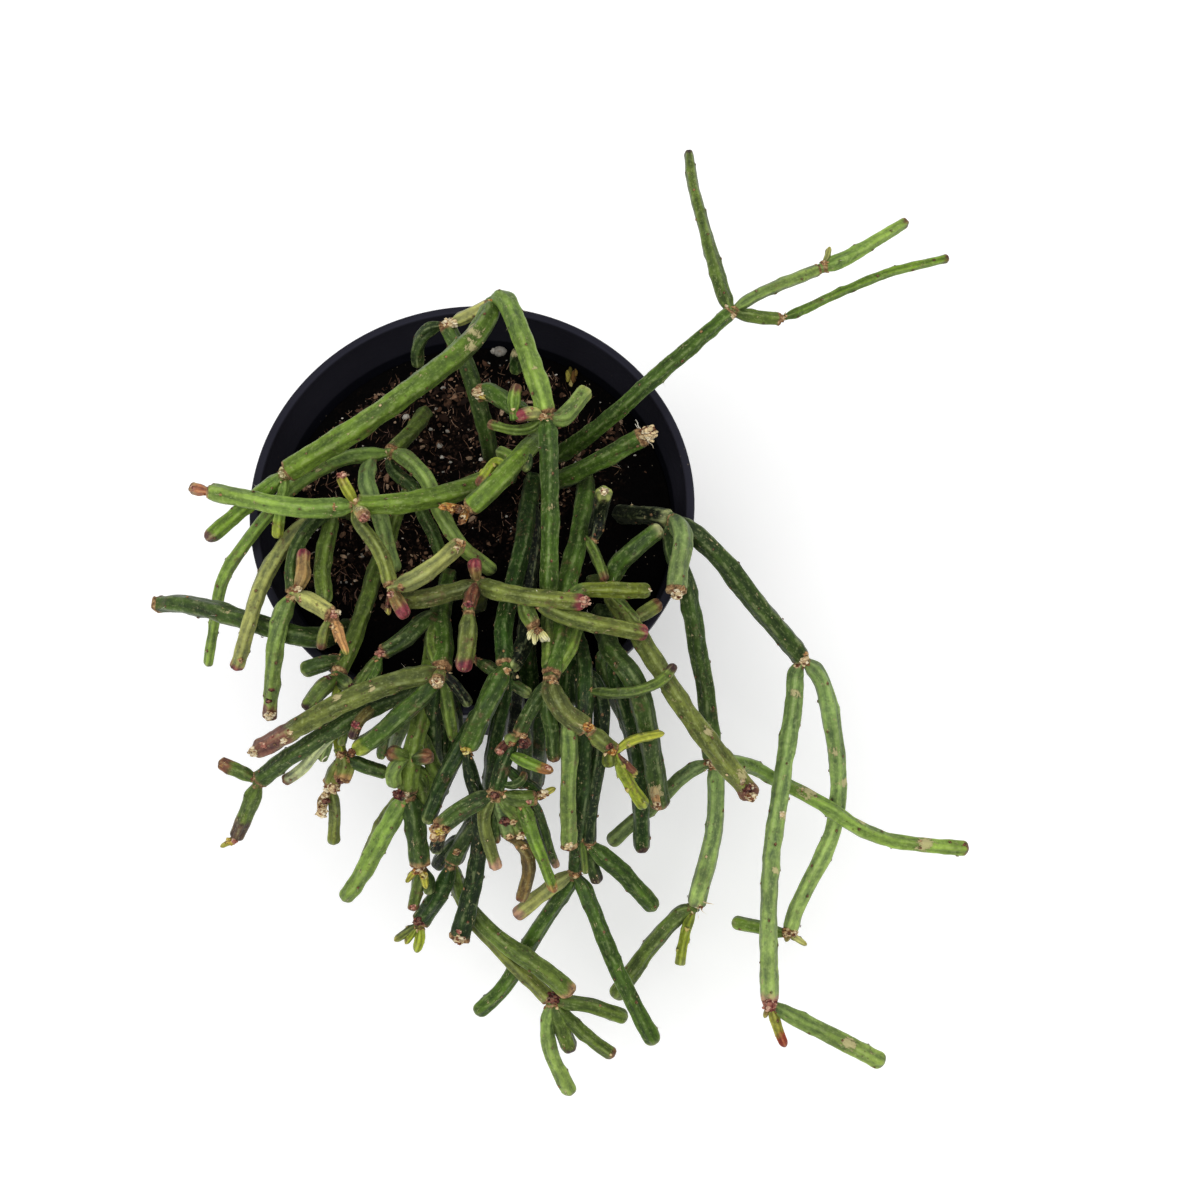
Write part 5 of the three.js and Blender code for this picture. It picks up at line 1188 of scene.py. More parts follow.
@dataclass
class Limb:
    """The fine skin of one stem.

    Attributes:
        stem: The stem.
        view: The viewpoint that it is laid out from.
        seed: Seed of its small unevennesses.
        sides: Points round it.
        step: Distance between rings.
        sink: How far its foot goes back into its parent.
        foot_depth: How far a rooted foot goes down into the soil.
        neck: Where the narrow neck of a branch ends and where it is full, from its foot.
        neck_girth: Share of its width that the neck has.
        ribs: Number of faint ribs.
        rib_height: Their height as a share of the half width.
        rib_twist: Angle by which they turn in each millimetre.
        areole_start: Distance of the first areole from the foot, and that on a young shoot.
        areole_end: Distance of the last areole from the tip, at least.
        areole_step: Distance between areoles along the stem, and along a young shoot.
        areole_stray: How far an areole strays along, in steps, and round, in ribs.
        bump: Height of the swelling under an areole and its reach along the stem, and those of a young shoot.
        bump_spread: Its reach round the stem, as an angle.
        stain: Reach of the stain at an areole, along the stem and round it.
        swellings: Slow swellings along it: height, length of one radian, and how many turns shift it.
        close_rings: How far from the foot the rings stand close, and their distance there.
        cap_share: Share of a short stem's length that the rounding of its end takes at most.
        cap_rings: Rings over the rounding.
        cut_face: Rings over a cut face from its edge in: share of the half width, and relief.
        cork_relief: Relief of corky skin: height, size and seed of each layer.
        skin_relief: Unevenness of all skin, in the same way, as a share of the half width.
        neck_cork: Least and greatest corkiness of a neck.
        neck_cork_at: Distance from the foot at which it is greatest, and its reach.
        end_cork: Where the cork of an end begins and where it is full, from the tip.
        own_shade: Least and greatest share of its stem's colour.
        foot_shade: Share of that at its foot, and what is added towards its tip.
        tip_warmth: What is added to red, green and blue towards its tip.
        patches: Strength and size of slow patches of colour.
        tint_stray: Least and greatest share of the length of an end's tint.
        tint_edge: How far the tint's edge strays, size of the waves in it, and its two soft ends.
        cut_tint: Share of the tint beside a cut face, and where on the face it is full.
    """

    stem: Stem
    view: Viewpoint
    seed: int
    sides: int = 22
    step: float = 0.65
    sink: float = 0.4
    foot_depth: float = 18
    neck: tuple[float, float] = (1.3, 4.6)
    neck_girth: float = 0.62
    ribs: int = 5
    rib_height: float = 0.065
    rib_twist: float = 0.012
    areole_start: tuple[float, float] = (5.0, 1.6)
    areole_end: float = 1.2
    areole_step: tuple[float, float] = (3.7, 1.9)
    areole_stray: tuple[float, float] = (0.2, 0.12)
    bump: tuple[tuple[float, float], tuple[float, float]] = ((0.24, 1.2), (0.34, 0.62))
    bump_spread: float = 0.5
    stain: tuple[float, float] = (0.85, 0.62)
    swellings: Layers = ((0.03, 5.3, 1), (0.015, 1.9, 3))
    close_rings: tuple[float, float] = (3.2, 0.4)
    cap_share: float = 0.6
    cap_rings: int = 6
    cut_face: tuple[tuple[float, float], ...] = ((0.97, 0.16), (0.86, 0.2), (0.6, -0.08), (0.32, 0.04))
    cork_relief: Layers = ((0.16, 1.5, 1), (0.07, 0.7, 2))
    skin_relief: Layers = ((0.05, 6, 3), (0.014, 1.8, 6))
    neck_cork: tuple[float, float] = (0.35, 0.75)
    neck_cork_at: tuple[float, float] = (1.5, 0.9)
    end_cork: tuple[float, float] = (1.9, 0.5)
    own_shade: tuple[float, float] = (0.88, 1.12)
    foot_shade: tuple[float, float] = (0.86, 0.22)
    tip_warmth: tuple[float, float, float] = (0.1, 0.03, -0.06)
    patches: tuple[float, float] = (0.14, 9)
    tint_stray: tuple[float, float] = (0.75, 1.25)
    tint_edge: tuple[float, float, float, float] = (0.5, 1.6, -0.6, 1.0)
    cut_tint: tuple[float, float, float] = (0.35, 0.02, 0.1)

    def __post_init__(self) -> None:
        """Works out the stem's line, its length and its half widths."""
        self.random = np.random.default_rng(self.seed)
        self.line = self._line()
        self.steps = np.linalg.norm(np.diff(self.line, axis=0), axis=1)
        self.marks = np.r_[0, np.cumsum(self.steps)]
        self.length = self.marks[-1]
        way = self.stem.way
        self.halves = np.array(self.stem.widths) / 2 * self.view.widening(way[[0, -1], 2])
        self.ending = self.stem.tip.value
        choices = np.array([[0, 0, 1], [1, 0, 0], [0, 1, 0], [0.6, 0.8, 0], [0.8, -0.6, 0], [0.6, 0, 0.8]])
        ways = unit(np.diff(self.line, axis=0))
        self.sideways = choices[np.abs(ways @ choices.T).max(0).argmin()]
        self.young = self.stem.tone is Tone.LIME or self.stem.tip is Tip.BUD
        self.turn = self.random.uniform(0, 2 * math.pi)
        self.shift = self.random.uniform(0, 200)
        self.areoles_at = self._areoles()

    def _line(self) -> Floats:
        """The stem's middle line in space, with its foot in the soil or in its parent.

        Its inner points are evened with their neighbours as (before + 2 here + after) / 4.

        Returns:
            The points of the line.
        """
        line = self.view.placed(self.stem.way)
        inner = (line[:-2] + 2 * line[1:-1] + line[2:]) / 4
        line = np.concatenate([line[:1], inner, line[-1:]])
        if self.stem.rooted:
            foot = line[[0, 0]] - [[0, 0, self.foot_depth], [0, 0, self.foot_depth / 2]]
            return np.concatenate([foot, line])
        return np.concatenate([line[:1] + unit(line[:1] - line[1:2]) * self.sink, line])

    def middle(self, along: Floats) -> tuple[Floats, Floats]:
        """Points and directions at distances along the line, on cubic spans between its points.

        Args:
            along: Distances from the foot.

        Returns:
            The points and the unit directions.
        """
        line, slopes = self.line, slopes_at(self.line, self.steps)
        span = np.clip(np.searchsorted(self.marks, along) - 1, 0, len(line) - 2)
        size = self.steps[span][:, None]
        t = (along - self.marks[span])[:, None] / size
        s = 1 - t
        chords = (line[span + 1] - line[span]) / size * 6 * t * s
        bends = slopes[span] * s * (1 - 3 * t) + slopes[span + 1] * t * (3 * t - 2)
        return curved(line, slopes, span, size, t), unit(chords + bends)

    def frames(self, along: Floats) -> tuple[Floats, Floats, Floats, Floats]:
        """The middle points, and three axes there: the way, and two across it.

        The first axis across is the fixed sideways direction without its part along the way.

        Args:
            along: Distances from the foot.

        Returns:
            Points, ways, first axes across and second axes across.
        """
        points, ways = self.middle(along)
        first = unit(self.sideways - ways * (ways @ self.sideways)[:, None])
        return points, ways, first, np.cross(ways, first)

    def outward(self, along: Floats, angle: Floats) -> tuple[Floats, Floats, Floats]:
        """The middle points, the ways along, and the ways out: cos a times the first axis + sin a the second.

        Args:
            along: Distances from the foot.
            angle: An angle round the stem at each of them.

        Returns:
            Points, ways along and ways out.
        """
        middle, ways, first, second = self.frames(along)
        return middle, ways, np.cos(angle)[:, None] * first + np.sin(angle)[:, None] * second

    def half(self, along: Floats) -> Floats:
        """Half width at distances from the foot: straight taper, times the neck, the swelling and the tip.

        Args:
            along: Distances from the foot.

        Returns:
            The half widths before the end's rounding.
        """
        taper = self.halves[0] + (self.halves[1] - self.halves[0]) * along / self.length
        if not self.stem.rooted:
            low, high = np.array(self.neck) * min(1, self.length / (1.6 * self.neck[1]))
            taper = taper * (self.neck_girth + (1 - self.neck_girth) * eased(along, low, high))
        waves = [high * np.sin(along / long + times * self.turn) for high, long, times in self.swellings]
        return taper * (1 + sum(waves))

    def stations(self) -> tuple[Floats, Floats, Floats]:
        """Where the rings stand, and how far each is drawn in by the rounding of the end.

        Over the end's cap a ring stands at cap sin a and has the share cos a to the power of its sharpness.
        A cut end gets rings that run in over its face instead.

        Returns:
            Distances from the foot, shares of the half width, and the face's relief along the way.
        """
        cap = min(self.ending.cap * self.halves[1], self.cap_share * self.length)
        body_end = self.length - cap
        close_reach, close_step = self.close_rings
        close = np.arange(0, min(close_reach, body_end / 2), close_step)
        count = max(3, int((body_end - close[-1]) / self.step) + 1)
        body = np.concatenate([close[:-1], np.linspace(close[-1], body_end, count)])
        if cap == 0:
            face, relief = np.array(self.cut_face).T
            along = np.r_[body, np.full(len(face), self.length)]
            return along, np.r_[np.ones(len(body)), face], np.r_[np.zeros(len(body)), relief]
        angles = np.linspace(0, math.pi / 2, self.cap_rings + 2)[1:-1]
        along = np.r_[body, body_end + cap * np.sin(angles)]
        share = np.r_[np.ones(len(body)), np.cos(angles) ** self.ending.sharpness]
        return along, share, np.zeros(len(along))

    def _areoles(self) -> tuple[Floats, Floats]:
        """Distances along the stem and angles round it of its areoles, on a loose spiral over the ribs.

        Returns:
            The distances and the angles.
        """
        start = self.areole_start[self.young] + (self.foot_depth if self.stem.rooted else 0)
        step = self.areole_step[self.young]
        stray, stray_round = self.areole_stray
        along = np.arange(start, self.length - self.areole_end, step)
        along = along + self.random.uniform(-stray, stray, len(along)) * step
        rib = (np.arange(len(along)) * 2) % self.ribs
        rib = rib + self.random.uniform(-stray_round, stray_round, len(along))
        return along, self.turn + rib * 2 * math.pi / self.ribs

    def rib_turn(self, along: Floats) -> Floats:
        """Angle by which the ribs have turned at distances along the stem."""
        return self.turn + self.rib_twist * along

    def _relief(self, places: Floats, layers: Layers) -> Floats:
        """Layers of ripples over each other, each of its height, size and seed."""
        return sum(high * ripples(places, size, self.seed + seed) for high, size, seed in layers)

    def skin(self) -> Shape:
        """Carries the section along the line: half width times the ribs, with the bumps and the cork on it.

        Returns:
            The closed skin, with its paints.
        """
        along, share, relief = self.stations()
        middle, ways, first, second = self.frames(along)
        angle = np.arange(self.sides) * 2 * math.pi / self.sides
        half = self.half(along) * share
        ribs = 1 + self.rib_height * np.cos(self.ribs * (angle[None] - self.rib_turn(along)[:, None]))
        across = np.cos(angle)[:, None] * first[:, None] + np.sin(angle)[:, None] * second[:, None]
        rough = middle[:, None] + across * half[:, None, None]
        lumps = self._relief(rough, self.cork_relief) * self._cork(along)[:, None]
        girth = half[:, None] * (ribs + self._relief(rough, self.skin_relief))
        girth = girth + (self._bumps(along, angle) + lumps) * share[:, None]
        centres = middle + ways * relief[:, None]
        points = centres[:, None] + across * girth[..., None]
        poles = [self.middle(np.zeros(1))[0], self.middle(np.full(1, self.length))[0] + ways[-1:] * 0.04]
        quads, triangles = grid_faces(len(along), self.sides)
        rows = np.concatenate([[0], np.repeat(along, self.sides), [self.length]])
        turns = np.concatenate([[0], np.tile(angle, len(along)), [0]]) - self.rib_turn(rows)
        places = np.concatenate([poles[0], points.reshape(-1, 3), poles[1]])
        face = np.concatenate([[1], np.repeat(share, self.sides), [0]])
        paint = {
            "tone": self._tone(rows, places, face),
            "cork": self._cork(rows),
            "grain": np.stack([np.cos(turns), np.sin(turns), rows + self.shift], -1),
            "scar": self._scars(places),
            "mark": np.concatenate([[0], self._marks(along, angle).ravel(), [0]]),
        }
        return Shape(places, quads, triangles, paint)

    def _near_areoles(self, along: Floats, angle: Floats, reach: float, spread: float | Floats) -> Floats:
        """How near the skin is to each areole: exp(-(way / reach) squared - (angle / spread) squared).

        Args:
            along: Distances of the rings.
            angle: Angles of the sides.
            reach: Reach along the stem.
            spread: Reach round it, as an angle.

        Returns:
            Shares from 0 to 1, by ring, side and areole.
        """
        spots, turns = self.areoles_at
        lengthwise = (along[:, None, None] - spots) / reach
        crosswise = (np.mod(angle[:, None] - turns + math.pi, 2 * math.pi) - math.pi) / spread
        return np.exp(-(lengthwise**2) - crosswise**2)

    def _bumps(self, along: Floats, angle: Floats) -> Floats:
        """How far the swellings under the areoles stand out, by ring and side."""
        height, reach = self.bump[self.young]
        return height * self._near_areoles(along, angle, reach, self.bump_spread).sum(-1)

    def _marks(self, along: Floats, angle: Floats) -> Floats:
        """How stained the skin is round the areoles: 1 at one of them, over the stain's reach round it.

        Args:
            along: Distances of the rings.
            angle: Angles of the sides.

        Returns:
            Shares from 0 to 1, by ring and side.
        """
        reach, width = self.stain
        spread = width / self.half(along)[:, None, None]
        return self._near_areoles(along, angle, reach, spread).max(-1, initial=0)

    def _cork(self, along: Floats) -> Floats:
        """How corky the skin is: round the neck of a branch, and over a corky end.

        Args:
            along: Distances from the foot.

        Returns:
            Shares from 0 to 1.
        """
        least, most = self.neck_cork
        strength = 0 if self.stem.rooted else least + (most - least) * math.cos(self.turn) ** 2
        at, reach = self.neck_cork_at
        neck = strength * np.exp(-(((along - at) / reach) ** 2))
        begin, full = self.end_cork
        return np.clip(neck + self.ending.cork * eased(along, self.length - begin, self.length - full), 0, 1)

    def _tone(self, along: Floats, places: Floats, face: Floats) -> Floats:
        """Colour of the skin: the stem's own, warmer towards its tip, in patches, with the end's tint.

        Args:
            along: Distance from the foot at each point.
            places: The points.
            face: How far each point is drawn in at the end.

        Returns:
            Linear colours.
        """
        own = linear(self.stem.tone.value) * self.random.uniform(*self.own_shade)
        share = eased(along, 0, self.length)[:, None]
        foot, more = self.foot_shade
        strength, size = self.patches
        colour = own * (foot + more * share) * (1 + self.tip_warmth * share)
        colour = colour * (1 + strength * ripples(places, size, self.seed + 4)[:, None])
        if self.ending.tint:
            start = self.length - self.ending.tint_length * self.random.uniform(*self.tint_stray)
            stray, wave, low, high = self.tint_edge
            weight = eased(along + stray * ripples(places, wave, self.seed + 5), start + low, start + high)
            if self.stem.tip is Tip.CUT:
                beside, begin, full = self.cut_tint
                weight = np.maximum(beside * weight, eased(1 - face, begin, full))
            colour = colour + (linear(self.ending.tint) - colour) * weight[:, None]
        return np.clip(colour, 0.003, 1)

    def _scars(self, places: Floats) -> Floats:
        """Pale scars: 1 - distance / reach from each spot of the table, as the point is seen.

        Args:
            places: The points.

        Returns:
            Shares from 0 to 1.
        """
        marks = np.array(SCARS, float)
        far = np.linalg.norm(self.view.seen(places)[:, None] - marks[:, :2], axis=-1)
        return np.clip(1 - far / marks[:, 2], 0, 1).max(1)


@dataclass
class Plant:
    """The plant: one skin for each spray, with the areoles, bristles and calluses on it.

    Attributes:
        view: The viewpoint that it is laid out from.
        slots: The record's slot of each spray.
        areole_size: Half width of an areole.
        areole_colours: Their colours: a share and a screen colour of each.
        areole_form: Their half widths along the stem, across it and outwards, as shares of that.
        bristle_length: Length of a bristle.
        bristle_width: Half width of a bristle at its foot.
        bristly: Share of the areoles that have a bristle, and what is added to it on young stems.
        bristle_lean: How far bristles lean along the stem and at random, for 1 outwards.
        core_share: Width of a callus's core as a share of its own.
        crumbs: Fewest crumbs on a callus, and how many more one of 1 mm has.
        crumb_form: Three half widths of a crumb.
        callus_shares: Shares of the crumbs in a callus's main colour, in its flakes' and in its pits'.
        callus_place: How far round its spot the stem that carries a callus or thread is looked for, how far
            aside of the stem's middle it sits, and how high on the skin, as shares of the half width.
        bract_colours: Colours of the dry scales, by share.
        thread_width: Half width of a thread.
        thread_bend: How far threads are bent.
        tooth_colour: The paler screen colour that teeth are mixed with.
        seed: Seed of all that is uneven.
    """

    view: Viewpoint
    slots: dict[str, str]
    areole_size: float = 0.29
    areole_colours: Palette = (
        (0.6, (66, 46, 32)), (0.26, (82, 48, 38)), (0.1, (140, 104, 68)), (0.04, (206, 184, 140)),
    )
    areole_form: tuple[float, float, float] = (1.25, 1, 0.6)
    bristle_length: float = 1.5
    bristle_width: float = 0.035
    bristly: tuple[float, float] = (0.22, 0.4)
    bristle_lean: tuple[float, float] = (0.55, 0.45)
    core_share: float = 0.84
    crumbs: tuple[int, int] = (12, 22)
    crumb_form: tuple[float, float, float] = (1.6, 1.0, 0.55)
    callus_shares: tuple[float, float, float] = (0.5, 0.32, 0.18)
    callus_place: tuple[float, float, float] = (1.6, 0.75, 0.8)
    bract_colours: Palette = (
        (0.3, Lump.CREAM.value.main), (0.3, Lump.TAN.value.main),
        (0.25, Lump.BROWN.value.main), (0.15, Lump.MAROON.value.main),
    )
    thread_width: float = 0.13
    thread_bend: float = 0.32
    tooth_colour: Colour = (204, 184, 112)
    seed: int = 7

    def __post_init__(self) -> None:
        """Lays the stems out and works out their lines."""
        stems = Layout(self.view).stems()
        self.limbs = [Limb(stem, self.view, self.seed + 10 * k) for k, stem in enumerate(stems)]
        alongs = [np.linspace(0, limb.length, 60) for limb in self.limbs]
        self.lines = np.concatenate([limb.middle(along)[0] for limb, along in zip(self.limbs, alongs)])
        self.halves = np.concatenate([limb.half(along) for limb, along in zip(self.limbs, alongs)])
        self.shown = self.view.seen(self.lines)
        self.random = np.random.default_rng(self.seed)

    def build(self) -> None:
        """Makes the pieces and dresses them."""
        skins = {slot: finish.material() for slot, finish in STEM_FINISHES.items()}
        for spray in SPRAYS:
            own = [limb.skin() for limb in self.limbs if limb.stem.spray == spray]
            slot = self.slots[spray]
            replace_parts(Shape.joined(own).piece(f"{spray}_skin", skins[slot], slot), spray)
        self._areoles().piece("areoles", AreoleFinish().material(), "deep_stem")
        self._bristles().piece("bristles", BristleFinish().material(), "bright_stem")
        self._calluses().piece("calluses", CallusFinish().material(), "olive_stem")
        self._bracts().piece("bracts", AreoleFinish().material(), "olive_stem")
        self._threads().piece("threads", BristleFinish().material(), "bright_stem")

    def _spots(self) -> tuple[Floats, Floats, Floats, Floats]:
        """Where the areoles sit on the skins, the way out there, the way along, and the stem's kind.

        Returns:
            Points, outward ways, ways along, and for each whether its stem is young.
        """
        found = []
        for limb in self.limbs:
            along, angle = limb.areoles_at
            if not len(along):
                continue
            middle, ways, out = limb.outward(along, angle)
            half = limb.half(along) * (1 + limb.rib_height) + 0.1
            young = np.full(len(along), float(limb.stem.tone in (Tone.LIME, Tone.YELLOW, Tone.BRIGHT)))
            found.append((middle + out * half[:, None], out, ways, young))
        return tuple(np.concatenate(column) for column in zip(*found))

    def _areoles(self) -> Shape:
        """Low domes on the stems, plum-brown with some woolly cream ones.

        Returns:
            All the areoles.
        """
        dome = turned([[0, -0.5], [0.95, -0.35], [1, 0.05], [0.7, 0.5], [0, 0.72]], 6)
        points, out, ways, _ = self._spots()
        size = self.areole_size * self.random.uniform(0.7, 1.3, (len(points), 1, 1))
        frames = np.stack([ways, np.cross(out, ways), out], -1) * self.areole_form * size
        return dome.copies(points, frames, {"tone": picked(self.random, len(points), self.areole_colours)})

    def _bristles(self) -> Shape:
        """Fine needles that stand out of some areoles.

        Returns:
            All the bristles.
        """
        needle = turned([[0, 0], [1, 0.02], [0.7, 0.5], [0, 1]], 3)
        points, out, ways, young = self._spots()
        share, more = self.bristly
        chosen = self.random.random(len(points)) < share + more * young
        points, out, ways = points[chosen], out[chosen], ways[chosen]
        lengthwise, stray = self.bristle_lean
        lean = unit(out + lengthwise * ways + stray * self.random.normal(size=out.shape))
        side = unit(np.cross(lean, ways))
        length = self.bristle_length * self.random.uniform(0.5, 1.2, (len(points), 1))
        return needle.copies(points, axes(side, lean, self.bristle_width, self.bristle_width, length), {})

    def _calluses(self) -> Shape:
        """Corky clusters, each on the stem that shows nearest to its spot: a core under a crust of crumbs.

        Returns:
            All the clusters.
        """
        core, crumb = ball(7, 12), ball(3, 6)
        made = []
        for right, away, width, colour in CALLUSES:
            place, up, size = self._shown_side(right, away, width)
            cork = Lump[colour.upper()].value
            under = 0.45 * linear([cork.main]) + 0.55 * linear([cork.pits])
            frame = random_frames(self.random, 1) * size * self.core_share
            made.append(core.copies(place, frame, {"tone": under}))
            fewest, more = self.crumbs
            count = fewest + int(more * size**1.6)
            ways = unit(self.random.normal(size=(count, 3)) + 0.7 * up)
            places = place + ways * size * self.random.uniform(0.66, 0.96, (count, 1))
            sizes = size**0.5 * self.random.uniform(0.16, 0.34, (count, 1, 1))
            frames = random_frames(self.random, count) * sizes * np.array(self.crumb_form)[:, None]
            palette = tuple(zip(self.callus_shares, (cork.main, cork.flakes, cork.pits)))
            tones = picked(self.random, count, palette) * self.random.uniform(0.75, 1.1, (count, 1))
            made.append(crumb.copies(places, frames, {"tone": tones}))
        return Shape.joined(made).shaken(0.13, 0.9, self.seed + 51, 16)

    def _shown_side(self, right: float, away: float, width: float) -> tuple[Floats, Floats, float]:
        """The spot of a stem's skin that shows at a place, on the uppermost stem there.

        It lies no further off the stem's middle than most of the half width, and up on the round of the skin
        by the root of (half width squared - distance squared).

        Args:
            right: Where it is seen, to the right.
            away: Where it is seen, away.
            width: Seen width of what sits there.

        Returns:
            The spot, the way to the eye and half the true width.
        """
        far = np.linalg.norm(self.shown - (right, away), axis=1)
        reach, most, high = self.callus_place
        near = far < far.min() + reach
        best = np.flatnonzero(near)[self.lines[near, 2].argmax()]
        spot = np.array([[right, away, self.lines[best, 2]]], float)
        middle, half = self.lines[best], self.halves[best]
        aside = self.view.placed(spot) - middle
        aside = aside * min(1, most * half / max(np.linalg.norm(aside), 1e-6))
        up = unit(np.array(self.view.place) - middle)[None]
        rise = math.sqrt(half**2 - float((aside**2).sum()))
        return middle + aside + up * rise * high, up, width / 2 * self.view.widening(spot[:, 2])[0]

    def _bracts(self) -> Shape:
        """Dry little scales that stand off the joints, and the soft teeth of the young shoots: flat drops.

        A scale leans by way + 0.75 out of its neck, a tooth by way + 0.6 out of its areole.

        Returns:
            All the scales and teeth.
        """
        scale = turned([[0, -0.2], [0.8, 0.1], [1, 0.45], [0.55, 1.1], [0, 1.7]], 6)
        found = []
        teeth = []
        for limb in self.limbs:
            if limb.young and len(limb.areoles_at[0]):
                teeth.append(self._teeth(limb, scale))
            if limb.stem.rooted:
                continue
            count = int(self.random.integers(2, 6))
            along = self.random.uniform(0.7, min(2.6, 0.5 * limb.length), count)
            angle = self.random.uniform(0, 2 * math.pi, count)
            middle, ways, out = limb.outward(along, angle)
            found.append((middle + out * limb.half(along)[:, None] * 0.93, out, ways))
        points, out, ways = (np.concatenate(column) for column in zip(*found))
        lean = unit(ways * self.random.choice([-1, 1, 1], (len(points), 1)) + out * 0.75)
        side = unit(np.cross(lean, ways))
        size = self.random.uniform(0.28, 0.62, (len(points), 1))
        tones = picked(self.random, len(points), self.bract_colours)
        scales = scale.copies(points, axes(side, lean, size, size * 0.22, size), {"tone": tones})
        return Shape.joined([scales, *teeth])

    def _teeth(self, limb: Limb, scale: Shape) -> Shape:
        """The teeth of one young shoot, each of its colour and a little paler.

        Args:
            limb: The shoot.
            scale: The flat drop.

        Returns:
            Its teeth.
        """
        along, angle = limb.areoles_at
        middle, ways, out = limb.outward(along, angle)
        half = limb.half(along)[:, None]
        lean = unit(ways + 0.6 * out)
        side = unit(np.cross(lean, out))
        size = self.random.uniform(0.4, 0.75, (len(along), 1)) * np.minimum(half, 1.4) / 1.2
        share = self.random.uniform(0.1, 0.7, (len(along), 1))
        tones = linear(limb.stem.tone.value) * (1 - share) + linear(self.tooth_colour) * share
        frames = axes(side, lean, size, size * 0.45, size)
        return scale.copies(middle + out * half * 0.95, frames, {"tone": tones})

    def _threads(self) -> Shape:
        """Dry white threads on some wounds: long needles, bent by ripples along them.

        Returns:
            All the threads.
        """
        thread = turned([[0, 0], *[[1 - 0.6 * t, t] for t in np.linspace(0.02, 0.95, 12)], [0, 1]], 5)
        made = []
        for right, away, turn, length in THREADS:
            place, up, _ = self._shown_side(right, away, 1)
            way = np.array([[math.cos(math.radians(turn)), math.sin(math.radians(turn)), 0.12]])
            frames = axes(unit(np.cross(way, up)), way, self.thread_width, self.thread_width, length)
            made.append(thread.copies(place, frames, {}))
        return Shape.joined(made).shaken(self.thread_bend, 3, 61)


@dataclass
class Pot:
    """The moulded pot. Sizes are those of its solid.

    Attributes:
        rim_radius: Outer radius of the rim.
        height: Height of the pot.
        foot_radius: Outer radius of the foot.
        rim_width: Width of the lip.
        rim_band: Height of the band under the lip.
        band_step: How far the band stands out over the wall.
        wall: Thickness of the wall.
        floor: Thickness of the floor.
        drains: Number of drain holes.
        drain_radius: Their radius.
        drain_ring: Radius of the ring that they stand on.
        sides: Points round the pot.
    """

    rim_radius: float = 54
    height: float = 88
    foot_radius: float = 36
    rim_width: float = 2.2
    rim_band: float = 6
    band_step: float = 1.2
    wall: float = 1.2
    floor: float = 1.6
    drains: int = 8
    drain_radius: float = 3.2
    drain_ring: float = 25
    sides: int = 144

    def bore(self, height: float) -> float:
        """Inner radius of the wall: the straight outer taper minus the wall, and never over the lip's.

        Args:
            height: Height over the foot.

        Returns:
            The radius.
        """
        top = self.rim_radius - self.band_step
        outer = self.foot_radius + (top - self.foot_radius) * height / self.height
        return min(outer - self.wall, self.rim_radius - self.rim_width)

    def profile(self) -> list:
        """Outline from the axis under the floor, up the outside, over the lip, down the inside to the axis.

        Returns:
            Its [radius, height] points.
        """
        under = self.height - self.rim_band
        shoulder = self.bore(under) + self.wall
        mouth = self.rim_radius - self.rim_width
        return [
            [0, 0.5],
            [8, 0.5],
            [17, 0.5],
            [30, 0.5],
            *arc((32, 0.5), 0.5, 180, 270, 4),
            *arc((self.foot_radius - 1.5, 1.5), 1.5, -90, -8, 7),
            [self.foot_radius + 3.9, 20],
            [self.foot_radius + 8.2, 43],
            [shoulder - 1.5, under - 8],
            [shoulder - 0.1, under - 0.5],
            [shoulder + 0.4, under],
            *arc((self.rim_radius - 1.2, under + 0.5), 0.5, -90, 0, 4),
            *arc((self.rim_radius - 0.55, self.height - 2.6), 0.4, -40, 0, 3),
            *arc((self.rim_radius - 0.7, self.height - 0.7), 0.7, 0, 90, 7),
            *arc((mouth + 0.6, self.height - 0.6), 0.6, 90, 180, 6),
            [mouth - 0.25, self.height - 2.5],
            [self.bore(under) + 0.2, under + 0.6],
            [self.bore(under - 1), under - 1],
            [self.bore(70), 70],
            [self.bore(40), 40],
            *arc((self.bore(self.floor) - 1.2, self.floor + 1.2), 1.2, 0, -90, 5),
            [17, self.floor],
            [8, self.floor],
            [0, self.floor],
        ]

    def build(self) -> None:
        """Turns the pot, cuts its drain holes and dresses it."""
        pot = turned(self.profile(), self.sides).piece("nursery_pot", PotFinish().material(), "pot_plastic")
        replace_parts(pot, "pot")
        angles = (np.arange(self.drains) + 0.5) * 2 * math.pi / self.drains
        places = self.drain_ring * np.stack([np.cos(angles), np.sin(angles), 0 * angles], -1)
        bit = turned([[0, -3], [self.drain_radius, -3], [self.drain_radius, 6], [0, 6]], 32)
        frames = np.broadcast_to(np.eye(3), (self.drains, 3, 3))
        cutter = bit.copies(places, frames, {}).piece("drain_cutter", pot.data.materials[0], "pot_plastic")
        cut = pot.modifiers.new("drains", "BOOLEAN")
        cut.operation = "DIFFERENCE"
        cut.solver = "EXACT"
        cut.object = cutter
        graph = bpy.context.evaluated_depsgraph_get()
        whole = pot.data
        pot.data = bpy.data.meshes.new_from_object(pot.evaluated_get(graph))
        pot.modifiers.clear()
        bpy.data.objects.remove(cutter)
        bpy.data.meshes.remove(whole)
        pot.data.set_sharp_from_angle(angle=math.radians(38))


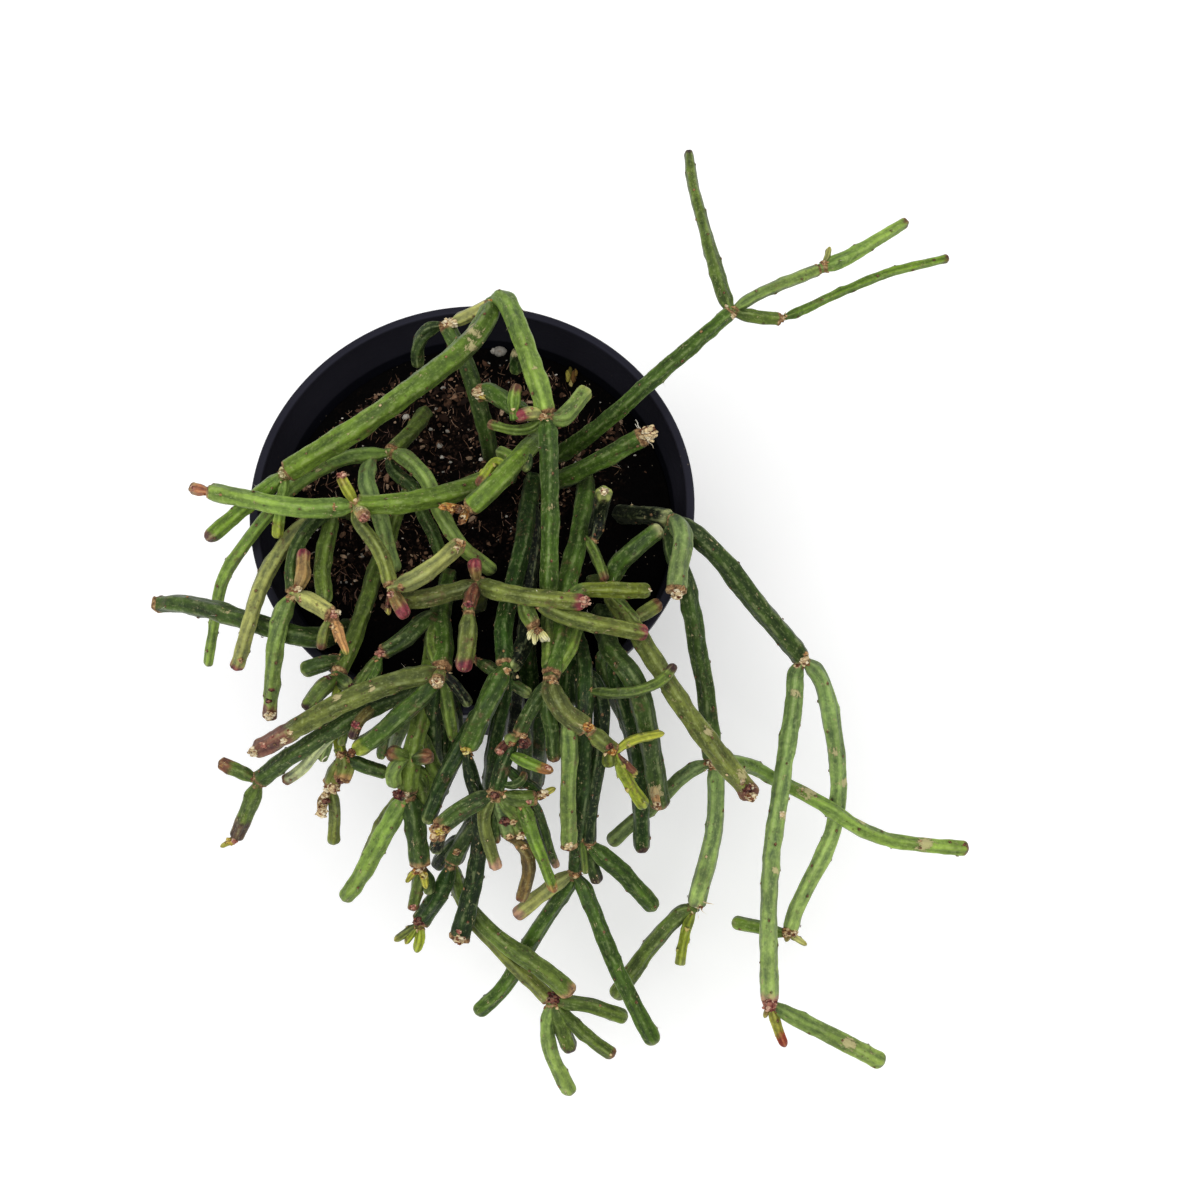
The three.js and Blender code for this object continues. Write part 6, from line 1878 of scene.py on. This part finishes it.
@dataclass
class Soil:
    """Dark peat with bark, fibres and perlite.

    Attributes:
        pot: The pot that it fills.
        level: Mean height of its surface.
        relief: Height of its broad waves.
        gap: Air between it and the pot.
        rings: Rings over its surface.
        sides: Points in each ring.
        seed: Seed of what is scattered on it.
        chips: Number of chips of bark.
        chip_colours: Their colours, by share.
        fibres: Number of fibres.
        fibre_colours: Their colours, by share.
        grains: Number of perlite grains that are scattered.
        laid: Further grains at chosen spots: right, away and size, seen from the viewpoint.
        husks: Long brown and green husks in one heap, in the same way, each with its colour.
        husk_form: Three half widths of a husk.
        grain_colour: Screen colour of the perlite.
        grain_reach: Greatest distance from the middle at which a laid grain counts.
        reaches: How far out chips, fibres and grains are scattered, and the size of their clumps.
        lifts: Heights of the middles of fibres, laid grains and husks over the surface.
    """

    pot: Pot
    level: float = 75
    relief: float = 0.7
    gap: float = 0.3
    rings: int = 92
    sides: int = 250
    seed: int = 11
    chips: int = 2300
    chip_colours: Palette = (
        (0.13, (146, 112, 88)), (0.25, (92, 66, 50)), (0.31, (50, 35, 27)), (0.22, (28, 20, 17)),
        (0.09, (190, 160, 132)),
    )
    fibres: int = 760
    fibre_colours: Palette = (
        (0.25, (176, 142, 116)), (0.35, (120, 90, 70)), (0.25, (70, 50, 40)), (0.15, (146, 112, 98)),
    )
    grains: int = 150
    laid: tuple[tuple[float, float, float], ...] = (
        (5.8, 40.5, 1.6), (27.5, 34.5, 1.2), (21, 41, 0.9), (22, 39.5, 0.8), (33, 28.5, 0.9), (-17, 22, 0.9),
        (-8.5, 14.6, 0.8), (-8, 30, 0.6), (-10.8, 19, 0.5), (-6.7, 18.5, 0.5), (-20, 46, 0.8),
        (4.4, 40.6, 0.9), (-7.8, 11.4, 0.5), (1.9, 10.6, 0.5), (6.8, 46.4, 0.6),
    )
    husks: tuple[tuple[float, float, float, Colour], ...] = (
        (23, 33.4, 0.9, (158, 148, 66)), (24.3, 33.2, 0.95, (104, 74, 38)), (23.6, 34.6, 0.7, (92, 84, 34)),
        (23.8, 32, 0.75, (176, 160, 96)), (25, 34.2, 0.6, (122, 96, 44)),
    )
    husk_form: tuple[float, float, float] = (0.75, 2.1, 0.9)
    grain_colour: Colour = (214, 208, 196)
    grain_reach: float = 48.4
    reaches: tuple[tuple[float, float], ...] = ((45, 16), (46, 9), (46, 11))
    lifts: tuple[float, float, float] = (0.15, 0.2, 0.5)

    def height(self, flat: Floats) -> Floats:
        """Height of the surface: two crossed waves, one of them bent, with crumbs of three sizes on them.

        Args:
            flat: Rows of x and y.

        Returns:
            Heights over the pot's foot.
        """
        x, y = flat[:, 0], flat[:, 1]
        waves = np.sin(x / 5.1 + 1.3 * np.sin(y / 7.3)) + np.sin(y / 4.3 + x / 9.7)
        lumps = 0.5 * np.abs(ripples(flat, 6.5, 21)) + 0.34 * np.abs(ripples(flat, 2.6, 22, 14))
        return self.level + self.relief * waves / 2 + lumps - 0.55 + 0.16 * ripples(flat, 1.1, 23, 20)

    def build(self) -> None:
        """Makes the body of soil and scatters what lies on it."""
        bottom = self.pot.floor + self.gap
        edge = self.pot.bore(self.level) - self.gap
        foot = self.pot.bore(bottom) - self.gap - 0.8
        under = [[0, bottom], [foot * 0.5, bottom], [foot, bottom], [foot + 0.6, bottom + 1.2]]
        side = [[edge - 2.4, 62], [edge - 0.3, self.level - 1.5]]
        top = [[edge * share, self.level] for share in np.linspace(1, 0, self.rings + 1)]
        body = turned(under + side + top, self.sides)
        out = np.hypot(*body.points[:, :2].T)
        upper = body.points[:, 2] > self.level - 0.1
        crumbs = self.height(body.points[upper, :2]) - self.level
        body.points[upper, 2] += crumbs * eased(edge - out[upper], -0.2, 1.4)
        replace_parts(body.piece("peat", SoilFinish().material(), "potting_soil"), "soil")
        random = np.random.default_rng(self.seed)
        self._bark(random).piece("bark_chips", BarkFinish().material(), "potting_soil")
        self._fibres(random).piece("peat_fibres", BarkFinish().material(), "potting_soil")
        self._perlite(random).piece("perlite", PerliteFinish().material(), "potting_soil")

    def _scattered(self, random: np.random.Generator, count: int, reach: float, clump: float) -> Floats:
        """Spots over the soil: radius reach times the root of a random share, kept where ripples are high.

        Of three times as many, fewer are kept on the right in front, where the plant shades the soil, as
        painted shade.

        Args:
            random: The seeded generator.
            count: How many.
            reach: Greatest distance from the middle.
            clump: Size of the clumps that they lie in.

        Returns:
            Points on the soil's surface.
        """
        tries = count * 3
        out = reach * np.sqrt(random.random(tries))
        angle = random.uniform(0, 2 * math.pi, tries)
        flat = np.stack([out * np.cos(angle), out * np.sin(angle)], -1)
        # Painted shade: fewer bits are kept on the right in front, where the plant shades the soil.
        lit = eased(flat[:, 1] - 0.55 * flat[:, 0], -20, -3)
        rank = ripples(flat, clump, 24) + random.normal(0, 0.45, tries) + 2 * lit
        return self._on(flat[np.argsort(-rank)[:count]], 0)

    def _on(self, flat: Floats, lift: float) -> Floats:
        """Points on the surface at rows of x and y, lifted by so much."""
        return np.concatenate([flat, self.height(flat)[:, None] + lift], -1)

    def _seen(self, rows: Sequence[Sequence[Any]]) -> Floats:
        """Rows of x and y of what is seen at chosen spots on the soil: right and away come first in each."""
        return Viewpoint().placed(np.array([[right, away, self.level] for right, away, *_ in rows]))[:, :2]

    def _bark(self, random: np.random.Generator) -> Shape:
        """Chips of bark: flat balls, bent out of shape by ripples, lying at small tilts.

        Args:
            random: The seeded generator.

        Returns:
            All the chips.
        """
        count = self.chips
        places = self._scattered(random, count, *self.reaches[0])
        length = random.uniform(0.22, 0.6, count) * random.choice([1, 1, 1, 1.5, 2.6], count)
        width = length * random.uniform(0.35, 0.8, count)
        turn = random.uniform(0, 2 * math.pi, count)
        tilt = random.normal(0, 0.32, (count, 2))
        first = unit(np.stack([np.cos(turn), np.sin(turn), tilt[:, 0]], -1))
        side = unit(np.cross([0, 0, 1], first) + np.stack([0 * turn, 0 * turn, tilt[:, 1]], -1))
        up = np.cross(first, side)
        thick = np.minimum(width, 0.55) * 0.55
        frames = np.stack([first * length[:, None], side * width[:, None], up * thick[:, None]], -1)
        tones = picked(random, count, self.chip_colours) * random.uniform(0.7, 1.2, (count, 1))
        return ball(4, 7).copies(places, frames, {"tone": tones}).shaken(0.12, 1.4, 31)

    def _fibres(self, random: np.random.Generator) -> Shape:
        """Thin fibres: needles bent by ripples that change slowly along them.

        Args:
            random: The seeded generator.

        Returns:
            All the fibres.
        """
        count = self.fibres
        places = self._scattered(random, count, *self.reaches[1]) + [0, 0, self.lifts[0]]
        girths = [[0.9 + 0.1 * math.cos(3 * z), z] for z in np.linspace(-0.92, 0.92, 9)]
        stick = turned([[0, -1], *girths, [0, 1]], 4)
        way = unit(random.normal(size=(count, 3)) * [0.55, 1, 0.2])
        side = unit(np.cross(way, [0, 0, 1]))
        length = random.uniform(0.5, 2.2, (count, 1))
        width = random.uniform(0.05, 0.12, (count, 1))
        tones = picked(random, count, self.fibre_colours)
        fibres = stick.copies(places, axes(side, way, width, width, length), {"tone": tones})
        return fibres.shaken(np.array([0.5, 0.5, 0.2]), 6, 41)

    def _perlite(self, random: np.random.Generator) -> Shape:
        """White perlite grains, lumpy balls, with the larger ones at chosen spots, and a heap of husks.

        Args:
            random: The seeded generator.

        Returns:
            All the grains.
        """
        places = self._scattered(random, self.grains, *self.reaches[2])
        size = random.uniform(0.12, 0.36, self.grains)
        flat = self._seen(self.laid)
        inside = np.hypot(*flat.T) < self.grain_reach
        places = np.concatenate([places, self._on(flat, self.lifts[1])[inside]])
        size = np.concatenate([size, np.array(self.laid)[inside, 2]])
        frames = random_frames(random, len(places)) * size[:, None, None] * [[1.15], [0.95], [0.85]]
        tones = linear([self.grain_colour]) * random.uniform(0.35, 1.05, (len(places), 1))
        *_, sizes, colours = zip(*self.husks)
        places = np.concatenate([places, self._on(self._seen(self.husks), self.lifts[2])])
        frames = np.concatenate([frames, np.array(sizes)[:, None, None] * np.diag(self.husk_form)])
        tones = np.concatenate([tones, linear(colours)])
        return ball(5, 9).copies(places, frames, {"tone": tones}).shaken(0.11, 0.9, 51)


class Value:
    """A shader socket that Python's operators work on. Each operator adds the Math node that does it."""

    def __init__(self, shader: "Shader", socket: bpy.types.NodeSocket) -> None:
        """Wraps a socket of a shader."""
        self.shader = shader
        self.socket = socket

    def _math(self, operation: str, first: Any, second: Any = None) -> "Value":
        """Adds a Math node for one or two values."""
        return self.shader.node("Math", {0: first, 1: second}, operation=operation)

    def __add__(self, other: Any) -> "Value":
        """This plus the other."""
        return self._math("ADD", self, other)

    def __sub__(self, other: Any) -> "Value":
        """This minus the other."""
        return self._math("SUBTRACT", self, other)

    def __rsub__(self, other: Any) -> "Value":
        """The other minus this."""
        return self._math("SUBTRACT", other, self)

    def __mul__(self, other: Any) -> "Value":
        """This times the other."""
        return self._math("MULTIPLY", self, other)

    def cosine(self) -> "Value":
        """Cosine of this, in radians."""
        return self._math("COSINE", self)

    def angle_from(self, across: "Value") -> "Value":
        """Angle whose sine is this and whose cosine is the other."""
        return self._math("ARCTAN2", self, across)

    def eased(self, low: float, high: float) -> "Value":
        """Smooth share of the way from low to high."""
        limits = {"Value": self, "From Min": low, "From Max": high}
        return self.shader.node("MapRange", limits, interpolation_type="SMOOTHSTEP")


class Shader:
    """A material's node tree, built from Python expressions. Its scales are for places in metres."""

    def __init__(self, name: str) -> None:
        """Makes the material and empties its tree."""
        self.material = bpy.data.materials.new(name)
        self.material.use_nodes = True
        self.tree = self.material.node_tree
        self.tree.nodes.clear()

    def node(self, kind: str, inputs: dict[Any, Any], output: Any = 0, **settings: Any) -> Value:
        """Adds a node.

        Args:
            kind: The node's type, without its first word.
            inputs: Values or links of its sockets, by name or number. None leaves a socket as it is.
            output: The socket that is passed on, by name or number.
            settings: The node's settings.

        Returns:
            The output.
        """
        made = self.tree.nodes.new("ShaderNode" + kind)
        for name, setting in settings.items():
            setattr(made, name, setting)
        for name, given in inputs.items():
            if isinstance(given, Value):
                self.tree.links.new(given.socket, made.inputs[name])
            elif given is not None:
                made.inputs[name].default_value = given
        return Value(self, made.outputs[output])

    def places(self) -> Value:
        """Places in the object's own frame, in metres."""
        return self.node("TexCoord", {}, "Object")

    def painted(self, name: str, output: str = "Color") -> Value:
        """A paint that the mesh carries."""
        return self.node("Attribute", {}, output, attribute_name=name)

    def axis(self, vector: Value, number: int) -> Value:
        """One part of a vector: 0, 1 or 2 for x, y or z."""
        return self.node("SeparateXYZ", {0: vector}, number)

    def scaled(self, vector: Value, by: tuple[float, float, float]) -> Value:
        """A vector times another, part by part."""
        return self.node("VectorMath", {0: vector, 1: by}, operation="MULTIPLY")

    def noise(self, vector: Value, scale: float, detail: float = 3.0, roughness: float = 0.55) -> Value:
        """Noise from 0 to 1 over a vector."""
        inputs = {"Vector": vector, "Scale": scale, "Detail": detail, "Roughness": roughness}
        return self.node("TexNoise", inputs)

    def dots(self, vector: Value, scale: float, edge: float, middle: float) -> Value:
        """Dots round scattered points, from 0 at a distance of edge to 1 at a distance of middle."""
        cells = self.node("TexVoronoi", {"Vector": vector, "Scale": scale}, "Distance")
        return cells.eased(edge, middle)

    def mix(self, share: Any, first: Any, second: Any, blend: str = "MIX") -> Value:
        """Mixes two colours.

        Args:
            share: Share of the second.
            first: The first colour, as a value or a screen colour.
            second: The second colour, likewise.
            blend: How the second is laid over the first.

        Returns:
            The mixed colour.
        """
        colours = [shade(given) if isinstance(given, tuple) else given for given in (first, second)]
        inputs = {0: share, 6: colours[0], 7: colours[1]}
        return self.node("Mix", inputs, 2, data_type="RGBA", blend_type=blend)

    def ramp(self, share: Value, stops: Sequence[tuple[float, Colour]]) -> Value:
        """Runs a share through a ramp of colours.

        Args:
            share: From 0 to 1.
            stops: Pairs of a place and a screen colour.

        Returns:
            The colour.
        """
        ramp = self.node("ValToRGB", {0: share})
        elements = ramp.socket.node.color_ramp.elements
        for _ in stops[2:]:
            elements.new(0.5)
        for element, (place, colour) in zip(elements, stops):
            element.position = place
            element.color = shade(colour)
        return ramp

    def bump(self, height: Value, distance: float, strength: float = 1.0) -> Value:
        """A bumped normal over a height field, with the bump's depth in metres."""
        return self.node("Bump", {"Height": height, "Distance": distance, "Strength": strength})

    def finish(
        self, colour: Value, roughness: Any, specular: float, normal: Value | None = None, **more: Any
    ) -> bpy.types.Material:
        """Ends the tree in a Principled shader.

        Args:
            colour: Its base colour.
            roughness: Its roughness.
            specular: Its specular level.
            normal: Its bumped normal, if it has one.
            more: Values of further sockets, by their names with low lines for spaces.

        Returns:
            The material.
        """
        inputs = {"Base Color": colour, "Roughness": roughness, "Specular IOR Level": specular}
        inputs |= {name.replace("_", " "): value for name, value in more.items()} | {"Normal": normal}
        output = self.tree.nodes.new("ShaderNodeOutputMaterial")
        self.tree.links.new(self.node("BsdfPrincipled", inputs).socket, output.inputs["Surface"])
        return self.material


def shade(colour: Sequence[float]) -> tuple[float, ...]:
    """A screen colour as linear red, green and blue with full cover."""
    return (*(float(part) for part in linear(colour)), 1.0)


@dataclass(frozen=True)
class StemFinish:
    """Waxy skin of the stems over their painted tones.

    Attributes:
        name: The material's name.
        roughness: Roughness of clean skin.
        stripe: Strength of the painted highlight along the rib crests.
        streak: Strength of the streaks along the stem.
        mottle: Strength of the light and dark clouds.
        speckle: Strength of the fine pale dots.
        rust: How far brown stains spread.
        ribs: Number of the ribs.
        stretch: How much longer than wide the streaks are drawn, as a scale along the stem.
        wax: Colour of the painted highlight on the rib crests, and of the fine pale dots.
        freckle: Colour of small dark dots.
        stain: Colour of brown stains.
        smudge: Colour round the areoles.
        bark: Colours of cork, from its pits to its flakes.
        scar: Colour of a pale scar, and of its rim.
        sheen: Tint of the faint sheen, in linear light.
    """

    name: str
    roughness: float
    stripe: float
    streak: float
    mottle: float
    speckle: float
    rust: float
    ribs: int = 5
    stretch: float = 0.09
    wax: Colour = (186, 196, 138)
    freckle: Colour = (64, 42, 32)
    stain: Colour = (92, 58, 46)
    smudge: Colour = (44, 36, 26)
    bark: Palette = (
        (0.34, (52, 30, 24)), (0.47, (112, 78, 52)), (0.58, (168, 132, 90)), (0.74, (212, 188, 146)),
    )
    scar: tuple[Colour, Colour] = ((200, 186, 138), (124, 92, 58))
    sheen: tuple[float, float, float, float] = (0.8, 0.9, 0.62, 1)

    def material(self) -> bpy.types.Material:
        """Makes the finish: ribs, with painted shade in their grooves and painted highlights on their crests,
        streaks and clouds, then pale dots, dark dots and stains, then cork and scars on top.

        Returns:
            The material.
        """
        s = Shader(self.name)
        at, grain = s.places(), s.painted("grain", "Vector")
        turn = s.axis(grain, 1).angle_from(s.axis(grain, 0))
        rib = (turn * self.ribs + (s.noise(at, 260, 2) - 0.5) * 2.4).cosine()
        crest = rib.eased(-0.5, 0.9)
        runs = s.scaled(grain, (1.0, 1.0, self.stretch))
        streaks, threads = s.noise(runs, 1.7, 4, 0.6), s.noise(runs, 6.5, 3, 0.6)
        clouds, dapple = s.noise(at, 330, 4, 0.6), s.noise(at, 1050, 4, 0.65)
        old = s.noise(at, 900, 5, 0.7)
        broad = (streaks.eased(0.3, 0.7) - 0.5) * self.streak + (clouds.eased(0.34, 0.66) - 0.5) * self.mottle
        small = (threads.eased(0.3, 0.7) - 0.5) * 0.18 + (dapple.eased(0.34, 0.66) - 0.5) * 0.18
        # Painted shade and light: the skin is darker in the rib grooves and lighter on the rib crests, over
        # its own streaks and clouds, and the tint turns the lighter parts yellower.
        groove = rib.eased(-0.5, -0.98) * clouds.eased(0.4, 0.56)
        level = (crest - 0.55) * 0.3 + broad + small - groove * 0.12 - 0.03
        tint = s.node("CombineColor", {0: level * 1.04 + 1, 1: level + 1, 2: level * 0.75 + 1})
        base = s.mix(1.0, s.painted("tone"), tint, "MULTIPLY")
        # Painted highlight along the rib crests, and the skin's own pale specks, are both mixed towards the
        # pale colour.
        pale = s.mix(0.5, base, self.wax)
        stripe = rib.eased(0.55, 1.0) * s.noise(at, 420, 3).eased(0.42, 0.64)
        base = s.mix(stripe * self.stripe, base, pale)
        speckles = dapple.eased(0.5, 0.66) * threads.eased(0.4, 0.6)
        base = s.mix(speckles * self.speckle, base, pale)
        freckles = s.dots(at, 800, 0.28, 0.14) * s.noise(at, 130, 3).eased(0.52 - self.rust, 0.62)
        base = s.mix(freckles * 0.5, base, self.freckle)
        stains = s.noise(at, 170, 5, 0.7).eased(0.62 - self.rust, 0.74 - self.rust) * dapple.eased(0.4, 0.6)
        base = s.mix(stains * 0.6, base, self.stain)
        smudge = (s.painted("mark", "Fac") + (old - 0.5) * 0.7).eased(0.42, 0.85)
        base = s.mix(smudge * 0.7, base, self.smudge)
        corky = (s.painted("cork", "Fac") + (old - 0.5) * 0.9).eased(0.36, 0.66)
        base = s.mix(corky * 0.9, base, s.ramp(old, self.bark))
        frayed = (s.noise(at, 520, 5, 0.75) - 0.5) * 3.0 + (threads - 0.5) * 1.2
        ragged = s.painted("scar", "Fac") + frayed
        scarred = ragged.eased(0.4, 0.62)
        base = s.mix(scarred * 0.7, base, self.scar[0])
        base = s.mix(scarred * (1 - ragged.eased(0.5, 0.7)) * 0.4, base, self.scar[1])
        dry = corky + scarred * 0.5
        height = s.noise(at, 2600, 2) * 0.2 + clouds * 0.5 + streaks * 0.8 + old * dry * 1.4 + crest * 0.3
        height = height + dapple * 0.35 + threads * 0.25 - groove * 0.4
        roughness = dapple * 0.2 + self.roughness - 0.1 + dry * 0.25
        sheen = {"Sheen_Weight": 0.08, "Sheen_Roughness": 0.35, "Sheen_Tint": self.sheen}
        return s.finish(base, roughness, 0.17, s.bump(height, 0.00026, 0.9), **sheen)


STEM_FINISHES = {
    "bright_stem": StemFinish("bright stem skin", 0.44, 0.42, 0.34, 0.4, 0.45, 0.02),
    "olive_stem": StemFinish("olive stem skin", 0.48, 0.38, 0.38, 0.42, 0.45, 0.08),
    "deep_stem": StemFinish("deep stem skin", 0.42, 0.36, 0.36, 0.46, 0.34, 0.04),
}


@dataclass(frozen=True)
class AreoleFinish:
    """Scaly little cushions, each of its own painted colour."""

    roughness: float = 0.85
    scales: Colour = (176, 140, 100)

    def material(self) -> bpy.types.Material:
        """Makes the finish.

        Returns:
            The material.
        """
        s = Shader("areole")
        grain = s.noise(s.places(), 3000, 3)
        colour = s.mix(grain.eased(0.35, 0.7) * 0.6, s.painted("tone"), self.scales)
        return s.finish(colour, self.roughness, 0.1, s.bump(grain, 0.0001))


@dataclass(frozen=True)
class BristleFinish:
    """Fine pale bristles, a little browner in places."""

    roughness: float = 0.5
    pale: Colour = (236, 230, 212)
    brown: Colour = (196, 172, 132)

    def material(self) -> bpy.types.Material:
        """Makes the finish.

        Returns:
            The material.
        """
        s = Shader("bristle")
        drift = s.noise(s.places(), 180, 2)
        return s.finish(s.mix(drift.eased(0.4, 0.65), self.pale, self.brown), self.roughness, 0.5)


@dataclass(frozen=True)
class CallusFinish:
    """Cracked, corky lumps of their own painted colour with dark creases."""

    roughness: float = 0.88
    crumb: Colour = (232, 216, 180)
    crease: Colour = (76, 42, 32)

    def material(self) -> bpy.types.Material:
        """Makes the finish.

        Returns:
            The material.
        """
        s = Shader("callus")
        at = s.places()
        crumbs = s.noise(at, 1500, 5, 0.7)
        creases = s.noise(at, 1000, 4, 0.7).eased(0.56, 0.66)
        colour = s.mix(crumbs.eased(0.46, 0.72) * 0.22, s.painted("tone"), self.crumb)
        colour = s.mix(creases * 0.75, colour, self.crease)
        return s.finish(colour, self.roughness, 0.1, s.bump(crumbs - creases * 0.8, 0.0003))


@dataclass(frozen=True)
class PotFinish:
    """Satin black moulded plastic with fine scratches, dust and splashes of soil, and a paler lip that is a
    painted highlight.

    Attributes:
        roughness: Roughness of the clean plastic.
        band_foot: Height of the foot of the band, in metres. The wall under it is duller.
        lip: Height of the lip's lower edge, in metres.
        blacks: The two blacks that it wavers between.
        worn: Colour of the painted highlight on the lip, and of a scratch.
        dust: Colour of a splash of soil.
        gleam: Tint of its reflections, in linear light.
    """

    roughness: float = 0.44
    band_foot: float = 0.0815
    lip: float = 0.078
    blacks: tuple[Colour, Colour] = ((7, 7, 11), (14, 14, 21))
    worn: tuple[Colour, Colour] = ((40, 39, 47), (40, 40, 50))
    dust: Colour = (150, 134, 112)
    gleam: tuple[float, float, float, float] = (0.6, 0.66, 1, 1)

    def material(self) -> bpy.types.Material:
        """Makes the finish, satin on the rim and duller on the walls under its band.

        Returns:
            The material.
        """
        s = Shader("black nursery plastic")
        at = s.places()
        haze = s.noise(at, 38, 4, 0.6)
        specks = s.dots(at, 520, 0.13, 0.05) * s.noise(at, 60, 3).eased(0.56, 0.7)
        scratches = s.noise(s.scaled(at, (1, 1, 9)), 160, 4, 0.7).eased(0.62, 0.72)
        high = s.axis(at, 2)
        dull = high.eased(self.band_foot + 0.0005, self.band_foot - 0.0005) * 0.3
        # Painted highlight: from its lower edge up, the lip is mixed towards a paler grey.
        lip_highlight = high.eased(self.lip - 0.0006, self.lip + 0.0003) * (haze * 0.6 + 0.5)
        colour = s.mix(haze.eased(0.35, 0.7), *self.blacks)
        colour = s.mix(lip_highlight, colour, self.worn[0])
        colour = s.mix(scratches * 0.25, colour, self.worn[1])
        colour = s.mix(specks * 0.6, colour, self.dust)
        roughness = haze * 0.2 + self.roughness - 0.1 + specks * 0.4 + dull
        height = s.noise(at, 1800, 2) * 0.5 + scratches * 0.3 + specks
        return s.finish(colour, roughness, 0.1, s.bump(height, 0.00012, 0.6), Specular_Tint=self.gleam)


@dataclass(frozen=True)
class SoilFinish:
    """Dark peat, browner on its crumbs, with pale specks, and painted shade at the pot's edge and on the side
    that the plant shades.

    Attributes:
        roughness: Its roughness.
        earth: Its colours, from the gaps between the clods to their tops.
        wet: Painted shade at the pot's edge and on the side that the plant shades.
        speck: Colour of the pale specks.
    """

    roughness: float = 0.92
    earth: Palette = ((0.42, (5, 4, 4)), (0.54, (20, 14, 12)), (0.61, (66, 48, 38)), (0.7, (136, 108, 86)))
    wet: Colour = (5, 4, 4)
    speck: Colour = (206, 186, 158)

    def material(self) -> bpy.types.Material:
        """Makes the finish.

        Returns:
            The material.
        """
        s = Shader("peat")
        at = s.places()
        clods, crumbs = s.noise(at, 240, 6, 0.7), s.noise(at, 1100, 5, 0.75)
        earth = s.ramp(clods * 0.5 + crumbs * 0.5, self.earth)
        # Painted shade: near-black towards the pot's wall, and on the front right under the plant.
        out = s.node("VectorMath", {0: s.scaled(at, (1, 1, 0))}, 1, operation="LENGTH")
        edge = (out + (clods - 0.5) * 0.03).eased(0.03, 0.045)
        earth = s.mix(edge * 0.9, earth, self.wet)
        slant = s.axis(at, 1) - s.axis(at, 0) * 0.55
        shaded = (slant + (clods - 0.5) * 0.02).eased(-0.003, -0.02)
        earth = s.mix(shaded * 0.8, earth, self.wet)
        specks = s.dots(at, 620, 0.14, 0.05) * s.noise(at, 90, 2).eased(0.48, 0.6)
        colour = s.mix(specks * 0.8, earth, self.speck)
        return s.finish(colour, self.roughness, 0.04, s.bump(clods + crumbs * 0.8, 0.0012))


@dataclass(frozen=True)
class BarkFinish:
    """Fibrous bark of its own painted colour, with dark fibres."""

    roughness: float = 0.85
    dark: Colour = (34, 22, 16)

    def material(self) -> bpy.types.Material:
        """Makes the finish.

        Returns:
            The material.
        """
        s = Shader("bark")
        grain = s.noise(s.scaled(s.places(), (1, 3.5, 2)), 900, 5, 0.7)
        colour = s.mix(grain.eased(0.35, 0.65), s.painted("tone"), self.dark)
        colour = s.mix(0.55, s.painted("tone"), colour)
        return s.finish(colour, self.roughness, 0.08, s.bump(grain, 0.0003))


@dataclass(frozen=True)
class PerliteFinish:
    """Chalky puffed grains with pores and a little dirt."""

    roughness: float = 0.9
    dirt: Colour = (128, 104, 80)
    pore: Colour = (120, 108, 92)

    def material(self) -> bpy.types.Material:
        """Makes the finish.

        Returns:
            The material.
        """
        s = Shader("perlite")
        at = s.places()
        pores = s.dots(at, 2400, 0.4, 0.12)
        colour = s.mix(s.noise(at, 700, 4).eased(0.52, 0.7) * 0.6, s.painted("tone"), self.dirt)
        colour = s.mix(pores * 0.35, colour, self.pore)
        return s.finish(colour, self.roughness, 0.1, s.bump(1 - pores, 0.0002))


@dataclass(frozen=True)
class Studio:
    """A plain white table under soft light.

    Attributes:
        half_width: Half the width of the table, in metres.
        whites: The two whites that its colour wavers between.
        glow: Faint light of the table itself, as of a light box.
        sky: Strength of the light from all round.
        lamps: Place, size and power of each lamp, in metres and watts.
    """

    half_width: float = 1.6
    whites: tuple[Colour, Colour] = ((246.99, 246.99, 246.99), (249.31, 249.31, 249.31))
    glow: float = 0.2
    sky: float = 0.56
    lamps: tuple[tuple[Colour, float, float], ...] = (
        ((-0.25, -0.3, 1.05), 0.9, 6.6),
        ((0.5, 0.3, 0.9), 0.6, 1.6),
    )

    def build(self) -> None:
        """Lays the table and hangs the lamps."""
        shader = Shader("white table")
        white = shader.mix(shader.noise(shader.places(), 3, 3), *self.whites)
        glow = {"Emission_Color": (1, 1, 1, 1), "Emission_Strength": self.glow}
        side = self.half_width
        corners = [(-side, -side, 0), (side, -side, 0), (side, side, 0), (-side, side, 0)]
        mesh = bpy.data.meshes.new("table")
        mesh.from_pydata(corners, [], [(0, 1, 2, 3)])
        mesh.materials.append(shader.finish(white, 0.8, 0.5, **glow))
        table = bpy.data.objects.new("table", mesh)
        bpy.context.scene.collection.objects.link(table)
        world = bpy.data.worlds.new("studio")
        world.use_nodes = True
        sky = world.node_tree.nodes["Background"].inputs
        sky["Color"].default_value = (1, 1, 1, 1)
        sky["Strength"].default_value = self.sky
        bpy.context.scene.world = world
        bpy.context.scene.view_settings.view_transform = "Standard"
        for number, (place, size, power) in enumerate(self.lamps):
            self._lamp(f"lamp_{number}", place, size, power)

    @staticmethod
    def _lamp(name: str, place: Colour, size: float, power: float) -> None:
        """Hangs a square lamp that faces the pot.

        Args:
            name: Its name.
            place: Where it hangs, in metres.
            size: Its width.
            power: Its power in watts.
        """
        data = bpy.data.lights.new(name, "AREA")
        data.size = size
        data.energy = power
        lamp = bpy.data.objects.new(name, data)
        lamp.location = place
        across, up, high = place
        lamp.rotation_euler = (math.atan2(math.hypot(across, up), high), 0, math.atan2(across, -up))
        bpy.context.scene.collection.objects.link(lamp)


def slots_of(record: dict[str, Any]) -> dict[str, str]:
    """The material slot of each node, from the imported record."""
    return {part["node"]: part["material_slot"] for part in record["subparts"]}


def main() -> None:
    """Builds the part around its frame."""
    logging.basicConfig(level=logging.INFO, format="%(name)s: %(message)s")
    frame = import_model()
    view = Viewpoint()
    view.camera()
    Studio().build()
    pot = Pot()
    pot.build()
    Soil(pot).build()
    Plant(view, slots_of(frame["record"])).build()
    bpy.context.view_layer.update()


if __name__ == "__main__":
    main()
